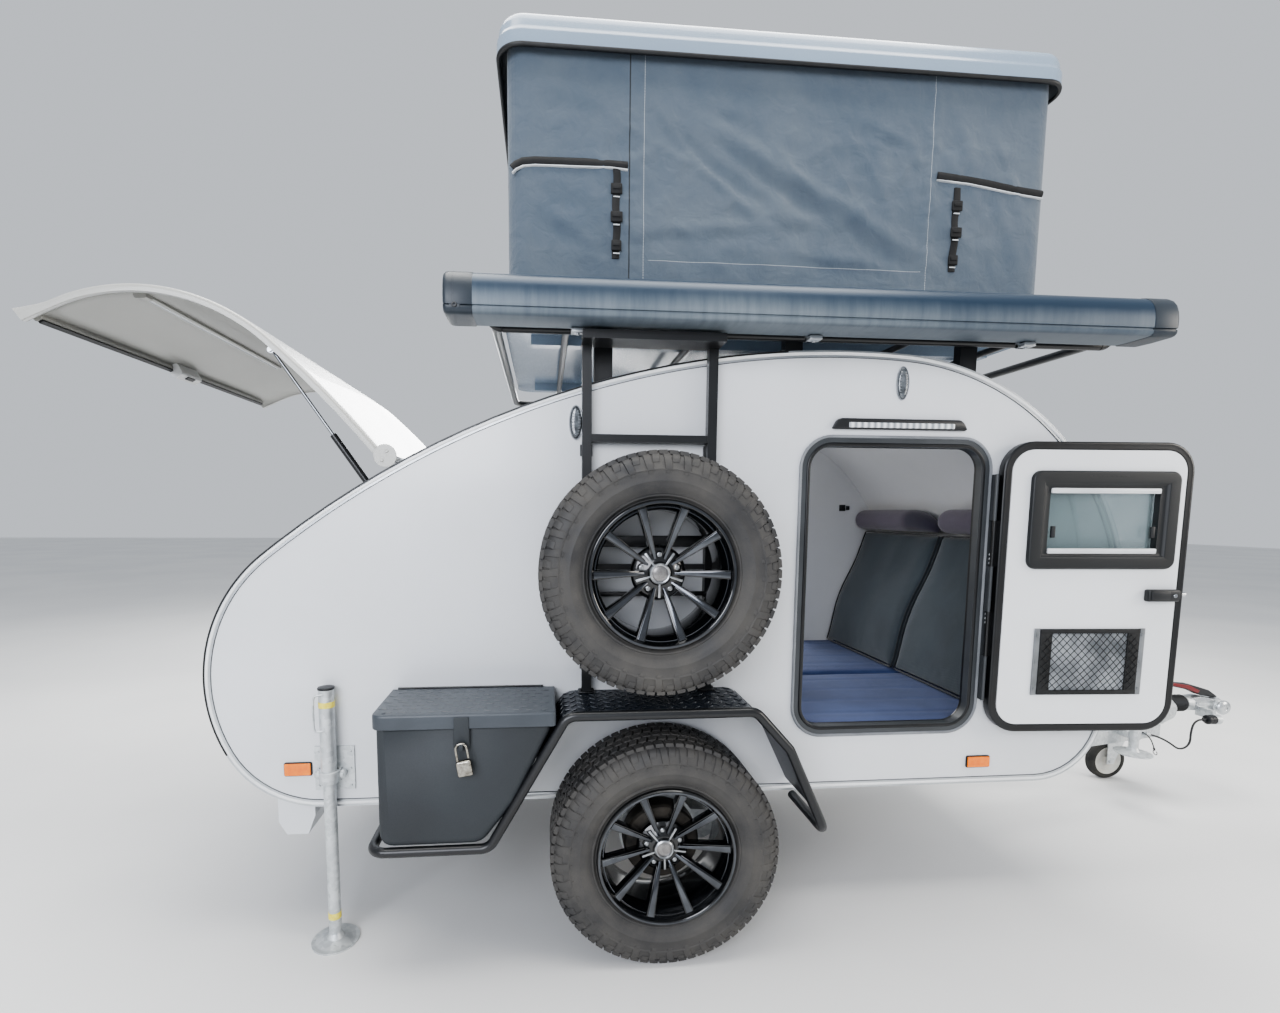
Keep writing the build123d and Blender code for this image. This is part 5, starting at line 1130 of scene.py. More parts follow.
def hang(piece, name, finish, instead=None):
    """Open a piece of the right leaf on its hinge, and give the left door its mirror image."""
    piece.data.transform(door_swing)
    piece.name = f"{name}_right"
    twin = copied(piece, f"{name}_left", MIRROR)
    for part, end in ((piece, "right"), (twin, "left")):
        fit(part, f"door_{end}", finish, [f"{instead}_{end}"] if instead else ())


def plate(name, x, z, half_x, half_z, y0, y1, edge, segments=3):
    """A block on the closed leaf's inside about a place, from y0 to y1."""
    return block(name, (x - half_x, y0, z - half_z), (x + half_x, y1, z + half_z), edge, segments)


SEAL_SECTION = [(0, -792), (0, -818), (-1.2, -820.6), (-4, -821.4), (-4, -797.5), (-27.5, -797.5),
                (-28, -793), (-26, -790.2), (-21, -789.2), (-14, -790.4), (-9, -789.2), (-3, -789.4)]
WINDOW_SECTION = [(0, -789.3), (0, -783), (-1, -779.5), (-3, -776.8), (-6, -775.3), (-7.5, -775.2),
                  (-39, -775.2), (-40.5, -775.4), (-43, -777), (-46.5, -781.4), (-51, -782.5),
                  (-58, -783.2), (-67, -783.2), (-67.3, -788), (-67.3, -825.5), (-62, -825.5),
                  (-45, -824.5), (-41, -822), (-41, -821.2), (-55.5, -821.0), (-55.5, -789.3)]
edge_seal = hoop("door_edge_seal", leaf_face(668, 1010, 102), SEAL_SECTION)
hang(edge_seal, "door_edge_rubber", door_rubber, "door_seal")
window = hoop("door_window_frame", leaf_face(521, 335, 32, -20, 240), WINDOW_SECTION)
hang(window, "door_window_frame", frame_plastic)
window_trim = []
for up in (100, -105):
    window_trim.append(plate("blind_cassette", WINDOW_X, WINDOW_Z + up, 192, 9, -787, -777, 4))
    window_trim.append(plate("blind_grip", WINDOW_X, WINDOW_Z + up, 186, 2, -778, -775.4, 0.8))
hang(joined("blinds", window_trim), "door_blind_cassettes", blind_white)
vents = [plate("vent_slot", WINDOW_X + 16 * step, WINDOW_Z + 149.5, 6, 1.5, -775.9, -774.6, 0.5, 1)
         for step in range(-4, 5)]
vents += [plate("stay_foot", WINDOW_X + way, WINDOW_Z - 40, 7, 20, -788, -779, 2.5) for way in (-176, 176)]
hang(joined("vents", vents), "door_window_fittings", black_abs)
pane_glass, tree, shader, place = new_material("window_tinted_acrylic")
haze = node(tree, "TexNoise", {"Vector": place, "Scale": 12.0, "Detail": 4.0})
tone = node(tree, "MixRGB", {"Fac": haze, "Color1": linear("8FA3A6"), "Color2": linear("A5B6B8")})
feed(shader, {"Base Color": tone,
              "Roughness": node(tree, "MapRange", {"Value": haze, "To Min": 0.03, "To Max": 0.08}),
              "Transmission Weight": 0.75, "IOR": 1.49, "Alpha": 0.72})
for end in ("right", "left"):
    paint_node(f"door_glass_{end}", pane_glass)

# Latch, outer handle, and the pocket's aluminium side strips, elastic bands and knotted net
latch_parts = [plate("latch_body", LATCH_X + 56, LATCH_Z, 56, 21, -789, -766, 6),
               plate("latch_paddle", LATCH_X + 71, LATCH_Z, 33, 15, -767.5, -763.4, 2.5),
               plate("latch_slide", LATCH_X - 10, LATCH_Z, 14, 13, -789.6, -787.6, 0.8)]
handle_face = lambda grow: rounded_face(LATCH_X + 65, LATCH_Z, 130, 60, 12, grow, 5)
latch_parts.append(stacked("outer_handle", handle_face, [(0, -821.3), (0, -829), (-2, -832), (-6, -833)]))
hang(joined("latch", latch_parts), "door_latch", black_abs, "door_fittings")
bolt_parts = [stick("bolt", (DOOR_X - 356, -805, LATCH_Z), (DOOR_X - 329, -805, LATCH_Z), 7, 20),
              stick("key_barrel", (LATCH_X + 20, -767, LATCH_Z), (LATCH_X + 20, -763, LATCH_Z), 7, 20)]
hang(joined("bolt", bolt_parts), "door_bolt", chrome)
STRIP_OFF, BAND_OFF = 188, 157
strips = [plate("pocket_strip", POCKET_X + way * STRIP_OFF, POCKET_Z, 10, 118, -789, -784, 1.5)
          for way in (-1, 1)]
for way in (-1, 1):
    for up in (-96, 0, 96):
        x, z = POCKET_X + way * STRIP_OFF, POCKET_Z + up
        strips.append(stick("strip_screw", (x, -785, z), (x, -782, z), 5, 14))
strip_grey = surface("pocket_strip_aluminium", "8A8D90", "74777A", 60, 1.2, 0.42, 0.03, 0.7)
hang(joined("strips", strips), "pocket_side_strips", strip_grey)
net_parts = [plate("side_band", POCKET_X + way * BAND_OFF, POCKET_Z, 21, 116, -787.4, -782, 1.5)
             for way in (-1, 1)]
net_parts += [plate("elastic_band", POCKET_X, POCKET_Z + up, 179, 8, -787, -781.4, 2) for up in (-109, 109)]


def net_point(along, up):
    """A place on the net, which bellies out a little from the leaf."""
    belly = 13 * (1 - (along / 190) ** 2) * (1 - (up / 118) ** 2)
    return (POCKET_X + along, -784 + belly, POCKET_Z + up)


def strand(start, end, radius, steps=10):
    """A thin cord across the net between two (along, up) places."""
    rings = []
    for step in range(steps + 1):
        share = step / steps
        at = net_point(start[0] + (end[0] - start[0]) * share, start[1] + (end[1] - start[1]) * share)
        run = Vector((end[0] - start[0], 0, end[1] - start[1])).normalized()
        flat = Vector((-run.z, 0, run.x))
        rings.append([tuple(Vector(at) + flat * radius * cos(turn_at)
                            + Vector((0, radius * sin(turn_at), 0)))
                      for turn_at in (0, 2 * pi / 3, 4 * pi / 3)])
    return lofted("net_strand", rings, False, False, 60)


NET_PITCH, NET_SIDE, NET_UP, NET_SLOPE = 26, 178, 101, 0.95
for step in range(-8, 23):
    for lean in (-1, 1):
        foot = step * NET_PITCH - NET_SIDE + (0 if lean > 0 else 192)
        xa, xb = foot, foot + 2 * NET_UP * NET_SLOPE * lean
        inside = sorted((limit - xa) / (xb - xa) for limit in (-NET_SIDE, NET_SIDE))
        first, last = max(0.0, inside[0]), min(1.0, inside[1])
        if last - first > 0.04:
            ends = [(xa + (xb - xa) * share, -NET_UP + 2 * NET_UP * share) for share in (first, last)]
            net_parts.append(strand(*ends, 1.25))
net_cord = surface("pocket_net_cord", "0C0D0F", "17191B", 18, 0.9, 0.7, 0.1)
hang(joined("net", net_parts), "pocket_net", net_cord)
for end in ("right", "left"):
    backing = stacked(f"pocket_backing_{end}",
                      lambda grow: rounded_face(POCKET_X, POCKET_Z, 356, 206, 4, grow, 3),
                      [(0, -789.4), (0, -788.6)])
    backing.data.transform(door_swing)
    if end == "left":
        backing.data.transform(MIRROR)
        backing.data.flip_normals()
    fit(backing, f"door_{end}",
        surface(f"pocket_liner_{end}", "9DA1A5", "5E6266", 90, 2.5, 0.7, 0.1))

# Opening: rubber frame with a raised pale bead at the wall and a soft bulb that the leaf shuts on
rivet_bright = surface("hinge_rivet_aluminium", "D2D4D6", "BDBFC2", 8, 0.8, 0.3, 0.02, 0.6)
bead_grey = surface("frame_bead_grey", "85888C", "6F7276", 120, 1.2, 0.42, 0.04)
BEAD_SECTION = [(0.5, 780.4), (1.2, 783), (0.4, 786.2), (-3, 788.2), (-7, 787.4), (-9, 783.5)]
BULB_SECTION = [(-24, 783.5), (-25, 785.6), (-28, 787), (-32, 787), (-35.4, 785), (-36.6, 781),
                (-36.6, 758), (-37.8, 750), (-37, 745.5), (-30, 745.5)]
SCREW_ROWS = [-316 + group * 210 + step * 15 for group in range(4) for step in (-1, 0, 1)] + [-380, 380]
opening_face = lambda grow: rounded_face(DOOR_X, DOOR_Z, 684, 1040, 110, grow, 10)
for side, end in ((-1, "right"), (1, "left")):
    bead = hoop(f"door_frame_bead_{end}", opening_face, sided(side, BEAD_SECTION))
    fit(bead, "trailer", bead_grey)
    bulb = hoop(f"door_frame_bulb_{end}", opening_face, sided(side, BULB_SECTION))
    fit(bulb, "trailer", door_rubber)
    screws = [stick("hinge_screw", (1176, side * 782.4, DOOR_Z + up), (1176, side * 785.4, DOOR_Z + up),
                    4.2, 12) for up in SCREW_ROWS]
    fit(joined(f"hinge_screws_{end}", screws), "trailer", rivet_bright)

# Rear hatch: a thin one-piece moulding in gel coat whose sides turn down in one soft curve, kicked
# out at its lip. A light runs across its inside, and a latch box sits on the lip's closing bar.
moulding = surface("hatch_gelcoat_inside", "9B9B97", "92928E", 600, 2.5, 0.34, 0.03, 0.0, 0.06, coat=0.15)
hatch_outer, tree, shader, place = new_material("hatch_gelcoat_outside")
reach = node(tree, "Math", {0: node(tree, "SeparateXYZ", {"Vector": place}).outputs["Y"]},
             operation="ABSOLUTE")
# Painted shade: the turned-down sides, beyond 777 mm from the middle, are drawn a darker grey than the top
flange_painted_shade = node(tree, "MapRange", {"Value": reach, "From Min": 0.777, "From Max": 0.783})
film = node(tree, "TexNoise", {"Vector": place, "Scale": 1.7, "Detail": 4.0})
tone = node(tree, "MixRGB", {"Fac": film, "Color1": linear("D2D3D3"), "Color2": linear("C4C5C5")})
tone = node(tree, "MixRGB", {"Fac": flange_painted_shade, "Color1": tone, "Color2": linear("A3A39F")})
peel = node(tree, "TexNoise", {"Vector": place, "Scale": 1000 / 6, "Detail": 2.0})
feed(shader, {"Base Color": tone,
              "Roughness": node(tree, "MapRange", {"Value": film, "To Min": 0.24, "To Max": 0.38}),
              "Normal": node(tree, "Bump", {"Height": peel, "Distance": 0.00005, "Strength": 0.5}),
              "Coat Weight": 0.2})
HATCH_PIN = (-865.4, 1586.0)
HATCH_HEADINGS = (210.2, 297)
hatch_swing = about(spot(HATCH_PIN[0], 0, HATCH_PIN[1]), Matrix.Rotation(radians(81), 4, "Y"))
HALF_OUTER = [(785, -5.5), (785.5, -14), (785, -21), (782.5, -25.5), (777, -28), (740, -29), (640, -29.6),
              (480, -30), (260, -30), (90, -30)]
HALF_INNER = [(768, -5.5), (765, -8), (757, -11.5), (738, -16.5), (704, -20.6), (650, -23), (560, -24.4),
              (420, -25), (240, -25), (90, -25)]


def skin_place(heading, inset, y):
    """A place on the body's skin, drawn in by an inset."""
    x, z = skin_point(heading, inset)
    return (x, y, z)


def along_hatch(name, section, first, last, steps=56):
    """A skin drawn along the closed hatch from a section of (y, inset), then opened on its hinge."""
    rings = []
    for step in range(steps + 1):
        heading = first + (last - first) * step / steps
        kick = 30 * max(0, (heading - 287) / 10) ** 1.6
        rings.append([skin_place(heading, inset - kick * min(1, 0.3 + max(0, -inset - 5.5) / 20), y)
                      for y, inset in section])
    piece = lofted(name, rings, True, True, 50)
    piece.data.transform(hatch_swing)
    return piece


shell_section = HALF_OUTER + [(-y, inset) for y, inset in reversed(HALF_OUTER)]
shell_section += [(-y, inset) for y, inset in HALF_INNER] + HALF_INNER[::-1]
hatch_skin = along_hatch("hatch_moulding", shell_section, *HATCH_HEADINGS)
lining_section = [(y, inset + 0.9) for y, inset in HALF_INNER]
lining_section += [(-y, inset + 0.9) for y, inset in reversed(HALF_INNER)]
lining_section += [(-y, inset - 0.6) for y, inset in HALF_INNER]
lining_section += [(y, inset - 0.6) for y, inset in reversed(HALF_INNER)]
hatch_inside = along_hatch("hatch_inside_face", lining_section, HATCH_HEADINGS[0] + 0.3,
                           HATCH_HEADINGS[1] - 0.2)
fit(hatch_skin, "hatch", hatch_outer, ["hatch_shell"])
fit(hatch_inside, "hatch", moulding)
paint_node("hatch_hinge", anodised)


def across_hatch(name, section, y0, y1, finish):
    """A piece across the hatch: the (heading, inset) corners of its section, from y0 to y1."""
    rings = [[skin_place(heading, inset, y) for heading, inset in section] for y in (y0, y1)]
    piece = lofted(name, rings, True, True, 30)
    piece.data.transform(hatch_swing)
    return fit(piece, "hatch", finish)


across_hatch("hatch_closing_bar",
             [(293.6, -38), (293.8, -26), (294.2, -22), (295.9, -22), (296.3, -26), (296.6, -46)], -733,
             733, moulding)
lip_strip = across_hatch("hatch_lip_gasket",
                         [(294.5, -22.4), (294.5, -15.5), (295.9, -15.5), (295.9, -22.4)], -728, 728,
                         frame_plastic)
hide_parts("hatch_fittings")
across_hatch("hatch_light_rail",
             [(262, -26), (262, -15), (262.6, -12), (264.4, -12), (265, -15), (265, -26)], -690, 260,
             moulding)
across_hatch("hatch_light_lens", [(262.7, -13), (262.9, -10.4), (264.1, -10.4), (264.3, -13)], -676, 246,
             clear_lens)
across_hatch("hatch_light_plug",
             [(261.4, -26), (261.6, -8), (262.2, -5), (264.8, -5), (265.4, -8), (265.6, -26)], -722, -690,
             moulding)
across_hatch("hatch_latch_box",
             [(291.6, -36), (291.8, 8), (292.4, 13), (295.4, 13), (296.2, 8), (296.6, -40)], -72, 72,
             hatch_outer)
across_hatch("hatch_latch_jaw", [(292.6, 12.4), (292.6, 17), (294.4, 17), (294.4, 12.4)], -26, 26,
             frame_plastic)
STRUT_SECTION = [(219.3, -23), (219.3, 2), (219.6, 12), (220, 15), (220.4, 12), (220.7, 2), (220.7, -23)]
for side, end in ((-1, "right"), (1, "left")):
    across_hatch(f"strut_bracket_{end}", STRUT_SECTION, side * 704, side * 699, anodised)
HINGE_KNUCKLES, HINGE_HALF = 5, 748
CHEEK_LINE = [(0, 0), (35, 0), (36, 1), (36, 2.2), (35, 3), (0, 3)]
CHEEK_BOLT_LINE = [(0, 4), (4.4, 4), (5.4, 3), (5.4, 0), (0, 0)]
hinge_parts = []
pin_x, pin_z = HATCH_PIN
for index in range(1, HINGE_KNUCKLES, 2):
    y0 = index * 2 * HINGE_HALF / HINGE_KNUCKLES - HINGE_HALF + 0.5
    y1 = y0 + 2 * HINGE_HALF / HINGE_KNUCKLES - 1
    hinge_parts.append(stick("hatch_knuckle", (pin_x, y0, pin_z), (pin_x, y1, pin_z), 7, 16))
    rings = [[(pin_x, y, pin_z - 3), (pin_x, y, pin_z + 3), skin_place(210.3, -29, y),
              skin_place(210.3, -22, y)] for y in (y0, y1)]
    hinge_parts.append(lofted("hatch_hinge_web", rings, True, True, 30))
for side in (-1, 1):
    hinge_parts.append(turned("hinge_cheek", CHEEK_LINE, spot(pin_x - 8, side * 787, pin_z - 4),
                              (0, side, 0), 36))
    for x, z in ((-886, 1590), (-860, 1570)):
        hinge_parts.append(turned("cheek_bolt", CHEEK_BOLT_LINE, spot(x, side * 789.6, z), (0, side, 0), 6))
for part in hinge_parts:
    part.data.transform(hatch_swing)
fit(joined("hatch_hinge_leaf", hinge_parts), "hatch", hatch_outer)
# Closing seal round the opening, as (inset, y) of its section
OPENING_SEAL = [(2, 782.6), (2, 784.2), (-3, 784.2), (-3.7, 783), (-3.7, 764), (-1.8, 764), (-1.8, 782.6)]
for side, end in ((-1, "right"), (1, "left")):
    rings = [[skin_place(184 + 113 * step / 60, inset, side * y) for inset, y in OPENING_SEAL]
             for step in range(61)]
    seal_strip = lofted(f"hatch_opening_seal_{end}", rings, True, True, 50)
    fit(seal_strip, "trailer", door_rubber)

# Gas struts: black painted cylinders with a polished rod, a ball stud at the top end
strut_black = surface("strut_black_paint", "121315", "1B1C1E", 60, 1.0, 0.32, 0.02)
rod_chrome = surface("strut_rod_hard_chrome", "8E9195", "74777B", 60, 0.6, 0.18, 0.01, 1.0, 0.04)
paint_node("strut_cylinders", strut_black)
paint_node("strut_rods", rod_chrome)

# Cabin: foam mattresses in a blue-grey woven cover with a stitched border, two slate seat backs
# with piped edges, and loose bolsters above them. Pads are blown up gently with cloth, then sewn.
PRESS_FRAMES, QUICK_VOXELS = 20, 2.0


def woven(name, light, dark, thread_mm, patch_mm, rough=0.9, sheen=0.25, relief_mm=0.25):
    """Upholstery cloth: crossed threads of a real pitch, soft wear patches and a fibre sheen."""
    material, tree, shader, place = new_material(name)
    axes = node(tree, "SeparateXYZ", {"Vector": place})
    waves = []
    for axis in "XYZ":
        turns = node(tree, "Math", {0: axes.outputs[axis], 1: 2 * pi * 1000 / thread_mm},
                     operation="MULTIPLY")
        waves.append(node(tree, "Math", {0: turns}, operation="SINE"))
    pair = node(tree, "Math", {0: waves[0], 1: waves[1]}, operation="MULTIPLY")
    weave = node(tree, "Math", {0: pair, 1: waves[2]}, operation="ADD")
    patches = node(tree, "TexNoise",
                   {"Vector": place, "Scale": 1000 / patch_mm, "Detail": 5.0, "Roughness": 0.6})
    share = node(tree, "MapRange", {"Value": patches, "From Min": 0.3, "From Max": 0.7})
    tone = node(tree, "MixRGB", {"Fac": share, "Color1": linear(light), "Color2": linear(dark)})
    shade = node(tree, "MapRange",
                 {"Value": weave, "From Min": -1.6, "From Max": 1.6, "To Min": 0.86, "To Max": 1.08})
    tinted = node(tree, "VectorMath", {0: tone, "Scale": shade}, operation="SCALE")
    relief = node(tree, "Bump", {"Height": weave, "Distance": relief_mm / 1000, "Strength": 0.6})
    relief = node(tree, "Bump", {"Height": patches, "Distance": 0.004, "Strength": 0.4, "Normal": relief})
    feed(shader, {"Base Color": tinted, "Normal": relief, "Roughness": rough, "Sheen Weight": sheen})
    return material


def puffed(piece, voxel_mm, swell_mm, keep_flat=None):
    """Blow a pad up like filled cloth: remesh, press, cap the swelling, smooth."""
    bpy.ops.object.select_all(action="DESELECT")
    piece.select_set(True)
    bpy.context.view_layer.objects.active = piece
    mesher = piece.modifiers.new("remesh", "REMESH")
    mesher.mode = "VOXEL"
    mesher.voxel_size = voxel_mm / 1000 * 1.0
    bpy.ops.object.modifier_apply(modifier="remesh")
    rest = [vertex.co.copy() for vertex in piece.data.vertices]
    cloth = piece.modifiers.new("cloth", "CLOTH")
    cloth.settings.use_pressure = True
    cloth.settings.uniform_pressure_force = 4
    cloth.settings.quality = 5
    cloth.settings.effector_weights.gravity = 0
    cloth.collision_settings.use_self_collision = False
    for frame_number in range(1, PRESS_FRAMES + 1):
        bpy.context.scene.frame_set(frame_number)
    bpy.context.view_layer.objects.active = piece
    bpy.ops.object.modifier_apply(modifier="cloth")
    bpy.context.scene.frame_set(1)
    for vertex, start in zip(piece.data.vertices, rest):
        move = vertex.co - start
        if move.length > swell_mm / 1000:
            move = move.normalized() * swell_mm / 1000
        if keep_flat and start.z < keep_flat:
            move.z = max(0, move.z) * 0.1
        vertex.co = start + move
    smoother = piece.modifiers.new("settle", "SMOOTH")
    smoother.iterations = 2
    bpy.ops.object.modifier_apply(modifier="settle")
    return settle(piece, 60)


def welt(name, line, radius, steps=6):
    """A piping cord along a closed line of places in millimetres."""
    rings = []
    for index, place in enumerate(line):
        run = (Vector(line[(index + 1) % len(line)]) - Vector(line[index - 1])).normalized()
        side = run.orthogonal() if abs(run.y) > 0.98 else run.cross(Vector((0, 1, 0)))
        side.normalize()
        lift = run.cross(side)
        rings.append([tuple(Vector(place) + side * radius * cos(spin) + lift * radius * sin(spin))
                      for spin in [2 * pi * step / steps for step in range(steps)]])
    return lofted(name, rings + [rings[0]], False, False, 60)


mattress_cloth = woven("mattress_cover_blue_grey", "3C4D78", "314068", 3.2, 170, sheen=0.08)
slate_cloth = woven("seat_cover_slate", "2E3A42", "242F37", 2.8, 140, 0.85)
bolster_cloth = woven("bolster_cover_mauve_grey", "605967", "534D5A", 2.8, 120)
piping_cloth = woven("piping_dark", "181C21", "20262B", 2.0, 60)


def border_line(x0, x1, y0, y1, z, corner, spacing=40):
    """Places round a level rounded rectangle."""
    steps = [max(2, int(length / spacing)) for length in (x1 - x0, y1 - y0)]
    loop = rounded_loop(0, x1 - x0, (y1 - y0) / 2, corner, z, steps, 6)
    return [(x + x0, y + (y0 + y1) / 2, height) for x, y, height in loop]


MATTRESS = (-598, 1540, 3, 745.7, 560.3, 660.3)
QUILT_LINES = (150, 300, 450, 600)
STITCH = 14
x0, x1, y0, y1, z0, z1 = MATTRESS
pad = block("mattress_left", (x0 + 8, y0 + 6, z0 + 1), (x1 - 8, y1 - 6, z1 - 6), 20, 4)
pad = puffed(pad, 14, 7, spot(0, 0, z0 + 20).z)
for vertex in pad.data.vertices:
    x, y, z = (vertex.co - spot(0, 0, 0)) * 1000
    if z > z1 - 25:
        near_edge = min(x - x0, x1 - x, y - y0, y1 - y)
        for lane_y in QUILT_LINES:
            vertex.co.z -= 0.0030 * max(0, 1 - abs(y - lane_y) / 16) * min(1, near_edge / 60)
        vertex.co.z += 0.0022 * wobble(x / 300, y / 220, 1.3)
pads = [pad, copied(pad, "mattress_right", MIRROR)]
for piece, side, end in zip(pads, (1, -1), ("left", "right")):
    fit(piece, "trailer", mattress_cloth)
    low_y, high_y = sorted((side * y0, side * y1))
    cords = [welt("mattress_welt", border_line(x0 + 5, x1 - 5, low_y + 4, high_y - 4, z, 30), 3.2)
             for z in (z0 + 12, z1 - 13)]
    for lane_y in QUILT_LINES:
        y, z = side * lane_y, z1 - 5.2
        rings = [[(x, y - 0.9, z), (x, y, z + 0.9), (x, y + 0.9, z)]
                 for x in [x0 + 60 + step * STITCH for step in range(int((x1 - x0 - 120) / STITCH))]]
        cords.append(lofted("quilt_stitch", rings, False, False, 60))
    fit(joined(f"mattress_piping_{end}", cords), "trailer", mattress_cloth)
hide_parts("mattresses")

# Seat backs lean on the front panel, fuller at the small of the back, with a piped outline
BACK_FRONT = Vector((1300, 661)), Vector((1520, 1322))  # foot and top of the front face, in x and z
BACK_REAR = Vector((1390, 661)), Vector((1598, 1322))
BACK_STEPS = 16


def back_point(share, depth):
    """A place on a seat back's side: share up from the mattress, depth from its front to its back."""
    front, rear = (foot.lerp(top, share) for foot, top in (BACK_FRONT, BACK_REAR))
    bulge = 26 * sin(pi * min(1, share * 1.25)) ** 2 * (1 - depth)
    return front.lerp(rear, depth) + Vector((-bulge, bulge * 0.33))


rings = []
for y, shrink in ((9, 0.09), (13, 0.035), (22, 0.0), (360, 0.0), (684, 0.0), (693, 0.035), (697, 0.09)):
    shares = [0.012 + 0.976 * step / BACK_STEPS for step in range(BACK_STEPS + 1)]
    outline = [back_point(share, 0.04 + shrink) for share in shares]
    outline += [back_point(share, 0.96 - shrink) for share in reversed(shares)]
    rings.append([(point.x, y, point.y) for point in outline])
back = puffed(lofted("seat_back_left", rings, True, True, 60), 11, 9)
for vertex in back.data.vertices:
    y = vertex.co.y * 1000
    z = vertex.co.z * 1000 + 445
    vertex.co.x += 0.0035 * wobble(y / 160, z / 190, 4.2)
backs = [back, copied(back, "seat_back_right", MIRROR)]
for piece, side, end in zip(backs, (1, -1), ("left", "right")):
    fit(piece, "trailer", slate_cloth)
    sides_share = [0.02 + 0.96 * step / 24 for step in range(25)]
    across = [30 + 640 * step / 18 for step in range(19)]
    marks = [(share, 12, 0) for share in sides_share] + [(0.985, y, 2) for y in across]
    marks += [(share, 694, 0) for share in reversed(sides_share)] + [(0.02, y, -4)
                                                                     for y in reversed(across)]
    points = [(back_point(share, 0.1), y, lift) for share, y, lift in marks]
    cord = welt("back_welt", [(point.x - 2, side * y, point.y + lift) for point, y, lift in points], 4)
    fit(joined(f"seat_back_piping_{end}", [cord]), "trailer", piping_cloth)
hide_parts("seat_backs")

# Bolsters: rolled foam in a tight mauve cover. The far one's inner end is drawn out and droops, and its
# cover is drawn dark plum there as a painted shade; the near one ends round.
far_cloth = woven("bolster_cover_mauve_with_painted_end_shade", "605967", "534D5A", 2.8, 120)
tree = far_cloth.node_tree
shader = tree.nodes["Principled BSDF"]
mauve = shader.inputs["Base Color"].links[0].from_socket
along = node(tree, "SeparateXYZ", {"Vector": node(tree, "TexCoord").outputs["Object"]}).outputs["Y"]
# Painted shade: the far bolster's inner end is drawn dark plum
end_shade_share = node(tree, "MapRange", {"Value": along, "From Min": 0.262, "From Max": 0.205})
painted_end_shade = node(tree, "MixRGB", {"Fac": end_shade_share, "Color1": mauve, "Color2": linear("2B2839")})
feed(shader, {"Base Color": painted_end_shade})
FOAM_RADIUS, END_STEPS = 57, 14
for end, side, taper, droop, cloth in (("left", 1, 230, 0.056, far_cloth),
                                       ("right", -1, 60, 0, bolster_cloth)):
    profile = [(FOAM_RADIUS * sqrt(1 - (1 - step / END_STEPS) ** 2), 8 + taper * step / END_STEPS)
               for step in range(END_STEPS + 1)]
    profile += [(57.5, 343), (57, 480), (56, 700), (53, 720), (46, 731), (34, 735), (0, 735)]
    roll = turned(f"bolster_{end}", profile, spot(1522, side * 4, 1382.3), (0, side, 0), 40)
    for vertex in roll.data.vertices:
        share = min(1, max(0, (abs(vertex.co.y) * 1000 - 12) / taper))
        vertex.co.z -= droop * (1 - sqrt(1 - (1 - share) ** 2))
    fit(puffed(roll, 8, 5), "trailer", cloth)
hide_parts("bolsters")

# Furniture: light grey laminate boards with the grain of their printed paper
laminate, tree, shader, place = new_material("furniture_grey_laminate")
streaks = node(tree, "Mapping", {"Vector": place, "Scale": (3.0, 40.0, 60.0)})
figure = node(tree, "TexNoise", {"Vector": streaks, "Scale": 4.0, "Detail": 5.0})
tone = node(tree, "MixRGB", {"Fac": figure, "Color1": linear("8F8A84"), "Color2": linear("A8A39C")})
feed(shader, {"Base Color": tone,
              "Roughness": node(tree, "MapRange", {"Value": figure, "To Min": 0.42, "To Max": 0.6}),
              "Normal": node(tree, "Bump", {"Height": figure, "Distance": 0.0002, "Strength": 0.4})})
paint_node("furniture", laminate)
socket = joined("wall_socket", [block("socket_plate", (1378, 744, 1432), (1414, 749.8, 1468), 1.5),
                                block("socket_plate", (1420, 744, 1438), (1440, 749.8, 1462), 1.5),
                                stick("socket_hole", (1396, 744.5, 1450), (1396, 741, 1450), 9, 20)])
fit(socket, "trailer", black_abs)

# Fenders: black powder-coated tread plate bent over the wheel, set inside a bent steel tube that
# runs on under the toolbox. The lozenges are rolled into the plate in rows that lean both ways.
powder_black = surface("powder_coat_black", "0E0F12", "16181B", 160, 1.4, 0.36, 0.06, 0.0, 0.06, coat=0.15)
plate_black = surface("tread_plate_black", "141A24", "1C232D", 140, 2.0, 0.42, 0.08, 0.0, 0.06)
# Painted highlight: the lozenges are drawn lighter than the plate, for the sky's reflection on their tops;
# metal and coat give them their gloss
lozenge_painted_highlight = surface("tread_plate_lozenges_painted_highlight", "2C3036", "3B4046", 40, 1.5, 0.22, 0.06, 0.5, 0.06,
                       coat=0.4)
PLATE_ROWS, ROW_PITCH = 11, 21.5
PLATE_LINE = [(-400, 665), (-309, 822), (262, 822), (372, 700), (470, 494)]


def soft_corner(first, corner, last, share):
    """A place on the curve that rounds a corner between two places."""
    return first.lerp(corner, share).lerp(corner.lerp(last, share), share)


def bent_line(points, radius, spacing):
    """Places and headings along a line of straight runs with rounded corners."""
    places = [Vector(point) for point in points]
    path = [places[0]]
    for before, corner, after in zip(places, places[1:], places[2:]):
        into, out = (corner - before).normalized(), (after - corner).normalized()
        turn_by = into.angle(out)
        cut = radius * tan(turn_by / 2)
        first, last = corner - into * cut, corner + out * cut
        path += [soft_corner(first, corner, last, step / 8) for step in range(9)]
    path.append(places[-1])
    marks, left = [], spacing / 2
    for start, end in zip(path, path[1:]):
        length = (end - start).length
        while left <= length:
            at = start.lerp(end, left / length)
            marks.append((at.x, at.y, atan2(end.y - start.y, end.x - start.x)))
            left += spacing
        left -= length
    return marks


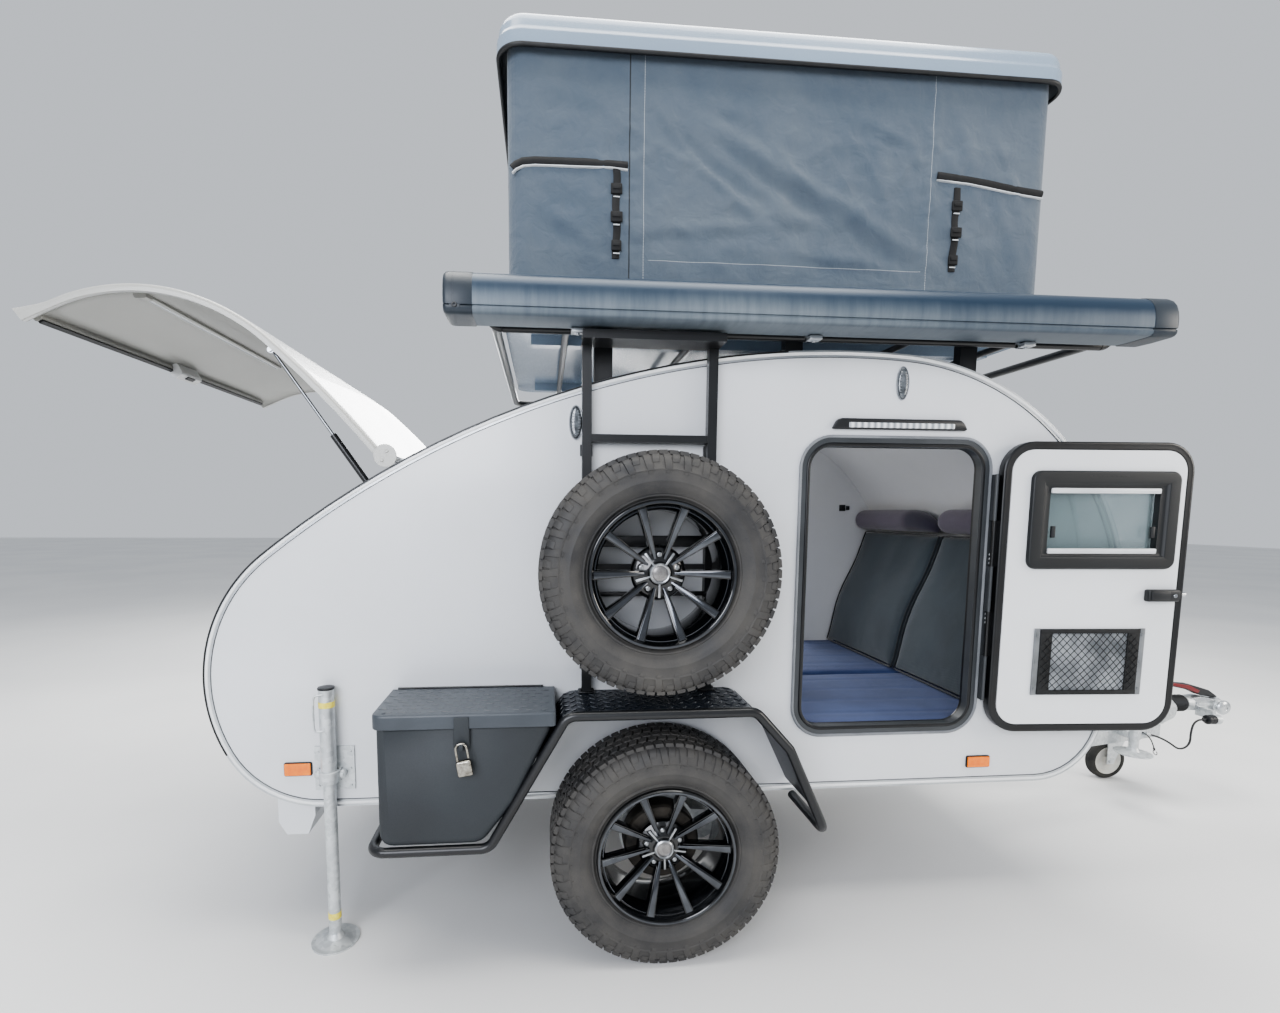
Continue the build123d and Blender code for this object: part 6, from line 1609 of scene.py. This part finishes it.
def lozenge(length, width, rise):
    """One raised lozenge lying flat at the origin, long along X."""
    bpy.ops.object.select_all(action="DESELECT")
    bpy.ops.mesh.primitive_circle_add(vertices=8, radius=0.5, fill_type="NGON")
    piece = bpy.context.object
    piece.data.transform(Matrix.Diagonal((length / 1000, width / 1000, 1, 1)))
    for vertex in piece.data.vertices:
        if abs(vertex.co.x) < length / 2100 and abs(vertex.co.y) < width / 2100:
            vertex.co.y *= 0.82
    pick_all(piece)
    bpy.ops.mesh.extrude_region_move(TRANSFORM_OT_translate={"value": (0, 0, rise / 1000)})
    bpy.ops.transform.resize(value=(0.72, 0.45, 1))
    bpy.ops.object.mode_set(mode="OBJECT")
    return piece


grain = lozenge(31, 9.5, 2.2)
grains = []
for index, (x, z, heading) in enumerate(bent_line(PLATE_LINE, 60, 21)):
    for row in range(index % 2, PLATE_ROWS, 2):
        y = -(795 + row * ROW_PITCH)
        lean = radians(45 if index % 2 else -45)
        on_plate = Matrix.Translation(spot(x - 2 * sin(heading), y, z + 2 * cos(heading)))
        turn = Matrix.Rotation(-heading, 4, "Y") @ Matrix.Rotation(lean, 4, "Z")
        grains.append(copied(grain, "plate_lozenge", on_plate @ turn))
tread_right = settle(joined("fender_tread_right", grains), 20)
bpy.data.objects.remove(grain)
tread_left = copied(tread_right, "fender_tread_left", MIRROR)
for piece in (tread_right, tread_left):
    fit(piece, "trailer", lozenge_painted_highlight)
paint_node("fender_plates", plate_black)
paint_node("fender_tubes", powder_black)

# Toolboxes: grey textured plastic tubs with soft corners, shut by a tray lid of embossed sheet with
# a turned rim, a hasp let into its front and a small combination padlock in nickel plate.
box_plastic = surface("toolbox_textured_grey", "24282C", "2B3034", 260, 2.2, 0.6, 0.35, 0.0, 0.08)
lid_sheet = surface("toolbox_lid_embossed_grey", "363B41", "41474D", 220, 1.8, 0.42, 0.12, 0.0, 0.08)
nickel = surface("padlock_nickel_plate", "A5A29A", "77736C", 12, 0.8, 0.2, 0.03, 1.0, 0.08)


def offset_corners(corners, grow, steps=6):
    """Points round a polygon of (u, v, radius, whether its next edge moves), grown outwards."""
    count = len(corners)
    shifted = []
    for index in range(count):
        u0, v0 = corners[index][:2]
        u1, v1 = corners[(index + 1) % count][:2]
        run = Vector((u1 - u0, v1 - v0)).normalized()
        out = Vector((run.y, -run.x)) * (grow if corners[index][3] else 0)
        shifted.append((Vector((u0, v0)) + out, run))
    points = []
    for index in range(count):
        (at_a, run_a), (at_b, run_b) = shifted[index - 1], shifted[index]
        cross = run_a.x * run_b.y - run_a.y * run_b.x
        along = ((at_b.x - at_a.x) * run_b.y - (at_b.y - at_a.y) * run_b.x) / cross
        corner = at_a + run_a * along
        radius = max(0.8, corners[index][2] + grow)
        half_turn = acos(max(-1, min(1, run_a.dot(run_b)))) / 2
        cut = radius * tan(half_turn)
        first, last = corner - run_a * cut, corner + run_b * cut
        points += [soft_corner(first, corner, last, step / steps) for step in range(steps + 1)]
    return points


BOX_CORNERS = [(-859, 440.6, 46, True), (-562, 440.6, 60, True), (-462, 565, 110, True),
               (-356, 784, 26, True), (-356, 838, 3, False), (-859, 838, 3, True)]
box_layers = [(0, -783.6), (0, -1020), (-1.6, -1031), (-6, -1040), (-13, -1045.6), (-24, -1048)]
tub_rings = [[(p.x, y, p.y) for p in offset_corners(BOX_CORNERS, grow)] for grow, y in box_layers]
tub = lofted("toolbox_tub", tub_rings, True, True, 40)
pick_all(tub)
bpy.ops.mesh.select_all(action="DESELECT")
mesh = bmesh.from_edit_mesh(tub.data)
top_z = spot(0, 0, 837.9).z
bmesh.ops.delete(mesh, geom=[f for f in mesh.faces if all(v.co.z > top_z for v in f.verts)],
                 context="FACES")
bmesh.update_edit_mesh(tub.data)
bpy.ops.object.mode_set(mode="OBJECT")
finished(sheet_of(tub, 0.004), box_plastic)
pin = finished(stick("lid_pin", (-852, -784.3, 843.3), (-380, -784.3, 843.3), 3.3, 14), powder_black)
tub_right = joined("toolbox_tub_right", [tub, pin])
tub_left = copied(tub_right, "toolbox_tub_left", MIRROR)
LID_CORNERS = [(-870, -1057, 40, True), (-341, -1057, 16, True), (-341, -786, 2, True),
               (-870, -786, 2, True)]
lid_layers = [(-2, 798.3), (0, 800), (0, 834), (-0.8, 838.5), (-3.2, 841.4), (-7, 842.3)]
lid_rings = [[(p.x, p.y, z) for p in offset_corners(LID_CORNERS, grow)] for grow, z in lid_layers]
tray_lid = sheet_of(lofted("toolbox_lid", lid_rings, False, True, 35), 0.0025)
emboss = lozenge(30, 9, 1.6)
lid_parts = [tray_lid]
for row in range(8):
    for column in range(12):
        x = -846 + column * 41 + (20 if row % 2 else 0)
        y = -(804 + row * 32)
        if x < -372:
            lid_parts.append(copied(emboss, "lid_lozenge", Matrix.Translation(spot(x, y, 842.2))))
bpy.data.objects.remove(emboss)
lid_parts += [stick("lid_rivet", (x, -1034, 842), (x, -1034, 844), 5, 14) for x in (-836, -376)]
for part in lid_parts:
    finished(part, lid_sheet)
hasp_parts = [block("hasp", (-634, -1058.4, 747), (-592, -1061.2, 834), 1.2),
              block("hasp_rib", (-636, -1057.4, 742), (-632, -1060, 800), 1),
              block("hasp_rib", (-594, -1057.4, 742), (-590, -1060, 800), 1),
              block("hasp_eye", (-619, -1060, 741), (-607, -1078, 759), 2.5)]
for part in hasp_parts:
    finished(part, box_plastic)
lock_parts = [block("padlock_body", (-636, -1062, 664), (-592, -1082, 712), 7, 4)]
DIAL_LINE = [(0, -9), (7.5, -9), (8.4, -8), (8.4, 8), (7.5, 9), (0, 9)]
for step in range(4):
    middle = spot(-598, -1076, 672 + step * 10.5)
    dial = turned("padlock_dial", DIAL_LINE, middle, UP_WAY, 12)
    dial.data.transform(about(middle, Matrix.Diagonal((0.8, 0.8, 0.46, 1))))
    lock_parts.append(dial)
SHACKLE_LINE = [(x, -1072, z) for x, z in ((-630, 700), (-630, 738), (-629, 752), (-622, 760), (-606, 760),
                                           (-599, 752), (-598, 738), (-598, 716))]
lock_parts.append(settle(cord_mesh("padlock_shackle", SHACKLE_LINE, 0.0075), 60))
lean_lock = about(spot(-613, 0, 752), Matrix.Rotation(radians(-9), 4, "Y"))
for part in lock_parts:
    part.data.transform(lean_lock)
    finished(part, nickel)
lid_right = joined("toolbox_lid_embossed_right", lid_parts + hasp_parts + lock_parts)
lid_left = copied(lid_right, "toolbox_lid_embossed_left", MIRROR)
for piece in (tub_right, tub_left):
    fit(piece, "trailer")
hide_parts("toolboxes")
for piece, end in ((lid_right, "right"), (lid_left, "left")):
    fit(piece, f"box_lid_{end}", None, [f"toolbox_lid_{end}"])

# Galvanised steel: hot-dip zinc with frost-like spangle, dulled to a pale grey bloom
galvanised, tree, shader, place = new_material("steel_hot_dip_galvanised")
spangle = node(tree, "TexVoronoi", {"Vector": place, "Scale": 1000 / 13}).outputs["Color"]
spangle_value = node(tree, "RGBToBW", {"Color": spangle})
bloom = node(tree, "TexNoise", {"Vector": place, "Scale": 14.0, "Detail": 6.0})
mixed = node(tree, "Math", {0: spangle_value, 1: bloom}, operation="ADD")
share = node(tree, "MapRange", {"Value": mixed, "From Min": 0.6, "From Max": 1.4})
tone = node(tree, "MixRGB", {"Fac": share, "Color1": linear("B6BABC"), "Color2": linear("D0D3D4")})
feed(shader, {"Base Color": tone,
              "Roughness": node(tree, "MapRange", {"Value": share, "To Min": 0.36, "To Max": 0.56}),
              "Normal": node(tree, "Bump", {"Height": mixed, "Distance": 0.0002, "Strength": 0.35}),
              "Metallic": 0.6})
for name in ("chassis_frame", "drawbar", "axle", "stand_tubes", "rear_leg_right", "rear_leg_left",
             "front_leg", "jockey_tube", "jockey_fork", "coupling_head"):
    paint_node(name, galvanised)

# Rear prop stands: plastic caps, adhesive bands in warning yellow left blank, a sprung wire catch,
# the collar's bolts and the wall plate's screws
band_yellow = surface("warning_band_yellow", "E9DE6E", "DCCB4C", 12, 1.2, 0.45, 0.03)
STAND_X, STAND_Y = -1070, 812
CAP_LINE = [(0, 1.4), (20, 1.2), (24.6, 0.2), (26, -1.5), (26, -6), (25.4, -7)]
BAND_LINE = [(24.1, 0), (24.9, 0.4), (24.9, 18.6), (24.1, 19)]
LOW_BAND_LINE = [(19.6, 0), (20.4, 0.4), (20.4, 21.6), (19.6, 22)]
COLLAR_LINE = [(24.1, 0), (29, 0), (31, 2), (31, 38), (29, 40), (24.1, 40)]
CATCH_LINE = [(-1072, 836, 842), (-1084, 838, 842), (-1098, 840, 838), (-1101, 840, 824), (-1102, 840, 780),
              (-1102, 840, 736), (-1098, 840, 723), (-1086, 838, 722), (-1072, 835, 726)]
COLLAR_BOLT_LINE = [(0, 11), (6, 11), (9.4, 9), (10, 2), (13, 1.6), (13, 0), (0, 0)]
for side, end in ((-1, "right"), (1, "left")):
    axis_at = (STAND_X, side * STAND_Y)
    cap = finished(turned("stand_cap", CAP_LINE, spot(*axis_at, 861), UP_WAY, 32), black_abs)
    band_high = finished(turned("stand_band", BAND_LINE, spot(*axis_at, 796), UP_WAY, 32), band_yellow)
    collar = turned("stand_collar", COLLAR_LINE, spot(*axis_at, 545), UP_WAY, 32)
    catch = cord_mesh("stand_catch", [(x, side * y, z) for x, y, z in CATCH_LINE], 0.007)
    metal = [collar, settle(catch, 60)]
    for z in (637, 522, 580):
        for x in (-1112, -1010):
            metal.append(stick("plate_screw", (x, side * 785.6, z), (x, side * 789.5, z), 4.6, 14, 0.8))
    for x in (-1108, -1034):
        metal.append(turned("collar_bolt", COLLAR_BOLT_LINE, spot(x, side * 800, 566), (0, side, 0), 6))
        metal.append(stick("collar_ear", (x, side * 786, 566), (x, side * 806, 566), 14, 24))
    for part in metal:
        finished(part, galvanised)
    fit(joined(f"stand_fittings_{end}", [cap, band_high] + metal), "trailer")
    low_band = turned(f"leg_band_{end}", LOW_BAND_LINE, spot(*axis_at, 80), UP_WAY, 32)
    fit(low_band, f"leg_rear_{end}", band_yellow)

# Awning: an extruded aluminium case in anthracite with moulded end caps, hung from the rack's arms.
# Its rounded nose carries rain-washed dust; the roller's drive socket sits low in the rear cap.
anthracite, tree, shader, place = new_material("awning_anthracite_powder_coat")
drips = node(tree, "Mapping", {"Vector": place, "Scale": (34.0, 4.0, 4.0)})
run_off = node(tree, "TexNoise", {"Vector": drips, "Scale": 1.6, "Detail": 8.0, "Roughness": 0.6})
run_off = node(tree, "MapRange", {"Value": run_off, "To Min": 0.3, "To Max": 0.72})
haze = node(tree, "TexNoise", {"Vector": place, "Scale": 1.6, "Detail": 5.0})
both_dust = node(tree, "Math", {0: run_off, 1: haze}, operation="MULTIPLY")
face_z = node(tree, "SeparateXYZ", {"Vector": place}).outputs["Z"]
lower_face = node(tree, "MapRange",
                  {"Value": face_z, "From Min": 1.562, "From Max": 1.628, "To Min": 1.0, "To Max": 0.0})
dusty = node(tree, "Math", {0: both_dust, 1: lower_face}, operation="MULTIPLY")
share = node(tree, "MapRange", {"Value": dusty, "From Min": 0.05, "From Max": 0.46})
tone = node(tree, "MixRGB", {"Fac": share, "Color1": linear("1C3043"), "Color2": linear("7D868C")})
feed(shader, {"Base Color": tone,
              "Roughness": node(tree, "MapRange", {"Value": share, "To Min": 0.36, "To Max": 0.62}),
              "Metallic": 0.2})
AWNING_SECTION = [(-853, 1977), (-853, 2104), (-858, 2105), (-900, 2105), (-926, 2102.5), (-946, 2096),
                  (-962, 2085), (-973, 2070), (-980, 2050), (-983, 2026), (-983, 2006), (-982, 1999),
                  (-976.5, 1997.5), (-976.5, 1992.5), (-981.5, 1991), (-980, 1983), (-974, 1977.4),
                  (-964, 1975.4), (-900, 1975)]


def awning_length(name, stations):
    """The case's section at each (x, growth) station, closed at both ends."""
    middle_y, middle_z, half = -918, 2040, 65
    rings = [[(x, y + grow * (y - middle_y) / half, z + grow * (z - middle_z) / half)
              for y, z in AWNING_SECTION] for x, grow in stations]
    return lofted(name, rings, True, True, 42)


case = finished(awning_length("awning_case", [(-574, 0), (-573, 0), (1517, 0), (1518, 0)]), anthracite)
cap_grey = surface("awning_cap_moulded_abs", "1E2730", "273039", 160, 1.2, 0.42, 0.05)
rear_cap = awning_length("awning_rear_cap", [(-655, -9), (-654.2, -5), (-651, -1.4), (-646, 1), (-638, 2),
                                             (-576, 2), (-573, 0.8)])
front_cap = awning_length("awning_front_cap",
                          [(1516, 0.8), (1520, 2), (1586, 2), (1594, 0.8), (1598, -2), (1600, -6)])
step_line = awning_length("awning_cap_seam", [(-628, 2.6), (-626, 2.6)])
DRIVE_LINE = [(0, -6), (7, -6), (7.5, 0), (12, 0), (14.5, 1.4), (14.5, 10), (0, 10)]
EYE_LINE = [(3, 9.5), (7, 9.5), (8, 12), (7, 14), (4, 14), (3, 12), (3, 9.5)]
drive_at = spot(-622, -972, 1996)
drive = turned("awning_drive", DRIVE_LINE, drive_at, (0, -1, 0), 30)
drive_eye = finished(turned("awning_drive_eye", EYE_LINE, drive_at, (0, -1, 0), 24), black_abs)
for part in (rear_cap, front_cap, step_line, drive):
    finished(part, cap_grey)
rail = finished(block("awning_back_rail", (60, -862, 2104), (1180, -856, 2110), 1.4), vinyl_insert)
studs = [finished(stick("rail_stud", (x, -860, 2108), (x, -860, 2113), 5, 14, 0.7), chrome)
         for x in range(150, 1201, 210)]
fit(joined("awning_case_dressed", [case, rear_cap, front_cap, step_line, drive, drive_eye, rail] + studs),
    "trailer", None, ["awning_cassette"])

# Roof rack and spare wheel carrier: welded tube, black powder coat, with clamp blocks of bare aluminium
# under the awning
for name in ("roof_rack", "spare_carrier"):
    paint_node(name, powder_black)
clamps = []
for x in (-270, 476, 1192):
    clamps.append(block("awning_clamp_hook", (x - 20, -880, 1961), (x + 20, -838, 1974.4), 2))
    clamps.append(block("awning_clamp_back", (x - 20, -852, 1961), (x + 20, -838, 2034), 2))
    clamps.append(stick("clamp_bolt", (x, -859, 1962), (x, -859, 1957), 6, 6))
for part in clamps:
    finished(part, anodised)
fit(joined("awning_clamps", clamps), "trailer")
BAR_RADIUS, BEND_RADIUS, BAR_Y, BAR_Z = 12, 40, -772, 1994
carrier_details = [stick("awning_bar", (-505, BAR_Y, BAR_Z), (1535, BAR_Y, BAR_Z), BAR_RADIUS, 20)]
for x, way in ((-505, -1), (1535, 1)):
    rings = []
    for turn_by in [radians(15 * step) for step in range(7)]:
        px, pz = x + way * BEND_RADIUS * sin(turn_by), BAR_Z + BEND_RADIUS * (1 - cos(turn_by))
        rings.append([(px - way * BAR_RADIUS * cos(spin) * sin(turn_by), BAR_Y + BAR_RADIUS * sin(spin),
                       pz + BAR_RADIUS * cos(spin) * cos(turn_by))
                      for spin in [2 * pi * k / 16 for k in range(16)]])
    carrier_details.append(lofted("awning_bar_end", rings, True, True, 40))
carrier_details += [block("carrier_bar", (-232, -817, 1308), (160, -797, 1344), 2),
                    block("carrier_bar", (-232, -815, 1146), (160, -799, 1160), 2)]
FOOT_BOLT_LINE = [(0, 0), (7, 0), (7, 5), (6, 6), (0, 6)]
for x in (-238, 167):
    for z in (918, 1338, 1618):
        for across in (-13, 13):
            ends = (x + across, -781.5, z), (x + across, -785.5, z)
            carrier_details.append(stick("pad_screw", *ends, 4.5, 12))
    carrier_details.append(block("post_foot", (x - 26, -828, 826), (x + 26, -784, 831), 1.5))
    for across in (-19, 19):
        carrier_details.append(turned("foot_bolt", FOOT_BOLT_LINE, spot(x + across, -806, 831), UP_WAY, 6))
for part in carrier_details:
    finished(part, powder_black)
fit(joined("carrier_fixings", carrier_details), "trailer")

# Hitch: galvanised V-shaped drawbar with an overrun coupling. Pleated rubber covers its shaft, a
# black lever with a red catch lies along the top, and friction-pad caps show on both sides.
pleat_rubber = surface("bellows_rubber", "131416", "1D1E20", 50, 1.5, 0.55, 0.08)
catch_red = surface("coupling_catch_red", "7A1E22", "651A1E", 40, 1.2, 0.4, 0.04)
paint_node("bellows", pleat_rubber)


def lever(name, outline_points, half_width, edge):
    """A moulded lever: a side outline of (x, z) places with soft edges, centred on the coupling."""
    corners = [(x, z, 5, True) for x, z in outline_points]
    layers = [(-edge * 1.6, -half_width), (-edge * 0.45, -half_width + edge * 0.35),
              (0, -half_width + edge * 1.2), (0, half_width - edge * 1.2),
              (-edge * 0.45, half_width - edge * 0.35), (-edge * 1.6, half_width)]
    rings = [[(p.x, y, p.y) for p in offset_corners(corners, grow, 4)] for grow, y in layers]
    return lofted(name, rings, True, True, 45)


GRIP_LINE = [(2753, 561), (2900, 530), (2960, 503), (3040, 489), (3064, 491), (3008, 528), (2900, 560),
             (2761, 572)]
INLAY_LINE = [(2796, 556), (2880, 538), (2944, 512), (2956, 528), (2890, 557), (2806, 569)]
lever_parts = [finished(lever("coupling_lever", GRIP_LINE, 22, 4), black_abs),
               finished(lever("coupling_inlay", INLAY_LINE, 23.2, 2), catch_red)]
for x, z in ((2770, 569), (2784, 567.5)):
    lever_parts.append(finished(stick("lever_ridge", (x, -18, z), (x, 18, z), 2.2, 10), black_abs))
fit(joined("coupling_lever", lever_parts), "trailer", None, ["coupling_handle"])
zinc_plate = surface("coupling_zinc_plate", "C4C7C9", "AFB3B6", 60, 1.8, 0.3, 0.06, 0.8, 0.08)
CAP_LINE = [(9, 10.5), (12, 12), (22, 11), (33, 6), (36.5, 1), (36.5, -6), (0, -6)]
CAP_EYE_LINE = [(0, 8), (8, 8), (9.4, 10.6), (10.4, 10.6), (10.4, 4), (0, 4)]
JAW_LINE = [(2905, 428), (3000, 420), (3040, 424), (3062, 452), (3040, 482), (2960, 498), (2905, 492)]
SHAFT_BOLT_LINE = [(0, 7), (9, 7), (11, 5), (11, 0), (0, 0)]
cap_parts = []
for side in (-1, 1):
    middle = spot(3060, side * 53, 445)
    cap_parts += [finished(turned("pad_cap", CAP_LINE, middle, (0, side, 0), 36), zinc_plate),
                  finished(turned("pad_cap_eye", CAP_EYE_LINE, middle, (0, side, 0), 24), black_abs)]
cap_parts.append(finished(lever("coupling_jaw", JAW_LINE, 30, 5), zinc_plate))
for side in (-1, 1):
    bolt_head = turned("shaft_bolt", SHAFT_BOLT_LINE, spot(2935, side * 29.5, 458), (0, side, 0), 6)
    cap_parts.append(finished(bolt_head, zinc_plate))
fit(joined("coupling_fittings", cap_parts), "trailer")

# Overrun housing: pressed side plates with a slot, bolted between the drawbar rails
HOUSING_CORNERS = [
    (2470, 372, 8, True), (2740, 372, 14, True), (2800, 400, 30, True), (2812, 452, 40, True),
    (2760, 506, 36, True), (2560, 506, 40, True), (2470, 420, 20, True)]
HOUSING_NUT_LINE = [(0, 8), (8, 8), (10, 6.5), (10, 1.4), (13, 1.2), (13, 0), (0, 0)]
housing_parts = []
for side in (-1, 1):
    side_plate = stacked("housing_plate",
                         lambda grow: [(p.x, p.y) for p in offset_corners(HOUSING_CORNERS, grow, 4)],
                         sided(side, [(0, 43), (0, 47), (-1.5, 48.5)]))
    housing_parts.append(finished(side_plate, galvanised))
    for x, z in ((2520, 396), (2720, 396), (2740, 470), (2600, 470)):
        nut = turned("housing_nut", HOUSING_NUT_LINE, spot(x, side * 48.5, z), (0, side, 0), 6)
        housing_parts.append(finished(nut, zinc_plate))
fit(joined("overrun_housing", housing_parts), "trailer")

# Jockey wheel: solid rubber tyre on a pressed disc, with a crank grip on top of the mast
JOCKEY = (2645, 160, 100)
solid_rubber = surface("jockey_solid_rubber", "1D1E1F", "34332F", 40, 1.6, 0.75, 0.1)
TYRE_HALF = [(100, -4), (98.6, -5), (98.6, -8), (100, -9), (98, -17), (93, -23), (86, -25), (79, -25),
             (76, -24), (75, -20)]
tyre_line = TYRE_HALF[::-1] + [(radius, -run) for radius, run in TYRE_HALF] + [(75, -20)]
DISC_HALF = [(34, -9), (26, -12), (24, -22), (20, -25), (8.6, -25)]
DISC_OUTER = [(58, -10), (68, -19), (74, -21), (77, -19)]
disc_line = DISC_HALF[::-1] + DISC_OUTER
disc_line += [(radius, -run) for radius, run in reversed(disc_line)] + [(8.6, -25)]
disc_grey = surface("jockey_disc_grey", "C6C5BF", "B0AEA7", 60, 1.5, 0.5, 0.05)
jockey_tyre = finished(turned("jockey_tyre", tyre_line, spot(*JOCKEY), AXLE_WAY, 48), solid_rubber)
jockey_disc = finished(turned("jockey_disc", disc_line, spot(*JOCKEY), AXLE_WAY, 48), disc_grey)
fit(joined("jockey_wheel_dressed", [jockey_tyre, jockey_disc]), "jockey_roller", None,
    ["jockey_wheel"])
GRIP_KNOB_LINE = [(0, 22), (8, 20), (10.5, 12), (9.4, -20), (10, -34), (7, -40), (0, -40)]
grip_knob = turned("jockey_crank_grip", GRIP_KNOB_LINE, spot(2768, 160, 722), UP_WAY, 24)
fit(grip_knob, "trailer", black_abs)
